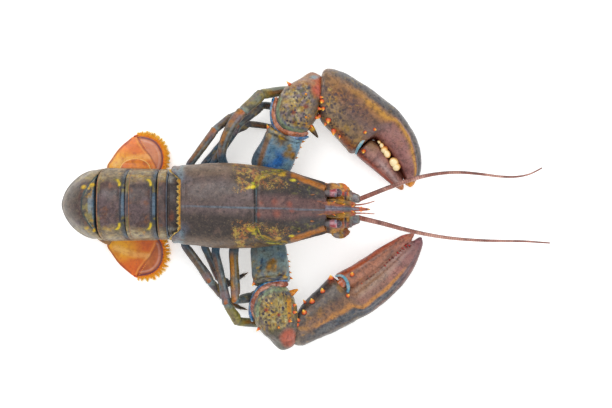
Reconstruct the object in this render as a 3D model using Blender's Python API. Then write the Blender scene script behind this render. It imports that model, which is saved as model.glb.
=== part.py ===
"""American lobster, life size, resting on the floor with its tail curled under.

Frame: +X towards the head, +Y to the animal's left, +Z up. The floor is z = 0, and the origin is the
middle of the animal's footprint on it. Sizes are written in millimetres and scaled once, as a mesh is made.
Each named part of the body is one closed solid, with a gap of JOINT_GAP to the part it meets.
"""
import math
import random

import bmesh
import bpy
from mathutils import Vector

MM = 0.001
JOINT_GAP = 0.3
SHARP_ANGLE = math.radians(48)
UP = Vector((0, 0, 1))

# The carapace is 88 long from the eye socket to its rear edge, and all else follows that.
CARAPACE_REAR = -79.5
CARAPACE_FRONT = 13.0
BODY_YAW_SLOPE = -0.026
TAIL_MIDLINE_Y = 3.5
GROOVE_X = -32.0
GROOVE_DEPTH = 1.1
RECESS_HEIGHT = 21.0
SHELL_RIM = 3.2
ROSTRUM_LENGTH = 28.0

LEFT = 1
RIGHT = -1

# Main colour and roughness of each kind of surface.
SHELL = ((0.115, 0.07, 0.055), 0.42)
LIMB = ((0.06, 0.16, 0.24), 0.42)
CLAW = ((0.2, 0.095, 0.05), 0.4)
FAN = ((0.6, 0.2, 0.04), 0.45)
FEELER = ((0.36, 0.14, 0.1), 0.45)
UNDERSIDE = ((0.33, 0.2, 0.1), 0.5)
EYE = ((0.02, 0.02, 0.03), 0.15)
LOOKS = {
    "carapace": SHELL, "rostrum": SHELL, "abdomen": SHELL, "telson": FAN, "uropod": FAN, "leg": LIMB,
    "arm": LIMB,
    "crusher": CLAW, "cutter": CLAW, "antenna": FEELER, "antennule": FEELER, "eye": EYE, "chest": UNDERSIDE,
    "mouth": UNDERSIDE, "jaw": UNDERSIDE,
}

# Spines and teeth of one row differ by up to this share of their size.
SPREAD = 0.12
draw = random.Random(7)


def varied(size):
    return size * draw.uniform(1 - SPREAD, 1 + SPREAD)


def midline(x):
    """The body lies straight behind the carapace's rear edge, and turns a little to the right ahead of it."""
    return TAIL_MIDLINE_Y + BODY_YAW_SLOPE * max(0.0, x - CARAPACE_REAR)


def clear_scene():
    for thing in list(bpy.data.objects):
        bpy.data.objects.remove(thing)


def paint(body):
    """Gives a part a finish of its own: its main colour, its roughness and no metal."""
    colour, roughness = LOOKS[body.name.split("_")[0]]
    finish = bpy.data.materials.new(body.name + "_finish")
    finish.use_nodes = True
    shader = finish.node_tree.nodes["Principled BSDF"]
    shader.inputs["Base Color"].default_value = (*colour, 1.0)
    shader.inputs["Roughness"].default_value = roughness
    shader.inputs["Metallic"].default_value = 0.0
    finish.diffuse_color = (*colour, 1.0)
    body.data.materials.append(finish)


def stand(name, work, origin):
    """Makes an object of a finished mesh, drawn around its own origin, and stands it in its place."""
    bmesh.ops.recalc_face_normals(work, faces=work.faces)
    mesh = bpy.data.meshes.new(name)
    work.to_mesh(mesh)
    work.free()
    mesh.shade_smooth()
    mesh.set_sharp_from_angle(angle=SHARP_ANGLE)
    made = bpy.data.objects.new(name, mesh)
    made.location = Vector(origin) * MM
    bpy.context.scene.collection.objects.link(made)
    return made


def loft(name, rings, end_faces=None):
    """A closed skin: one ring is filled, then extruded to each next ring. A ring of one point is a tip.

    end_faces says how a curved end ring is filled, as numbers of its points. A flat one is one face."""
    root, tip = (ring[0] if len(ring) == 1 else None for ring in (rings[0], rings[-1]))
    rings = [ring for ring in rings if len(ring) > 1]
    origin = sum((Vector(p) for p in rings[0]), Vector()) / len(rings[0])
    work = bmesh.new()
    number = work.verts.layers.int.new("number")
    first = [work.verts.new((Vector(p) - origin) * MM) for p in rings[0]]
    for k, vert in enumerate(first):
        vert[number] = k
    start = [work.faces.new([first[k] for k in face]) for face in end_faces or (range(len(first)),)]
    end = start
    for ring in rings[1:]:
        grown = bmesh.ops.extrude_face_region(work, geom=end)["geom"]
        if end is not start:
            bmesh.ops.delete(work, geom=end, context="FACES")
        end = [thing for thing in grown if isinstance(thing, bmesh.types.BMFace)]
        for thing in grown:
            if isinstance(thing, bmesh.types.BMVert):
                thing.co = (Vector(ring[thing[number]]) - origin) * MM
    skin = [face for face in work.faces if face not in start and face not in end]
    bmesh.ops.triangulate(work, faces=skin, quad_method="SHORT_EDGE")
    for point, faces in ((root, start), (tip, end)):
        if point is not None:
            middle = bmesh.ops.poke(work, faces=faces)["verts"][0]
            middle.co = (Vector(point) - origin) * MM
    return stand(name, work, origin)


def rounded(value, power):
    """A sine or cosine bent so that the oval it draws gets fuller with a higher power."""
    return math.copysign(abs(value) ** (2.0 / power), value)


def frame_of(forward):
    """The sideways (left) and upward directions square to a heading."""
    forward = Vector(forward).normalized()
    side = UP.cross(forward).normalized()
    return forward, side, forward.cross(side)


def oval(centre, forward, half_side, half_up, count, power=2.2, half_down=None):
    """One ring of a limb, square to its heading, kept above the floor so that a low one gets a small flat."""
    _, side, lift = frame_of(forward)
    half_down = half_up if half_down is None else half_down
    ring_points = []
    for k in range(count):
        a = math.tau * (k + 0.5) / count
        across = rounded(math.cos(a), power) * half_side
        rise = rounded(math.sin(a), power)
        rise *= half_up if rise > 0 else half_down
        p = Vector(centre) + side * across + lift * rise
        p.z = max(p.z, 0.0)
        ring_points.append(p)
    return ring_points


def heading(degrees, climb=0.0):
    a = math.radians(degrees)
    return Vector((math.cos(a), math.sin(a), math.tan(math.radians(climb))))


def spine(name, root, direction, length, radius, sides=6, sunk=1.2):
    """A tapered spike: a cone whose root lies inside the shell that it grows from."""
    direction = Vector(direction).normalized()
    tall = varied(length) + sunk
    work = bmesh.new()
    bmesh.ops.create_cone(work, cap_ends=True, segments=sides, radius1=radius * MM, radius2=0.0,
                          depth=tall * MM)
    spike = stand(name, work, Vector(root) + direction * (tall / 2 - sunk))
    spike.rotation_mode = "QUATERNION"
    spike.rotation_quaternion = direction.to_track_quat("Z", "Y")
    return spike


def fuse(body, pieces):
    """Joins pieces to a body as one closed solid, and keeps only its largest surface."""
    if not pieces:
        return body
    group = bpy.data.collections.new(body.name + "_pieces")
    for piece in pieces:
        group.objects.link(piece)
    union = body.modifiers.new("union", "BOOLEAN")
    union.operation = "UNION"
    union.operand_type = "COLLECTION"
    union.collection = group
    union.solver = "EXACT"
    apply_modifiers(body)
    for piece in pieces:
        bpy.data.objects.remove(piece)
    bpy.data.collections.remove(group)
    return body


def carve(body, cutters):
    """Cuts each cutter out of a body, and keeps only its largest surface."""
    for cutter in cutters:
        cut = body.modifiers.new("cut", "BOOLEAN")
        cut.operation = "DIFFERENCE"
        cut.object = cutter
        cut.solver = "EXACT"
    apply_modifiers(body)
    for cutter in cutters:
        bpy.data.objects.remove(cutter)
    return body


def apply_modifiers(body):
    bpy.context.view_layer.update()
    graph = bpy.context.evaluated_depsgraph_get()
    joined = bpy.data.meshes.new_from_object(body.evaluated_get(graph))
    body.modifiers.clear()
    body.data = joined
    keep_largest(joined)


def keep_largest(mesh):
    work = bmesh.new()
    work.from_mesh(mesh)
    bmesh.ops.remove_doubles(work, verts=work.verts, dist=0.01 * MM)
    left = set(work.faces)
    shells = []
    while left:
        found = {left.pop()}
        edge_of_search = list(found)
        while edge_of_search:
            face = edge_of_search.pop()
            for edge in face.edges:
                for other in edge.link_faces:
                    if other in left:
                        left.remove(other)
                        found.add(other)
                        edge_of_search.append(other)
        shells.append(found)
    shells.sort(key=lambda shell: sum(face.calc_area() for face in shell))
    for shell in shells[:-1]:
        bmesh.ops.delete(work, geom=list(shell), context="FACES")
    work.to_mesh(mesh)
    work.free()


# Carapace: one ring at each place along the back, as
# (x, half width, height of the back, height of the widest line, height of the lower edge, fullness).
CARAPACE_RINGS = (
    (CARAPACE_REAR, 21.6, 49.0, 33.0, 22.0, 2.1),
    (-78.0, 23.2, 51.2, 33.0, 19.5, 2.1),
    (-74.0, 24.6, 52.6, 33.5, 18.2, 2.1),
    (-68.0, 25.7, 53.8, 34.0, 17.6, 2.15),
    (-60.0, 26.6, 54.8, 34.0, 17.2, 2.2),
    (-50.0, 27.0, 55.6, 34.0, 17.2, 2.25),
    (-42.0, 26.8, 55.9, 34.0, 17.4, 2.25),
    (-36.0, 26.4, 55.9, 34.0, 17.6, 2.25),
    (GROOVE_X, 26.0, 55.8, 34.0, 17.8, 2.25),
    (-28.0, 25.6, 55.8, 34.0, 18.0, 2.25),
    (-20.0, 24.4, 55.4, 34.0, 18.2, 2.25),
    (-12.0, 22.9, 54.6, 34.0, 18.4, 2.2),
    (-4.0, 20.8, 53.2, 34.5, 18.6, 2.2),
    (4.0, 18.3, 51.2, 34.5, 19.0, 2.2),
    (9.5, 16.8, 49.6, 35.0, 20.0, 2.2),
    (CARAPACE_FRONT, 15.4, 48.4, 35.0, 21.4, 2.2),
)
ARCH_STEPS = 14


def carapace_ring(x, half_width, top, wide, low, fullness):
    """A tall arch over the back, flanks that draw in to a lower rim, and a recess that the chest fills."""
    y = midline(x)
    groove = GROOVE_DEPTH if x == GROOVE_X else 0.0
    half_width, top = half_width - groove * 0.6, top - groove
    points = []
    for k in range(ARCH_STEPS + 1):
        a = math.pi * (0.5 - k / ARCH_STEPS)
        across = rounded(math.sin(a), fullness) * half_width
        points.append((x, y + across, wide + rounded(math.cos(a), fullness) * (top - wide)))
    rim = half_width * 0.9
    recess = min(RECESS_HEIGHT + 0.4, wide - 6)
    lower = (0.985, wide + (low - wide) * 0.5), (0.9, low)
    points += [(x, y - half_width * share, z) for share, z in lower]
    points += [(x, y - rim + SHELL_RIM, recess), (x, y, recess), (x, y + rim - SHELL_RIM, recess)]
    points += [(x, y + half_width * share, z) for share, z in reversed(lower)]
    return [Vector(p) for p in points]


def eye_line(hand):
    return midline(CARAPACE_FRONT) + hand * EYE_OUT


def ovoid(name, centre, radii, segments=12, rings=8, turn=0.0, power=2.0):
    """A ball of given half sizes, turned about the vertical. A higher power makes it fuller."""
    ahead, side, _ = frame_of(heading(turn))
    work = bmesh.new()
    bmesh.ops.create_uvsphere(work, u_segments=segments, v_segments=rings, radius=1.0)
    for vert in work.verts:
        down = math.acos(max(-1.0, min(1.0, vert.co.z)))
        around = math.atan2(vert.co.y, vert.co.x) + math.pi / segments
        width = rounded(math.sin(down), power)
        p = ahead * (radii[0] * rounded(math.cos(down), power))
        p += side * (radii[1] * width * rounded(math.cos(around), power))
        p += UP * (radii[2] * width * rounded(math.sin(around), power))
        vert.co = p * MM
    return stand(name, work, centre)


def make_carapace():
    """The shield over head and chest, with the eye sockets, the cervical groove and its few spines."""
    shield = loft("carapace", [carapace_ring(*row) for row in CARAPACE_RINGS])
    sockets = []
    for hand in (LEFT, RIGHT):
        rings = []
        for x in (SOCKET_BACK, CARAPACE_FRONT + 3.0):
            rings.append(oval((x, eye_line(hand), EYE_HEIGHT), (1, 0, 0), SOCKET_HALF, SOCKET_HALF, 12, 2.6))
        sockets.append(loft("socket", rings))
    carve(shield, sockets)
    spines = []
    for hand in (LEFT, RIGHT):
        y = midline(5)
        spines.append(spine("behind_eye", (4.0, y + hand * 8.0, 49.6), (1, hand * 0.1, 0.5), 2.6, 1.0))
        spines.append(spine("cheek", (CARAPACE_FRONT - 0.6, y + hand * 14.2, 38.0), (1, hand * 0.15, 0), 3.2,
                            1.5))
    fuse(shield, spines)


ROSTRUM_RINGS = (
    # x past the carapace, half width, top, bottom
    (JOINT_GAP, 4.6, 48.3, 42.8),
    (3.0, 4.1, 47.9, 43.0),
    (7.0, 3.1, 47.3, 43.4),
    (13.0, 1.9, 46.6, 43.8),
    (20.0, 1.3, 46.2, 44.4),
    (25.0, 0.9, 46.4, 45.0),
)
ANTENNULE_STEM = (
    # x, distance from the midline, height, radius
    (CARAPACE_FRONT + JOINT_GAP, 3.6, 36.2, 1.9), (20.0, 3.5, 36.6, 1.8), (27.0, 3.0, 37.2, 1.5),
    (32.0, 2.5, 37.6, 1.2),
)
# Distance past the carapace and half width of the spear there, for each pair of teeth.
ROSTRUM_TEETH = ((3.5, 3.9), (9.5, 2.6), (15.5, 1.7), (20.5, 1.3))


def make_rostrum():
    """The spear between the eyes, with a row of teeth along each edge."""
    rings = []
    for ahead, half_width, top, bottom in ROSTRUM_RINGS:
        x = CARAPACE_FRONT + ahead
        centre = Vector((x, midline(x), (top + bottom) / 2))
        rings.append(oval(centre, (1, 0, 0), half_width, (top - bottom) / 2, 8))
    tip = CARAPACE_FRONT + ROSTRUM_LENGTH
    rings.append([Vector((tip, midline(tip), 46.3))])
    spear = loft("rostrum", rings)
    teeth = []
    for ahead, half_width in ROSTRUM_TEETH:
        for hand in (LEFT, RIGHT):
            x = CARAPACE_FRONT + ahead
            root = (x, midline(x) + hand * (half_width - 0.5), 45.5)
            teeth.append(spine("tooth", root, (1, hand * 0.62, 0.25), 2.9 - 0.04 * ahead, 0.75, 5, 0.7))
    fuse(spear, teeth)


# Abdomen: the back line and the belly line of the tail, seen from the side as (x, z), one pair at each
# joint between its six rings. Behind the fourth ring the back follows a half oval round CURL_CENTRE.
CURL_CENTRE = Vector((-131.0, 24.0))
CURL_REACH = 23.6
CURL_HEIGHT = 22.4
SOMITES = (
    # back start, belly start, back end, belly end, half width, side lobe depth
    ((-79.8, 46.6), (-79.8, 22.5), (-86.4, 47.0), (-84.8, 22.0), 20.2, 1.5),
    ((-86.7, 48.0), (-85.1, 22.0), (-93.0, 49.2), (-90.4, 21.5), 22.3, 8.5),
    ((-93.3, 48.6), (-90.7, 21.5), (-112.6, 49.2), (-106.2, 21.0), 22.7, 7.5),
    ((-112.9, 48.6), (-106.5, 21.0), (-130.8, 46.6), (-120.6, 20.8), 23.0, 7.0),
)
BEND = (
    # start and end in degrees round the bend, belly start, belly end, half widths, side lobe depth
    (91.0, 176.4, (-121.0, 20.8), (-129.8, 18.6), (23.0, 21.8), 4.0),
    (177.3, 254.0, (-129.9, 17.9), (-131.6, 12.5), (21.2, 18.0), 2.0),
)
RING_SHARES = (0.0, 0.28, 0.35, 0.55, 0.8, 1.0)
BEND_SHARES = (0.0, 0.14, 0.28, 0.34, 0.5, 0.68, 0.85, 1.0)
FACET_SHARE = 0.3
FACET_DROP = 0.9
BACK_BULGE = 0.5
ARCH_FULLNESS = 2.1
BEND_FULLNESS = 1.7


def somite_ring(back, belly, half_width, lobe, drop, bow, fullness=ARCH_FULLNESS):
    """An arched plate from side to side, lobes that hang past the belly at its two ends, and a flat belly.

    With a bow of 1 the plate stands upright over the back and swings forward only low on the flanks."""
    back, belly = Vector((back[0], 0, back[1])), Vector((belly[0], 0, belly[1]))
    rise = (back - belly).normalized()
    height = (back - belly).length
    tall = height - drop
    half_width -= drop
    base = belly + Vector((0, midline(back.x), 0))
    shoulder = tall * 0.16

    def place(across, lift):
        share = max(0.0, lift / height)
        swing = bow * (back.x - belly.x) * share * (1 - share)
        return base + rise * lift + Vector((swing, across, 0))

    points = []
    for k in range(ARCH_STEPS + 1):
        a = math.pi * (0.5 - k / ARCH_STEPS)
        lift = shoulder + rounded(math.cos(a), fullness) * (tall - shoulder)
        points.append(place(rounded(math.sin(a), fullness) * half_width, lift))
    lobe = max(lobe, 0.6)
    edge = ((-1.0, -lobe * 0.55), (-0.965, -lobe), (-0.89, -lobe * 0.7), (-0.84, 0.0))
    points += [place(side * half_width, lift) for side, lift in edge]
    points += [place(-side * half_width, lift) for side, lift in reversed(edge)]
    return points


def somite_end():
    """Fills the end of a ring in strips from flank to flank, with each side lobe on its own."""
    last = ARCH_STEPS
    faces = [(k, k + 1, last - k - 1, last - k) for k in range(last // 2 - 1)]
    faces.append((last // 2 - 1, last // 2, last // 2 + 1))
    faces.append((last, last + 4, last + 5, 0))
    faces.append(tuple(range(last, last + 5)))
    faces.append(tuple(range(last + 5, last + 9)) + (0,))
    return faces


def curl_point(degrees):
    """A point of the back line round the tail's bend, 90 at the top and 180 at the rear."""
    a = math.radians(degrees)
    x = CURL_CENTRE.x + CURL_REACH * math.cos(a)
    return x, CURL_CENTRE.y + CURL_HEIGHT * math.sin(a)


def mix(a, b, share):
    return tuple(p + (q - p) * share for p, q in zip(a, b))


def lobe_shape(share):
    """The side lobe is a rounded triangle that points down and back."""
    return math.sin(math.pi * min(1.0, 0.08 + share * 0.9)) ** 0.7


def make_abdomen():
    """Six arched rings. Each slides under the one ahead of it, so its front band lies a little lower."""
    rings = {}
    for number, row in enumerate(SOMITES, 1):
        back_start, belly_start, back_end, belly_end, half_width, lobe = row
        rings[number] = []
        for share in RING_SHARES:
            back = mix(back_start, back_end, share)
            back = (back[0], back[1] + BACK_BULGE * math.sin(math.pi * share))
            belly = mix(belly_start, belly_end, share)
            drop = FACET_DROP if share < FACET_SHARE else 0.0
            depth = lobe * lobe_shape(share)
            rings[number].append(somite_ring(back, belly, half_width, depth, drop, 1.0))
    for number, (start, end, belly_start, belly_end, widths, lobe) in enumerate(BEND, 5):
        rings[number] = []
        for share in BEND_SHARES:
            back = curl_point(start + (end - start) * share)
            belly = mix(belly_start, belly_end, share)
            half_width = widths[0] + (widths[1] - widths[0]) * share
            drop = FACET_DROP if share < FACET_SHARE else 0.0
            bow = max(0.0, 1 - share * 2) if number == 5 else 0.0
            depth = lobe * lobe_shape(share)
            narrowed = min(1.0, share * 1.5) if number == 5 else 1.0
            fullness = ARCH_FULLNESS + (BEND_FULLNESS - ARCH_FULLNESS) * narrowed
            rings[number].append(somite_ring(back, belly, half_width, depth, drop, bow, fullness))
    for number in rings:
        body = loft(f"abdomen_ring_{number}", rings[number], somite_end())
        fuse(body, make_swimmerets(number))


SWIMMERETS = {
    # ring: x of the root, distance from the midline, height of the root and of the blade,
    # half length, half width
    2: (-88.2, 12.0, 22.4, 14.4, 4.4, 3.6),
    3: (-98.0, 12.5, 22.2, 12.2, 6.4, 4.6),
    4: (-112.5, 13.0, 22.0, 11.8, 7.0, 4.8),
    5: (-124.2, 12.0, 21.4, 9.9, 5.4, 4.2),
}
SHOWN_SWIMMERET_OUT = 9.6
SHOWN_SWIMMERET_BACK = 2.0
SHOWN_SWIMMERET_GROWTH = (3.0, 2.6)
SWIMMERET_THICK = 1.3


def make_swimmerets(number):
    """Two small oval paddles that hang from a ring's belly. The fourth left one reaches past the flank."""
    if number not in SWIMMERETS:
        return []
    x, out, root_height, height, half_long, half_wide = SWIMMERETS[number]
    made = []
    for hand in (LEFT, RIGHT):
        extra, back, grown = 0.0, 0.0, (0.0, 0.0)
        if (number, hand) == (4, LEFT):
            extra, back, grown = SHOWN_SWIMMERET_OUT, SHOWN_SWIMMERET_BACK, SHOWN_SWIMMERET_GROWTH
        y = TAIL_MIDLINE_Y
        blade = Vector((x + half_long * 0.8 - back, y + hand * (out + 1.4 + extra * 0.8), height))
        rings = [
            oval((x, y + hand * out, root_height), (0, hand * 0.5, -1), 1.9, 1.9, 6),
            oval((x + 0.6, y + hand * (out + 1.0), (root_height + height) / 2), (0.3, hand * 0.6, -1), 1.9,
                 1.7, 6),
            oval(blade.lerp(Vector((x, y + hand * out, height)), 0.5), (1, hand * 0.4, -0.3), 2.2, 0.5, 6),
        ]
        sizes = (half_long + grown[0], half_wide + grown[1], SWIMMERET_THICK / 2)
        made += [loft("stalk", rings), ovoid("paddle", blade, sizes, 10, 6)]
    return made


# Tail fan, spread flat under the tail with its upper face down, so the blades seen are its undersides.
# Each outline runs round one blade as (x, distance from the fan's middle), and gets a fringe between
# two of its points. A blade is THICK in the middle and thins to RIM_THICK.
FAN_MIDDLE_Y = 2.4
FRINGE = 3.6
SHORT_FRINGE_SHARE = 0.5
RIM_THICK = 0.6
OUTLINE_STEPS = 4
CROWN_SHARE = 0.84
OUTER_BLADE = {
    "outline": ((-127.6, 25.2), (-124.6, 30.6), (-120.2, 36.8), (-115.0, 41.6), (-109.4, 45.4),
                (-102.0, 45.0),
                (-96.2, 42.4), (-92.2, 37.4), (-90.6, 31.0), (-91.6, 24.0), (-96.0, 17.4), (-106.0, 13.6),
                (-117.0, 14.4), (-125.0, 19.0)),
    "fringe": (5, 11), "thick": 2.2, "root_level": 7.6, "slope": -0.125,
}
INNER_BLADE = {
    "outline": ((-126.0, 14.6), (-122.0, 20.0), (-114.0, 24.6), (-104.0, 26.8), (-96.8, 25.2), (-94.0, 20.6),
                (-96.6, 15.8), (-106.0, 13.4), (-118.0, 12.6)),
    "fringe": (3, 7), "thick": 1.8, "root_level": 2.6, "slope": -0.03,
}
TELSON_BLADE = {
    "outline": ((-127.0, 0.0), (-126.6, 9.2), (-114.0, 10.2), (-103.0, 9.8), (-98.0, 7.6), (-96.0, 4.0),
                (-95.4, 0.0), (-96.0, -4.0), (-98.0, -7.6), (-103.0, -9.8), (-114.0, -10.2), (-126.6, -9.2)),
    "fringe": (3, 9), "thick": 3.6, "root_level": 1.4, "slope": 0.0,
}


def closed_spline(points, steps):
    """A smooth closed line through points in a plane, with a set number of steps to each span."""
    line = []
    count = len(points)
    points = [Vector((p[0], p[1], 0)) for p in points]
    for i in range(count):
        before, a, b, after = (points[(i + n) % count] for n in (-1, 0, 1, 2))
        for k in range(steps):
            t = k / steps
            line.append(0.5 * (2 * a + (b - before) * t + (2 * before - 5 * a + 4 * b - after) * t * t
                               + (3 * a - before - 3 * b + after) * t ** 3))
    return line


def make_blade(name, shape, hand):
    """A blade of the tail fan: a low crowned plate whose rim thins out into a toothed fringe."""
    rim = closed_spline(shape["outline"], OUTLINE_STEPS)
    count = len(rim)
    middle = sum(rim, Vector()) / count
    first, last = (n * OUTLINE_STEPS for n in shape["fringe"])
    turning = sum((a - middle).cross(b - middle).z for a, b in zip(rim, rim[1:]))
    outer = []
    for k, p in enumerate(rim):
        along = (rim[(k + 1) % count] - rim[k - 1]).normalized()
        away = Vector((along.y, -along.x, 0)) * math.copysign(1, turning)
        share = min(k - first, last - k) / OUTLINE_STEPS
        grow = FRINGE * max(0.0, min(1.0, 0.4 + share * 0.6)) if share >= 0 else 0.0
        outer.append(p + away * (grow * (1.0 if k % 2 else SHORT_FRINGE_SHARE)))
    half = shape["thick"] / 2
    crown = [middle.lerp(p, CROWN_SHARE) for p in rim]

    def place(line, height):
        placed = []
        for p in line:
            level = shape["root_level"] + shape["slope"] * abs(p.y)
            placed.append(Vector((p.x, FAN_MIDDLE_Y + hand * p.y, max(0.0, level + height))))
        return placed

    levels = (([middle], -half), (crown, -half * 0.84), (outer, -RIM_THICK / 2), (outer, RIM_THICK / 2),
              (crown, half * 0.84), ([middle], half))
    return loft(name, [place(line, height) for line, height in levels])


def make_tail_fan():
    """The middle blade and the two side fans, each with a thick root that meets the last ring's end face."""
    back, belly = (Vector((x, 0, z)) for x, z in (curl_point(BEND[1][1]), BEND[1][3]))
    rise = (back - belly).normalized()
    ahead = Vector((-rise.z, 0, rise.x))
    face = belly.lerp(back, 0.44) + ahead * JOINT_GAP

    def at_face(across):
        return face + Vector((0, FAN_MIDDLE_Y + across, 0))

    middle = make_blade("telson", TELSON_BLADE, LEFT)
    root = [
        oval(at_face(0), ahead, 8.2, 4.4, 12, 2.6),
        oval((-129.6, FAN_MIDDLE_Y, 3.4), (1, 0, -0.2), 9.2, 3.2, 12, 2.6),
        oval((-121.0, FAN_MIDDLE_Y, 1.4), (1, 0, 0), 8.6, 1.4, 12, 2.6),
    ]
    fuse(middle, [loft("root", root)])
    for hand, word in ((LEFT, "left"), (RIGHT, "right")):
        y = FAN_MIDDLE_Y
        side_fan = make_blade(f"uropod_{word}", OUTER_BLADE, hand)
        root = [
            oval(at_face(hand * 12.8) - rise * -1.2, ahead, 3.2, 2.6, 10, 2.4),
            oval((-131.4, y + hand * 16.6, 6.2), (0.8, hand * 0.6, -0.1), 5.2, 3.6, 10, 2.4),
            oval((-126.6, y + hand * 21.0, 5.0), (0.8, hand * 0.6, -0.05), 5.4, 2.6, 10, 2.4),
            oval((-121.0, y + hand * 25.0, 4.6), (0.9, hand * 0.4, 0), 4.0, 0.8, 10, 2.4),
        ]
        inner_root = [
            oval((-130.6, y + hand * 15.0, 5.2), (0.9, 0, -0.5), 2.6, 2.4, 8),
            oval((-125.6, y + hand * 15.2, 2.8), (1, 0, -0.2), 2.4, 1.6, 8),
            oval((-120.0, y + hand * 16.4, 2.1), (1, 0, 0), 2.0, 0.6, 8),
        ]
        inner = make_blade("inner_blade", INNER_BLADE, hand)
        fuse(side_fan, [loft("root", root), loft("inner_root", inner_root), inner])


# Chest: the block under the carapace, and on it the stub that each limb grows from.
CHEST_RINGS = (
    # x, half width at the top, half width at the floor side, underside height
    (-77.0, 12.0, 6.0, 11.0),
    (-66.0, 17.5, 8.0, 7.5),
    (-50.0, 19.0, 9.5, 6.0),
    (-34.0, 18.6, 10.0, 5.6),
    (-18.0, 17.0, 9.0, 6.4),
    (-4.0, 13.6, 7.0, 9.0),
    (8.0, 10.6, 6.0, 13.0),
    (CARAPACE_FRONT, 9.8, 5.6, 15.0),
)


def chest_ring(x, top_half, low_half, low):
    y = midline(x)
    top = RECESS_HEIGHT
    outline = (
        (top_half, top), (top_half, top - 3.5), ((top_half + low_half) / 2, (top + low) / 2 - 1.0),
        (low_half, low + 0.8), (low_half * 0.5, low), (0.0, low + 0.7),
    )
    left = [Vector((x, y + across, z)) for across, z in outline]
    right = [Vector((x, y - across, z)) for across, z in outline[-2::-1]]
    return left + right


def make_chest():
    block = loft("chest", [chest_ring(*row) for row in CHEST_RINGS])
    stubs = []
    for limb in LEGS + CHELIPEDS:
        joints = limb["joints"]
        start, end = Vector(joints[0][:3]), Vector(joints[1][:3])
        plane = joint_plane(joints, 1)
        wide, tall = joints[1][3:5]
        along = (end - start).normalized()
        rings = [
            oval(start, along, wide * 0.9, tall * 0.9, 10),
            oval(start.lerp(end, 0.55), along, wide * 1.1, tall * 1.1, 10),
            oval(end - plane * (JOINT_GAP / 2), plane, wide, tall, 10),
        ]
        stubs.append(loft("stub", rings))
    for hand in (LEFT, RIGHT):
        root, way = jaw_foot_root(hand)
        stubs.append(loft("stub", [
            oval((-16.0, root.y, 8.6), (1, 0, 0), 3.0, 2.8, 8),
            oval(root - way * JOINT_GAP, way, 3.1, 2.6, 8),
        ]))
    fuse(block, stubs)


# Walking legs: joints from the chest outwards, as (x, y, z, half width, half height).
# The six are the socket, the hip, the bend beside the chest, the knee, the wrist and the foot's end.
LEGS = (
    {"name": "leg_left_1", "tip": (-1.9, 75.7, 0.4), "claw": True, "bow": (-3.0, 0.8, 1.2), "joints": (
        (-43.0, 9.0, 10.0, 4.2, 4.0), (-49.0, 20.0, 10.0, 3.4, 3.0), (-54.0, 33.4, 17.2, 3.2, 2.8),
        (-39.5, 63.2, 25.0, 3.5, 3.1), (-28.0, 73.4, 20.0, 3.7, 3.2), (-10.0, 77.2, 5.0, 2.6, 2.3))},
    {"name": "leg_left_2", "tip": (-6.6, 62.9, 0.4), "claw": True, "bow": (0, 0, 0), "joints": (
        (-53.0, 9.0, 10.0, 3.8, 3.6), (-57.5, 19.0, 9.6, 3.0, 2.6), (-59.4, 29.6, 11.0, 2.7, 2.4),
        (-42.6, 54.8, 15.2, 2.7, 2.4), (-27.6, 66.8, 12.2, 2.8, 2.3), (-14.3, 65.8, 3.6, 1.9, 1.7))},
    {"name": "leg_left_3", "tip": (-11.6, 50.7, 0.4), "claw": False, "bow": (0, 0, 0), "joints": (
        (-61.0, 9.0, 9.6, 3.6, 3.4), (-65.0, 18.0, 8.6, 2.7, 2.4), (-66.6, 27.6, 7.4, 2.5, 2.2),
        (-47.8, 49.2, 6.4, 2.5, 2.1), (-36.4, 55.2, 5.4, 2.4, 2.1), (-19.6, 53.0, 2.4, 1.6, 1.5))},
    {"name": "leg_left_4", "tip": (-36.5, 64.9, 0.4), "claw": False, "bow": (0, 0, 0), "joints": (
        (-68.0, 9.0, 10.0, 3.4, 3.2), (-73.0, 17.0, 10.0, 2.7, 2.5), (-75.2, 27.6, 13.4, 2.7, 2.5),
        (-57.2, 51.6, 18.6, 2.6, 2.4), (-47.4, 59.4, 14.4, 2.5, 2.3), (-41.4, 62.8, 4.2, 1.6, 1.5))},
    {"name": "leg_right_1", "tip": (-12.2, -44.6, 0.4), "claw": True, "bow": (0, 0, 0), "joints": (
        (-41.0, -3.0, 10.0, 4.2, 4.0), (-44.2, -14.0, 10.0, 3.5, 3.0), (-46.3, -25.8, 14.0, 3.3, 2.9),
        (-44.4, -57.4, 21.8, 3.0, 2.9), (-34.4, -55.4, 11.8, 3.1, 2.7), (-20.2, -46.4, 4.0, 2.2, 2.0))},
    {"name": "leg_right_2", "tip": (-18.6, -71.6, 0.4), "claw": True, "bow": (0, 0, 0), "joints": (
        (-50.0, -3.0, 10.0, 3.8, 3.6), (-54.0, -14.0, 10.0, 3.1, 2.7), (-58.2, -25.0, 13.4, 2.8, 2.6),
        (-49.9, -60.0, 20.6, 2.9, 2.7), (-43.0, -71.0, 15.4, 3.3, 2.8), (-26.0, -73.0, 4.2, 2.4, 2.1))},
    {"name": "leg_right_3", "tip": (-36.4, -39.8, 0.4), "claw": False, "bow": (0, 0, 0), "joints": (
        (-59.0, -3.0, 9.6, 3.6, 3.4), (-61.8, -12.0, 9.2, 2.8, 2.4), (-65.4, -22.4, 9.6, 2.6, 2.3),
        (-55.4, -44.0, 8.4, 2.5, 2.2), (-49.0, -47.0, 6.2, 2.3, 2.0), (-41.8, -42.6, 2.4, 1.5, 1.4))},
    {"name": "leg_right_4", "tip": (-36.6, -64.6, 0.4), "claw": False, "bow": (0.6, 0, 0), "joints": (
        (-67.0, -3.0, 10.0, 3.4, 3.2), (-72.0, -11.0, 10.0, 2.8, 2.6), (-78.4, -21.4, 13.4, 2.9, 2.6),
        (-60.6, -46.0, 14.0, 2.9, 2.6), (-52.6, -55.4, 9.4, 2.6, 2.3), (-43.4, -62.4, 3.0, 1.6, 1.5))},
)


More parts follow.
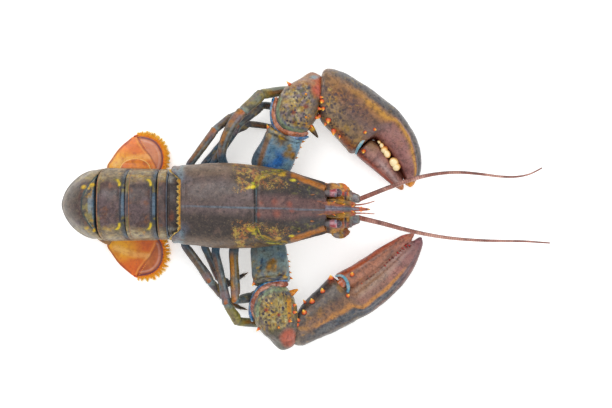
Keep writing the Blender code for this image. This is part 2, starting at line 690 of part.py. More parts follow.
def joint_plane(joints, number):
    """The plane that two parts of a limb meet in, halfway between their headings."""
    here = Vector(joints[number][:3])
    before = (here - Vector(joints[number - 1][:3])).normalized()
    after = (Vector(joints[number + 1][:3]) - here).normalized()
    return (before + after).normalized()


def make_leg(limb):
    """A walking leg in three parts: thigh, shin and foot. The first two pairs end in a small pincer."""
    joints = limb["joints"] + ((*limb["tip"], 0.4, 0.4),)
    at = [Vector(j[:3]) for j in joints]
    planes = [None] + [joint_plane(joints, i) for i in range(1, len(joints) - 1)]
    sides = 8

    def full(i, share_side=1.0):
        return oval(at[i], planes[i], joints[i][3] * share_side, joints[i][4] * share_side, sides)

    def end(i, sign):
        swell = 0.92
        return oval(at[i] + planes[i] * (sign * JOINT_GAP / 2), planes[i], joints[i][3] * swell,
                    joints[i][4] * swell, sides)

    def between(i, share, size):
        along = (at[i + 1] - at[i]).normalized()
        half = [joints[i][n] + (joints[i + 1][n] - joints[i][n]) * share for n in (3, 4)]
        bow = Vector(limb["bow"]) * (4 * share * (1 - share) if i == 2 else 0.0)
        return oval(at[i].lerp(at[i + 1], share) + bow, along, half[0] * size, half[1] * size, sides)

    thigh = [end(1, 1), full(2), between(2, 0.25, 0.98), between(2, 0.55, 1.0), between(2, 0.85, 1.06),
             end(3, -1)]
    loft(limb["name"] + "_thigh", thigh)
    loft(limb["name"] + "_shin", [end(3, 1), between(3, 0.25, 0.98), between(3, 0.75, 1.06), end(4, -1)])
    foot = [end(4, 1), between(4, 0.3, 1.0), between(4, 0.85, 1.0), full(5, 0.92), between(5, 0.7, 0.62),
            [at[6]]]
    made = loft(limb["name"] + "_foot", foot)
    if limb["claw"]:
        along = (at[6] - at[5]).normalized()
        side = UP.cross(along).normalized() * (LEFT if "left" in limb["name"] else RIGHT)
        root = at[5] - side * joints[5][3] * 0.5
        fuse(made,
             [spine("finger", root, along * 0.98 - side * 0.16, (at[6] - at[5]).length * 0.96, 1.0, 6, 2.5)])


# Claw arms: the joints of socket, hip, elbow side and wrist, then the claw itself as stations of
# (x, y, z, half width, half height, heading in degrees).
CHELIPEDS = (
    {"name": "arm_left", "joints": (
        (-28.0, 9.5, 10.6, 6.0, 4.8), (-25.2, 18.5, 10.4, 6.4, 3.8), (-22.4, 24.4, 12.0, 10.6, 4.5),
        (-12.8, 50.0, 19.5, 11.6, 7.0))},
    {"name": "arm_right", "joints": (
        (-28.0, -5.0, 10.6, 6.0, 4.8), (-25.8, -14.6, 10.4, 6.4, 3.8), (-24.5, -20.4, 12.0, 10.2, 4.5),
        (-21.6, -47.0, 19.5, 11.6, 7.0))},
)
# "flat" is the outer side of a wrist: the way it faces, how far out it begins, and the share it is drawn in.
WRISTS = (
    {"centre": (-4.9, 66.8, 21.0), "half": (19.2, 13.4, 11.6), "turn": 72.0, "power": 2.8,
     "end": (8.0, 87.2, 15.6),
     "flat": ((-0.254, 0.967, 0.0), 74.0, 0.39)},
    {"centre": (-19.4, -65.8, 20.4), "half": (20.4, 13.9, 11.2), "turn": -78.0, "power": 2.4,
     "end": (-11.8, -89.4, 14.6), "flat": ((-0.463, -0.886, 0.0), 78.0, 0.37)},
)
CRUSHER_PALM = (
    (8.4, 76.0, 18.4, 7.0, 6.5, -8), (9.4, 75.6, 18.0, 13.4, 9.6, -8), (12.0, 73.4, 16.4, 16.8, 11.6, -10),
    (16.0, 70.9, 14.6, 18.3, 12.6, -12), (21.0, 67.9, 13.2, 18.9, 13.2, -17),
    (27.4, 63.4, 12.8, 19.3, 13.4, -25),
    (34.9, 57.0, 12.6, 19.8, 13.2, -34), (43.5, 50.4, 12.2, 19.8, 12.0, -43),
)
CRUSHER_FINGER = (
    (51.4, 53.2, 12.0, 12.0, 10.6, -56), (57.4, 46.9, 11.6, 11.0, 9.8, -66),
    (61.4, 41.0, 11.2, 10.1, 9.0, -71),
    (64.5, 34.4, 10.8, 8.6, 8.2, -75), (66.4, 28.8, 10.4, 7.2, 7.2, -77), (67.3, 23.4, 10.2, 5.3, 5.8, -82),
    (67.3, 19.6, 10.2, 3.7, 4.2, -88),
)
CRUSHER_FINGER_TIP = (66.6, 14.8, 10.6)
CRUSHER_THUMB = (
    (40.6, 36.8, 11.8, 7.5, 8.2, -41), (45.4, 32.3, 11.4, 6.7, 7.6, -40), (49.3, 28.2, 11.0, 5.8, 6.8, -42),
    (52.8, 24.3, 10.6, 4.9, 5.8, -43), (57.2, 19.2, 10.2, 3.8, 4.6, -46),
)
CRUSHER_THUMB_TIP = (61.8, 13.2, 10.4)
CUTTER_PALM = (
    (-7.6, -77.0, 15.2, 6.0, 6.0, -6), (-6.6, -76.8, 14.8, 9.2, 8.2, -4), (-3.2, -75.2, 13.4, 11.2, 9.4, 10),
    (3.2, -70.5, 11.6, 12.6, 10.0, 24), (11.8, -64.9, 10.2, 14.2, 10.4, 29),
    (20.6, -58.8, 9.9, 15.7, 10.2, 31),
    (25.3, -55.5, 9.8, 16.2, 9.6, 31.6),
)
CUTTER_FINGER = (
    (33.4, -59.2, 9.4, 9.6, 8.6, 39), (39.4, -55.6, 9.0, 9.5, 8.0, 51), (46.0, -50.6, 8.6, 9.1, 7.4, 54),
    (53.4, -44.2, 8.2, 8.4, 6.8, 53), (60.0, -37.2, 7.8, 7.3, 6.2, 52), (65.2, -30.6, 7.6, 5.9, 5.4, 56),
    (69.6, -23.9, 7.4, 4.0, 4.2, 70),
)
CUTTER_FINGER_TIP = (73.6, -17.4, 7.6)
CUTTER_THUMB = (
    (28.8, -43.0, 9.0, 6.3, 6.8, 36), (38.4, -36.9, 8.6, 5.9, 6.2, 33), (46.4, -31.1, 8.2, 5.2, 5.4, 34),
    (54.8, -25.1, 7.8, 4.3, 4.6, 33), (62.4, -19.8, 7.6, 3.3, 3.6, 30),
)
CUTTER_THUMB_TIP = (69.4, -15.1, 7.8)
# Radii of the crusher's blunt teeth, on the fixed finger and on the thumb.
CRUSHER_MOLARS = ((1.7, 2.2, 2.0, 1.3), (1.3, 1.5, 1.4, 1.1))
TOOTH_LENGTH = 0.7
CLAW_SIDES = 16
POLYGON_REACH = 1.02


def claw_ring(station, count=CLAW_SIDES, power=2.15):
    x, y, z, half_side, half_up, degrees = station
    return oval((x, y, z), heading(degrees), half_side * POLYGON_REACH, half_up, count, power)


def surface_point(station, angle, out=1.0):
    """A point of a claw's skin and the way out of it, at an angle from its left side over its top."""
    x, y, z, half_side, half_up, degrees = station
    _, side, lift = frame_of(heading(degrees))
    a = math.radians(angle)
    away = side * (math.cos(a) * half_side) + lift * (math.sin(a) * half_up)
    normal = side * (math.cos(a) / half_side) + lift * (math.sin(a) / half_up)
    return Vector((x, y, z)) + away * out, normal.normalized()


def between_stations(stations, place):
    """The claw's size at a fractional place along its stations."""
    i = min(int(place), len(stations) - 2)
    return mix(stations[i], stations[i + 1], place - i)


def bumps(stations, inner, plan):
    """Spines of a claw: (place along the stations, angle over the top from the inner side, length, radius)."""
    made = []
    for place, angle, length, radius in plan:
        station = between_stations(stations, place)
        angle = angle if inner == LEFT else 180 - angle
        root, out = surface_point(station, angle)
        forward = heading(station[5]).normalized()
        made.append(spine("bump", root, out + forward * 0.35, length, radius, 6, 1.4))
    return made


def make_claw(name, palm, finger, finger_tip, thumb, thumb_tip, inner, molars):
    """A claw of two solids: the palm with its fixed finger, and the thumb that closes against it."""
    rings = [claw_ring(s) for s in palm + finger] + [[Vector(finger_tip)]]
    body = loft(f"{name}_palm", rings)
    plan = [(1.7, 30, 2.4, 1.3), (2.6, 38, 2.6, 1.5), (3.4, 30, 2.8, 1.5), (4.3, 36, 2.8, 1.6),
            (5.2, 28, 2.6, 1.5), (2.2, 12, 2.0, 1.2), (3.9, 8, 2.0, 1.2)]
    pieces = bumps(palm, inner, plan)
    low, high = palm[-1], finger[0]
    reach = {LEFT: 0, RIGHT: 180}[inner]
    corner = surface_point(low, reach)[0]
    gape = surface_point(high, reach)[0]
    face = (gape - corner)
    out = Vector((-face.y, face.x, 0)).normalized() * inner
    pieces += tooth_row(finger, inner, molars[0], 0.4, len(finger) - 1.4)
    root, away = surface_point(palm[1], 180 - reach, 0.84)
    pieces.append(ovoid("corner", root + away * 0.4 + heading(palm[1][5]) * 2.6, (3.4, 3.4, 5.4), 10, 6))
    fuse(body, pieces)
    middle = (corner + gape) / 2 + out * (JOINT_GAP + 0.25)
    degrees = math.degrees(math.atan2(out.y, out.x))
    start = (middle.x, middle.y, (low[2] + high[2]) / 2, face.length / 2 * 0.93, thumb[0][4] * 0.94, degrees)
    rings = [claw_ring(s, CLAW_SIDES - 4) for s in (start,) + thumb] + [[Vector(thumb_tip)]]
    moving = loft(f"{name}_thumb", rings)
    pieces = tooth_row(thumb, -inner, molars[1], 0.3, len(thumb) - 1.6)
    pieces += bumps(thumb, inner, [(0.2, 40, 2.0, 1.3)])
    fuse(moving, pieces)


def tooth_row(stations, edge, molars, start, end):
    """Teeth along one edge of a finger: a few blunt molars on the crusher, many small ones on the cutter.

    molars lists the crusher's radii, and is empty for the cutter."""
    made = []
    count = 4 if molars else 8
    for i in range(count):
        place = start + (end - start) * i / (count - 1)
        station = between_stations(stations, place)
        root, out = surface_point(station, 0 if edge == LEFT else 180, 0.97)
        if molars:
            radius = molars[i]
            made.append(ovoid("molar", root - out * 0.7, (radius, radius, radius * 1.1), 7, 5))
        else:
            made.append(spine("tooth", root, out, TOOTH_LENGTH, 0.9, 5, 0.9))
    return made


def make_arm(limb, wrist, palm, inner):
    """Hip piece, upper arm and wrist of a claw arm."""
    joints = limb["joints"]
    at = [Vector(j[:3]) for j in joints]
    planes = [None, joint_plane(joints, 1), joint_plane(joints, 2), (at[3] - at[2]).normalized()]
    sides = 12

    def end(i, sign, size=0.96):
        centre = at[i] + planes[i] * (sign * JOINT_GAP / 2)
        return oval(centre, planes[i], joints[i][3] * size, joints[i][4] * size, sides)

    loft(limb["name"] + "_hip", [end(1, 1), end(2, -1, 0.9)])
    rings = [end(2, 1, 0.94)]
    for share, wide, tall in ((0.2, 11.6, 5.0), (0.55, 12.0, 6.2), (0.85, 12.0, 7.2)):
        rings.append(oval(at[2].lerp(at[3], share), planes[3], wide, tall, sides, 2.6))
    rings.append(end(3, -1, 0.92))
    upper = loft(limb["name"] + "_upper", rings)
    pieces = []
    left_heading = planes[3]
    _, side, _ = frame_of(left_heading)
    front = side * (LEFT if inner == LEFT else RIGHT)
    for share in (0.3, 0.5, 0.7, 0.88):
        root = at[2].lerp(at[3], share) + front * 10.6
        pieces.append(spine("edge_spine", root, front + planes[3] * 0.5, 2.2, 0.9, 5))
    rear = at[2].lerp(at[3], 0.9) - front * 10.0 + UP * 2
    pieces.append(spine("rear_spine", rear, planes[3] * 0.6 - front * 0.8 + UP * 0.3, 3.0, 1.3, 5))
    fuse(upper, pieces)

    joint = ovoid(limb["name"] + "_wrist", wrist["centre"], wrist["half"], 16, 12, wrist["turn"],
                  wrist["power"])
    for vert in joint.data.vertices:
        vert.co = drawn_in((vert.co + joint.location) / MM, wrist) * MM - joint.location
    trim(joint, at[3] + planes[3] * (JOINT_GAP / 2), -planes[3])
    palm_way = heading(palm[0][5]).normalized()
    trim(joint, Vector(palm[0][:3]) - palm_way * JOINT_GAP, palm_way)
    pieces = []
    for along, around, length, radius in (
        (-12, 24, 2.4, 1.3), (-26, 40, 2.2, 1.2), (24, 66, 2.0, 1.2), (-20, 90, 1.8, 1.1),
        (-60, 160, 3.0, 1.4),
        (30, 165, 3.0, 1.4),
    ):
        pieces.append(wrist_spine(wrist, inner, along, around, length, radius))
    pieces.append(wrist_spine(wrist, inner, -42, 4, 6.0, 2.4))
    middle = Vector(wrist["centre"])
    way = Vector(wrist["end"]) - middle
    pieces.append(spine("end_knob", middle + way * 0.6, way, way.length * 0.4, 6.0, 10, 3.0))
    fuse(joint, pieces)


def drawn_in(point, wrist):
    """A point of a wrist, drawn in towards the middle where the outer side is flatter than the block."""
    way, begin, share = wrist["flat"]
    past = max(0.0, point.dot(Vector(way)) - begin)
    return point - Vector(way) * (past * share)


def wrist_spine(wrist, inner, along, around, length, radius):
    """A spine on the wrist: degrees along it towards the claw, then over the top from its inner side."""
    ahead, side, lift = frame_of(heading(wrist["turn"]))
    a, b = math.radians(along), math.radians(around)
    inner_side = side * inner
    half = wrist["half"]
    way = ahead * math.sin(a) + (inner_side * math.cos(b) + lift * math.sin(b)) * math.cos(a)
    root = Vector(wrist["centre"]) + ahead * (math.sin(a) * half[0] * 0.97)
    root += inner_side * (math.cos(b) * math.cos(a) * half[1] * 0.97)
    root += lift * (math.sin(b) * math.cos(a) * half[2] * 0.97)
    return spine("wrist_spine", drawn_in(root, wrist), way + ahead * 0.2, length, radius, 6, 2.0)


def trim(body, point, normal):
    """Cuts off what lies past a plane and closes the cut with a flat face."""
    work = bmesh.new()
    work.from_mesh(body.data)
    geometry = work.verts[:] + work.edges[:] + work.faces[:]
    cut = bmesh.ops.bisect_plane(
        work, geom=geometry, plane_co=Vector(point) * MM - body.location, plane_no=normal, clear_outer=True,
        dist=1e-6
    )
    edges = [g for g in cut["geom_cut"] if isinstance(g, bmesh.types.BMEdge)]
    bmesh.ops.contextual_create(work, geom=edges)
    bmesh.ops.recalc_face_normals(work, faces=work.faces)
    work.to_mesh(body.data)
    work.free()


# Head: eyes, both pairs of feelers and the mouth's outer limbs.
EYE_OUT = 9.3
EYE_HEIGHT = 42.6
EYE_RADIUS = 2.7
SOCKET_BACK = 9.0
SOCKET_HALF = 4.1


def make_eyes():
    for hand, word in ((LEFT, "left"), (RIGHT, "right")):
        y = eye_line(hand)
        stalk = []
        for x, radius in ((SOCKET_BACK + JOINT_GAP, 2.2), (15.0, 2.2), (18.0, 2.2)):
            stalk.append(oval((x, y, EYE_HEIGHT), (1, 0, 0), radius, radius, 10, 2.0))
        body = loft(f"eye_{word}", stalk)
        ball = ovoid("ball", (19.6, y + hand * 0.4, EYE_HEIGHT), (2.9, EYE_RADIUS, EYE_RADIUS), 12, 8)
        fuse(body, [ball])


ANTENNA_START = 34.2
ANTENNA_BASE = (
    # x, distance from the midline, height, half width, half height
    (CARAPACE_FRONT + JOINT_GAP, 11.2, 29.0, 4.2, 6.0),
    (16.5, 11.4, 28.6, 5.2, 6.0),
    (21.0, 10.6, 28.4, 5.0, 5.2),
    (25.0, 9.0, 28.4, 3.9, 4.0),
    (27.6, 7.9, 28.4, 3.8, 3.6),
    (31.0, 6.8, 28.4, 3.0, 3.0),
    (ANTENNA_START, 6.2, 28.4, 2.6, 2.6),
)
SCALE_OUT = {LEFT: 11.6, RIGHT: 14.6}
SCALE_LENGTH = 11.4
LEFT_ANTENNA = (
    (ANTENNA_START + JOINT_GAP, 7.0, 28.4), (44.6, 11.2, 28.0), (55.3, 15.3, 26.6), (66.1, 19.1, 24.6),
    (76.9, 21.9, 22.0),
    (87.7, 23.5, 19.0), (98.6, 23.9, 16.0), (111.3, 22.9, 12.8), (124.0, 21.4, 10.0), (134.0, 21.2, 8.4),
    (143.0, 22.9, 7.2), (151.3, 27.0, 6.4),
)
RIGHT_ANTENNA = (
    (ANTENNA_START + JOINT_GAP, -5.2, 28.4), (48.1, -8.4, 27.6), (59.8, -11.6, 26.2), (71.5, -14.4, 24.0),
    (84.1, -16.8, 20.6),
    (97.0, -18.4, 17.0), (111.3, -19.4, 13.6), (124.9, -19.8, 10.8), (138.5, -20.0, 8.6), (148.0, -20.6, 7.2),
    (156.4, -21.2, 6.4),
)
ANTENNA_ROOT_RADIUS = 1.55
ANTENNA_TIP_RADIUS = 0.5


def spline(points, steps):
    """A smooth line through points, with a set number of steps to each span."""
    line = []
    points = [Vector(p) for p in points]
    for i in range(len(points) - 1):
        before = points[max(i - 1, 0)]
        a, b = points[i], points[i + 1]
        after = points[min(i + 2, len(points) - 1)]
        for k in range(steps):
            t = k / steps
            line.append(0.5 * (2 * a + (b - before) * t + (2 * before - 5 * a + 4 * b - after) * t * t
                               + (3 * a - before - 3 * b + after) * t ** 3))
    line.append(points[-1])
    return line


def whip(name, line):
    """A long feeler: a curve with a round bevel that thins towards its tip. Its root faces straight ahead."""
    curve = bpy.data.curves.new(name, "CURVE")
    curve.dimensions = "3D"
    curve.bevel_depth = ANTENNA_ROOT_RADIUS * MM
    curve.bevel_resolution = 2
    curve.use_fill_caps = True
    line = [line[0], line[0] + Vector((ANTENNA_ROOT_RADIUS, 0, 0))] + line[1:]
    route = curve.splines.new("POLY")
    route.points.add(len(line) - 1)
    for i, p in enumerate(line):
        share = (i / (len(line) - 1)) ** 0.8
        route.points[i].co = (*((p - line[0]) * MM), 1.0)
        route.points[i].radius = 1 + (ANTENNA_TIP_RADIUS / ANTENNA_ROOT_RADIUS - 1) * share
    made = bpy.data.objects.new(name, curve)
    made.location = line[0] * MM
    bpy.context.scene.collection.objects.link(made)


def tapered(name, line, root_radius, tip_radius, sides):
    """A short feeler along a line, as rings that get smaller towards its tip."""
    rings = []
    for i, p in enumerate(line):
        along = line[min(i + 1, len(line) - 1)] - line[i - 1] if i else Vector((1, 0, 0))
        share = i / (len(line) - 1)
        radius = root_radius + (tip_radius - root_radius) * share ** 0.8
        rings.append(oval(p, along, radius, radius, sides, 2.0))
    return loft(name, rings)


def make_feelers():
    for hand, word, route in ((LEFT, "left", LEFT_ANTENNA), (RIGHT, "right", RIGHT_ANTENNA)):
        rings = []
        for x, out, height, half_side, half_up in ANTENNA_BASE:
            way = (1, -hand * 0.28 if 18 < x < ANTENNA_START else 0, 0)
            rings.append(oval((x, midline(x) + hand * out, height), way, half_side, half_up, 10))
        base = loft(f"antenna_{word}_base", rings)
        scale_start = Vector((16.0, midline(17) + hand * SCALE_OUT[hand], 30.6))
        rings = []
        for share, half, thick in ((0, 2.6, 1.6), (0.35, 3.6, 1.6), (0.75, 3.2, 1.2), (0.95, 1.6, 0.8)):
            sway = hand * 1.2 * math.sin(math.pi * share)
            centre = scale_start + Vector((SCALE_LENGTH * share, sway, 0.6 * share))
            rings.append(oval(centre, (1, 0, 0), half, thick, 8))
        rings.append([scale_start + Vector((SCALE_LENGTH + 0.8, hand * 0.2, 0.6))])
        fuse(base, [loft("scale", rings)])
        whip(f"antenna_{word}", spline(route, 2))
        stem = []
        for x, out, height, radius in ANTENNULE_STEM:
            stem.append(oval((x, midline(x) + hand * out, height), (1, 0, 0), radius, radius, 8))
        body = loft(f"antennule_{word}", stem)
        whips = []
        side_sway = {LEFT: 2.6, RIGHT: -0.5}[hand]
        for climb in (0.10, -0.18):
            start = Vector((31.0, midline(31) + hand * ANTENNULE_STEM[-1][1], ANTENNULE_STEM[-1][2]))
            route = []
            for ahead in (0.0, 4.0, 8.0, 12.4):
                share = ahead / 12.4
                lift = ahead * climb - ahead * ahead * 0.012
                route.append(start + Vector((ahead, side_sway * share * share, lift)))
            whips.append(tapered("whip", spline(route, 1), 0.62, 0.34, 6))
        fuse(body, whips)


JAW_FOOT = (
    # x, distance from the midline, height, half width, half height
    (-7.6, 4.6, 5.2, 3.1, 2.6), (0.0, 5.2, 6.6, 3.5, 2.6), (8.0, 5.2, 9.0, 3.6, 2.8),
    (17.0, 4.6, 11.6, 3.1, 2.7),
    (24.0, 3.9, 15.4, 2.4, 2.2), (27.0, 3.4, 18.6, 1.6, 1.5),
)
JAW_FOOT_TIP = (27.6, 3.2, 21.0)


def jaw_foot_root(hand):
    x, out, height = JAW_FOOT[0][:3]
    nx, nout, nheight = JAW_FOOT[1][:3]
    way = Vector((nx - x, hand * (nout - out), nheight - height)).normalized()
    return Vector((x, midline(14) + hand * out, height)), way


def make_face():
    """The plate under the eyes that both pairs of feelers and the jaw feet stand on."""
    y = midline(14)
    for hand, word in ((LEFT, "left"), (RIGHT, "right")):
        points = [Vector((x, y + hand * out, z)) for x, out, z, _, _ in JAW_FOOT]
        rings = []
        for i, row in enumerate(JAW_FOOT):
            along = points[min(i + 1, len(points) - 1)] - points[max(i - 1, 0)]
            rings.append(oval(points[i], along, row[3], row[4], 8))
        x, out, z = JAW_FOOT_TIP
        rings.append([Vector((x, y + hand * out, z))])
        loft(f"jaw_foot_{word}", rings)
    rings = [
        oval((CARAPACE_FRONT + JOINT_GAP, y, 25.0), (1, 0, 0), 6.2, 7.4, 12, 2.6),
        oval((17.0, y, 25.4), (1, 0, 0), 5.6, 6.8, 12, 2.4),
        oval((20.5, y, 26.0), (1, 0, 0), 4.0, 4.6, 12),
    ]
    loft("mouth_plate", rings)


def place_in_frame(body):
    at = Vector(body.location)
    while body.parent:
        body = body.parent
        at += body.location
    return at


def attach(child, parent):
    """Parents a part to the one that it grows from. Its location is then measured from there."""
    child.location = place_in_frame(child) - place_in_frame(parent)
    child.parent = parent


def join_up():
    """Parents all parts in the order in which they grow, from an empty at the frame's origin."""
    lobster = bpy.data.objects.new("lobster", None)
    bpy.context.scene.collection.objects.link(lobster)
    links = [("chest", "lobster"), ("carapace", "chest"), ("rostrum", "carapace"), ("mouth_plate", "chest"),
             ("abdomen_ring_1", "chest"), ("crusher_palm", "arm_left_wrist"),
             ("crusher_thumb", "crusher_palm"),
             ("cutter_palm", "arm_right_wrist"), ("cutter_thumb", "cutter_palm")]
    links += [(f"abdomen_ring_{n + 1}", f"abdomen_ring_{n}") for n in range(1, 6)]
    links += [(blade, "abdomen_ring_6") for blade in ("telson", "uropod_left", "uropod_right")]
    for word in ("left", "right"):
        links += [(f"eye_{word}", "carapace"), (f"jaw_foot_{word}", "chest"),
                  (f"antennule_{word}", "mouth_plate"),
                  (f"antenna_{word}_base", "mouth_plate"), (f"antenna_{word}", f"antenna_{word}_base"),
                  (f"arm_{word}_hip", "chest"), (f"arm_{word}_upper", f"arm_{word}_hip"),
                  (f"arm_{word}_wrist", f"arm_{word}_upper")]
    for limb in LEGS:
        name = limb["name"]
        links += [(f"{name}_thigh", "chest"), (f"{name}_shin", f"{name}_thigh"),
                  (f"{name}_foot", f"{name}_shin")]
    for child, parent in links:
        attach(bpy.data.objects[child], bpy.data.objects[parent])
        paint(bpy.data.objects[child])


def main():
    clear_scene()
    make_carapace()
    make_rostrum()
    make_abdomen()
    make_tail_fan()
    make_chest()
    for limb in LEGS:
        make_leg(limb)
    make_arm(CHELIPEDS[0], WRISTS[0], CRUSHER_PALM, RIGHT)
    make_arm(CHELIPEDS[1], WRISTS[1], CUTTER_PALM, LEFT)
    make_claw("crusher", CRUSHER_PALM, CRUSHER_FINGER, CRUSHER_FINGER_TIP, CRUSHER_THUMB, CRUSHER_THUMB_TIP,
              RIGHT, CRUSHER_MOLARS)
    make_claw("cutter", CUTTER_PALM, CUTTER_FINGER, CUTTER_FINGER_TIP, CUTTER_THUMB, CUTTER_THUMB_TIP, LEFT,
              ((), ()))
    make_eyes()
    make_feelers()
    make_face()
    join_up()


main()
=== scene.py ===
"""American lobster, life size: the shell, the claws, the tail fan, the feelers and their colours.

Frame: +X towards the head, +Y to the animal's left, +Z up, floor at z = 0. Sizes are in millimetres,
and become metres where a mesh is made.
"""
import math
import random

import bmesh
import bpy
import numpy as np
from mathutils import Matrix, Vector


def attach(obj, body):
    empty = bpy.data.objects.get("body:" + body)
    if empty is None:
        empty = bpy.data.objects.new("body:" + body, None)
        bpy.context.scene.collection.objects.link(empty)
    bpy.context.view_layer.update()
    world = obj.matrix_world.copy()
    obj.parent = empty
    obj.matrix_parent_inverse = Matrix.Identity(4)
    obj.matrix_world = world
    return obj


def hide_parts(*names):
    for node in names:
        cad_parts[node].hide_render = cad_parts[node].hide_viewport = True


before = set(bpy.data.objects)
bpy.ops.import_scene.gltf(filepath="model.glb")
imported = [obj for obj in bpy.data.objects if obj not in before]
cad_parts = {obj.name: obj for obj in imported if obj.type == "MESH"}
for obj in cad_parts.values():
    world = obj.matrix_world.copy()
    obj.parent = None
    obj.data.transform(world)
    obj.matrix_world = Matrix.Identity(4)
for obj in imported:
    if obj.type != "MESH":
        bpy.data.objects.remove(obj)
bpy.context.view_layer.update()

MM = 0.001
UP = Vector((0, 0, 1))
LEFT = 1
RIGHT = -1
SIDES = ((LEFT, "left"), (RIGHT, "right"))
DRAW_SEED = 11
draw = random.Random(DRAW_SEED)


# Bench work: choosing, placing and finishing pieces.

def choose(piece):
    bpy.ops.object.select_all(action="DESELECT")
    piece.select_set(True)
    bpy.context.view_layer.objects.active = piece


def open_up(piece):
    """Takes a piece into edit mode, with all of it selected."""
    choose(piece)
    bpy.ops.object.mode_set(mode="EDIT")
    bpy.ops.mesh.select_all(action="SELECT")


def pick(piece, test):
    """Selects the faces that pass a test, in edit mode."""
    bpy.ops.mesh.select_all(action="DESELECT")
    work = bmesh.from_edit_mesh(piece.data)
    for face in work.faces:
        if test(face):
            face.select_set(True)
    bmesh.update_edit_mesh(piece.data)


def settle(piece, name):
    """Puts a piece's place into its mesh, so that its object sits at the origin, unturned and unscaled."""
    choose(piece)
    bpy.ops.object.transform_apply(location=True, rotation=True, scale=True)
    piece.name = name
    piece.data.name = name
    return piece


def axes_of(ahead):
    """Columns: sideways to the left, upwards and ahead, for a heading."""
    ahead = Vector(ahead).normalized()
    side = UP.cross(ahead)
    side = side.normalized() if side.length > 1e-6 else Vector((0, 1, 0))
    return Matrix((side, ahead.cross(side), ahead)).transposed()


def heading(degrees):
    a = math.radians(degrees)
    return Vector((math.cos(a), math.sin(a), 0.0)).normalized()


def rounded(value, fullness):
    return math.copysign(abs(value) ** (2.0 / fullness), value)


def disc(name, centre, ahead, half_side, half_up, sides, fullness=2.0):
    """A filled ring that faces ahead, at its size and place: the start of a limb."""
    axes = axes_of(ahead)
    bpy.ops.mesh.primitive_circle_add(
        vertices=sides, radius=half_side * MM, fill_type="NGON", location=Vector(centre) * MM,
        rotation=axes.to_euler())
    piece = settle(bpy.context.object, name)
    for vert in piece.data.vertices:
        off = axes.transposed() @ (vert.co / MM - Vector(centre))
        a = math.atan2(off.y, off.x) + math.pi / sides
        off = Vector((rounded(math.cos(a), fullness) * half_side, rounded(math.sin(a), fullness) * half_up,
                      0))
        vert.co = (Vector(centre) + axes @ off) * MM
    return piece


def swing(angle, axis, centre):
    """Turns what is selected about an upright or a crosswise line through a point."""
    if abs(angle) > 1e-5:
        bpy.ops.transform.rotate(value=angle, orient_axis=axis, orient_type="GLOBAL", center_override=centre)


def turn(old, new, centre):
    """Turns what is selected from one heading to another about a point, with its sideways line kept level."""
    before, after = (math.atan2(way.y, way.x) for way in (old, new))
    climb = math.asin(new.z) - math.asin(old.z)
    if abs(climb) < 1e-5:
        swing(before - after, "Z", centre)
        return
    swing(before, "Z", centre)
    swing(climb, "Y", centre)
    swing(-after, "Z", centre)


def limb(name, stations, sides=12, fullness=2.1, levels=2, tip=None):
    """A limb drawn out of a disc: extruded from station to station, turned and resized at each.

    A station is (x, y, z, half width, half height, heading in degrees), or has a vector as its heading."""
    rows = [(Vector(s[:3]), s[3], s[4],
             heading(s[5]) if isinstance(s[5], (int, float)) else Vector(s[5]).normalized())
            for s in stations]
    centre, wide, tall, ahead = rows[0]
    piece = disc(name, centre, ahead, wide, tall, sides, fullness)
    piece.data.attributes.new("share", "FLOAT", "POINT")
    open_up(piece)
    for k, (to, new_wide, new_tall, new_ahead) in enumerate(rows[1:], 1):
        bpy.ops.mesh.extrude_region_move(TRANSFORM_OT_translate={"value": (to - centre) * MM})
        turn(ahead, new_ahead, to * MM)
        bpy.ops.transform.resize(
            value=(new_wide / wide, new_tall / tall, 1.0), orient_type="GLOBAL",
            orient_matrix=axes_of(new_ahead),
            orient_matrix_type="GLOBAL", center_override=to * MM)
        number_ring(piece, k)
        centre, wide, tall, ahead = to, new_wide, new_tall, new_ahead
    if tip is not None:
        bpy.ops.mesh.extrude_region_move(TRANSFORM_OT_translate={"value": (Vector(tip) - centre) * MM})
        number_ring(piece, len(rows))
        bpy.ops.mesh.merge(type="CENTER")
    close_up(piece)
    return refine(piece, levels)


def number_ring(piece, share):
    """Notes on the selected ring how far along the piece it is, for the coat."""
    work = bmesh.from_edit_mesh(piece.data)
    layer = work.verts.layers.float["share"]
    for vert in work.verts:
        if vert.select:
            vert[layer] = share


def close_up(piece):
    """Merges doubles and turns all faces outwards, then leaves edit mode."""
    if bpy.context.mode != "EDIT_MESH":
        open_up(piece)
    bpy.ops.mesh.select_all(action="SELECT")
    bpy.ops.mesh.remove_doubles(threshold=1e-6)
    bpy.ops.mesh.normals_make_consistent(inside=False)
    bpy.ops.object.mode_set(mode="OBJECT")


def refine(piece, levels):
    """Applies a subdivision surface, and shades the piece smooth."""
    choose(piece)
    if levels:
        smooth = piece.modifiers.new("smooth", "SUBSURF")
        smooth.levels = levels
        smooth.render_levels = levels
        bpy.ops.object.modifier_apply(modifier=smooth.name)
    bpy.ops.object.shade_smooth()
    return piece


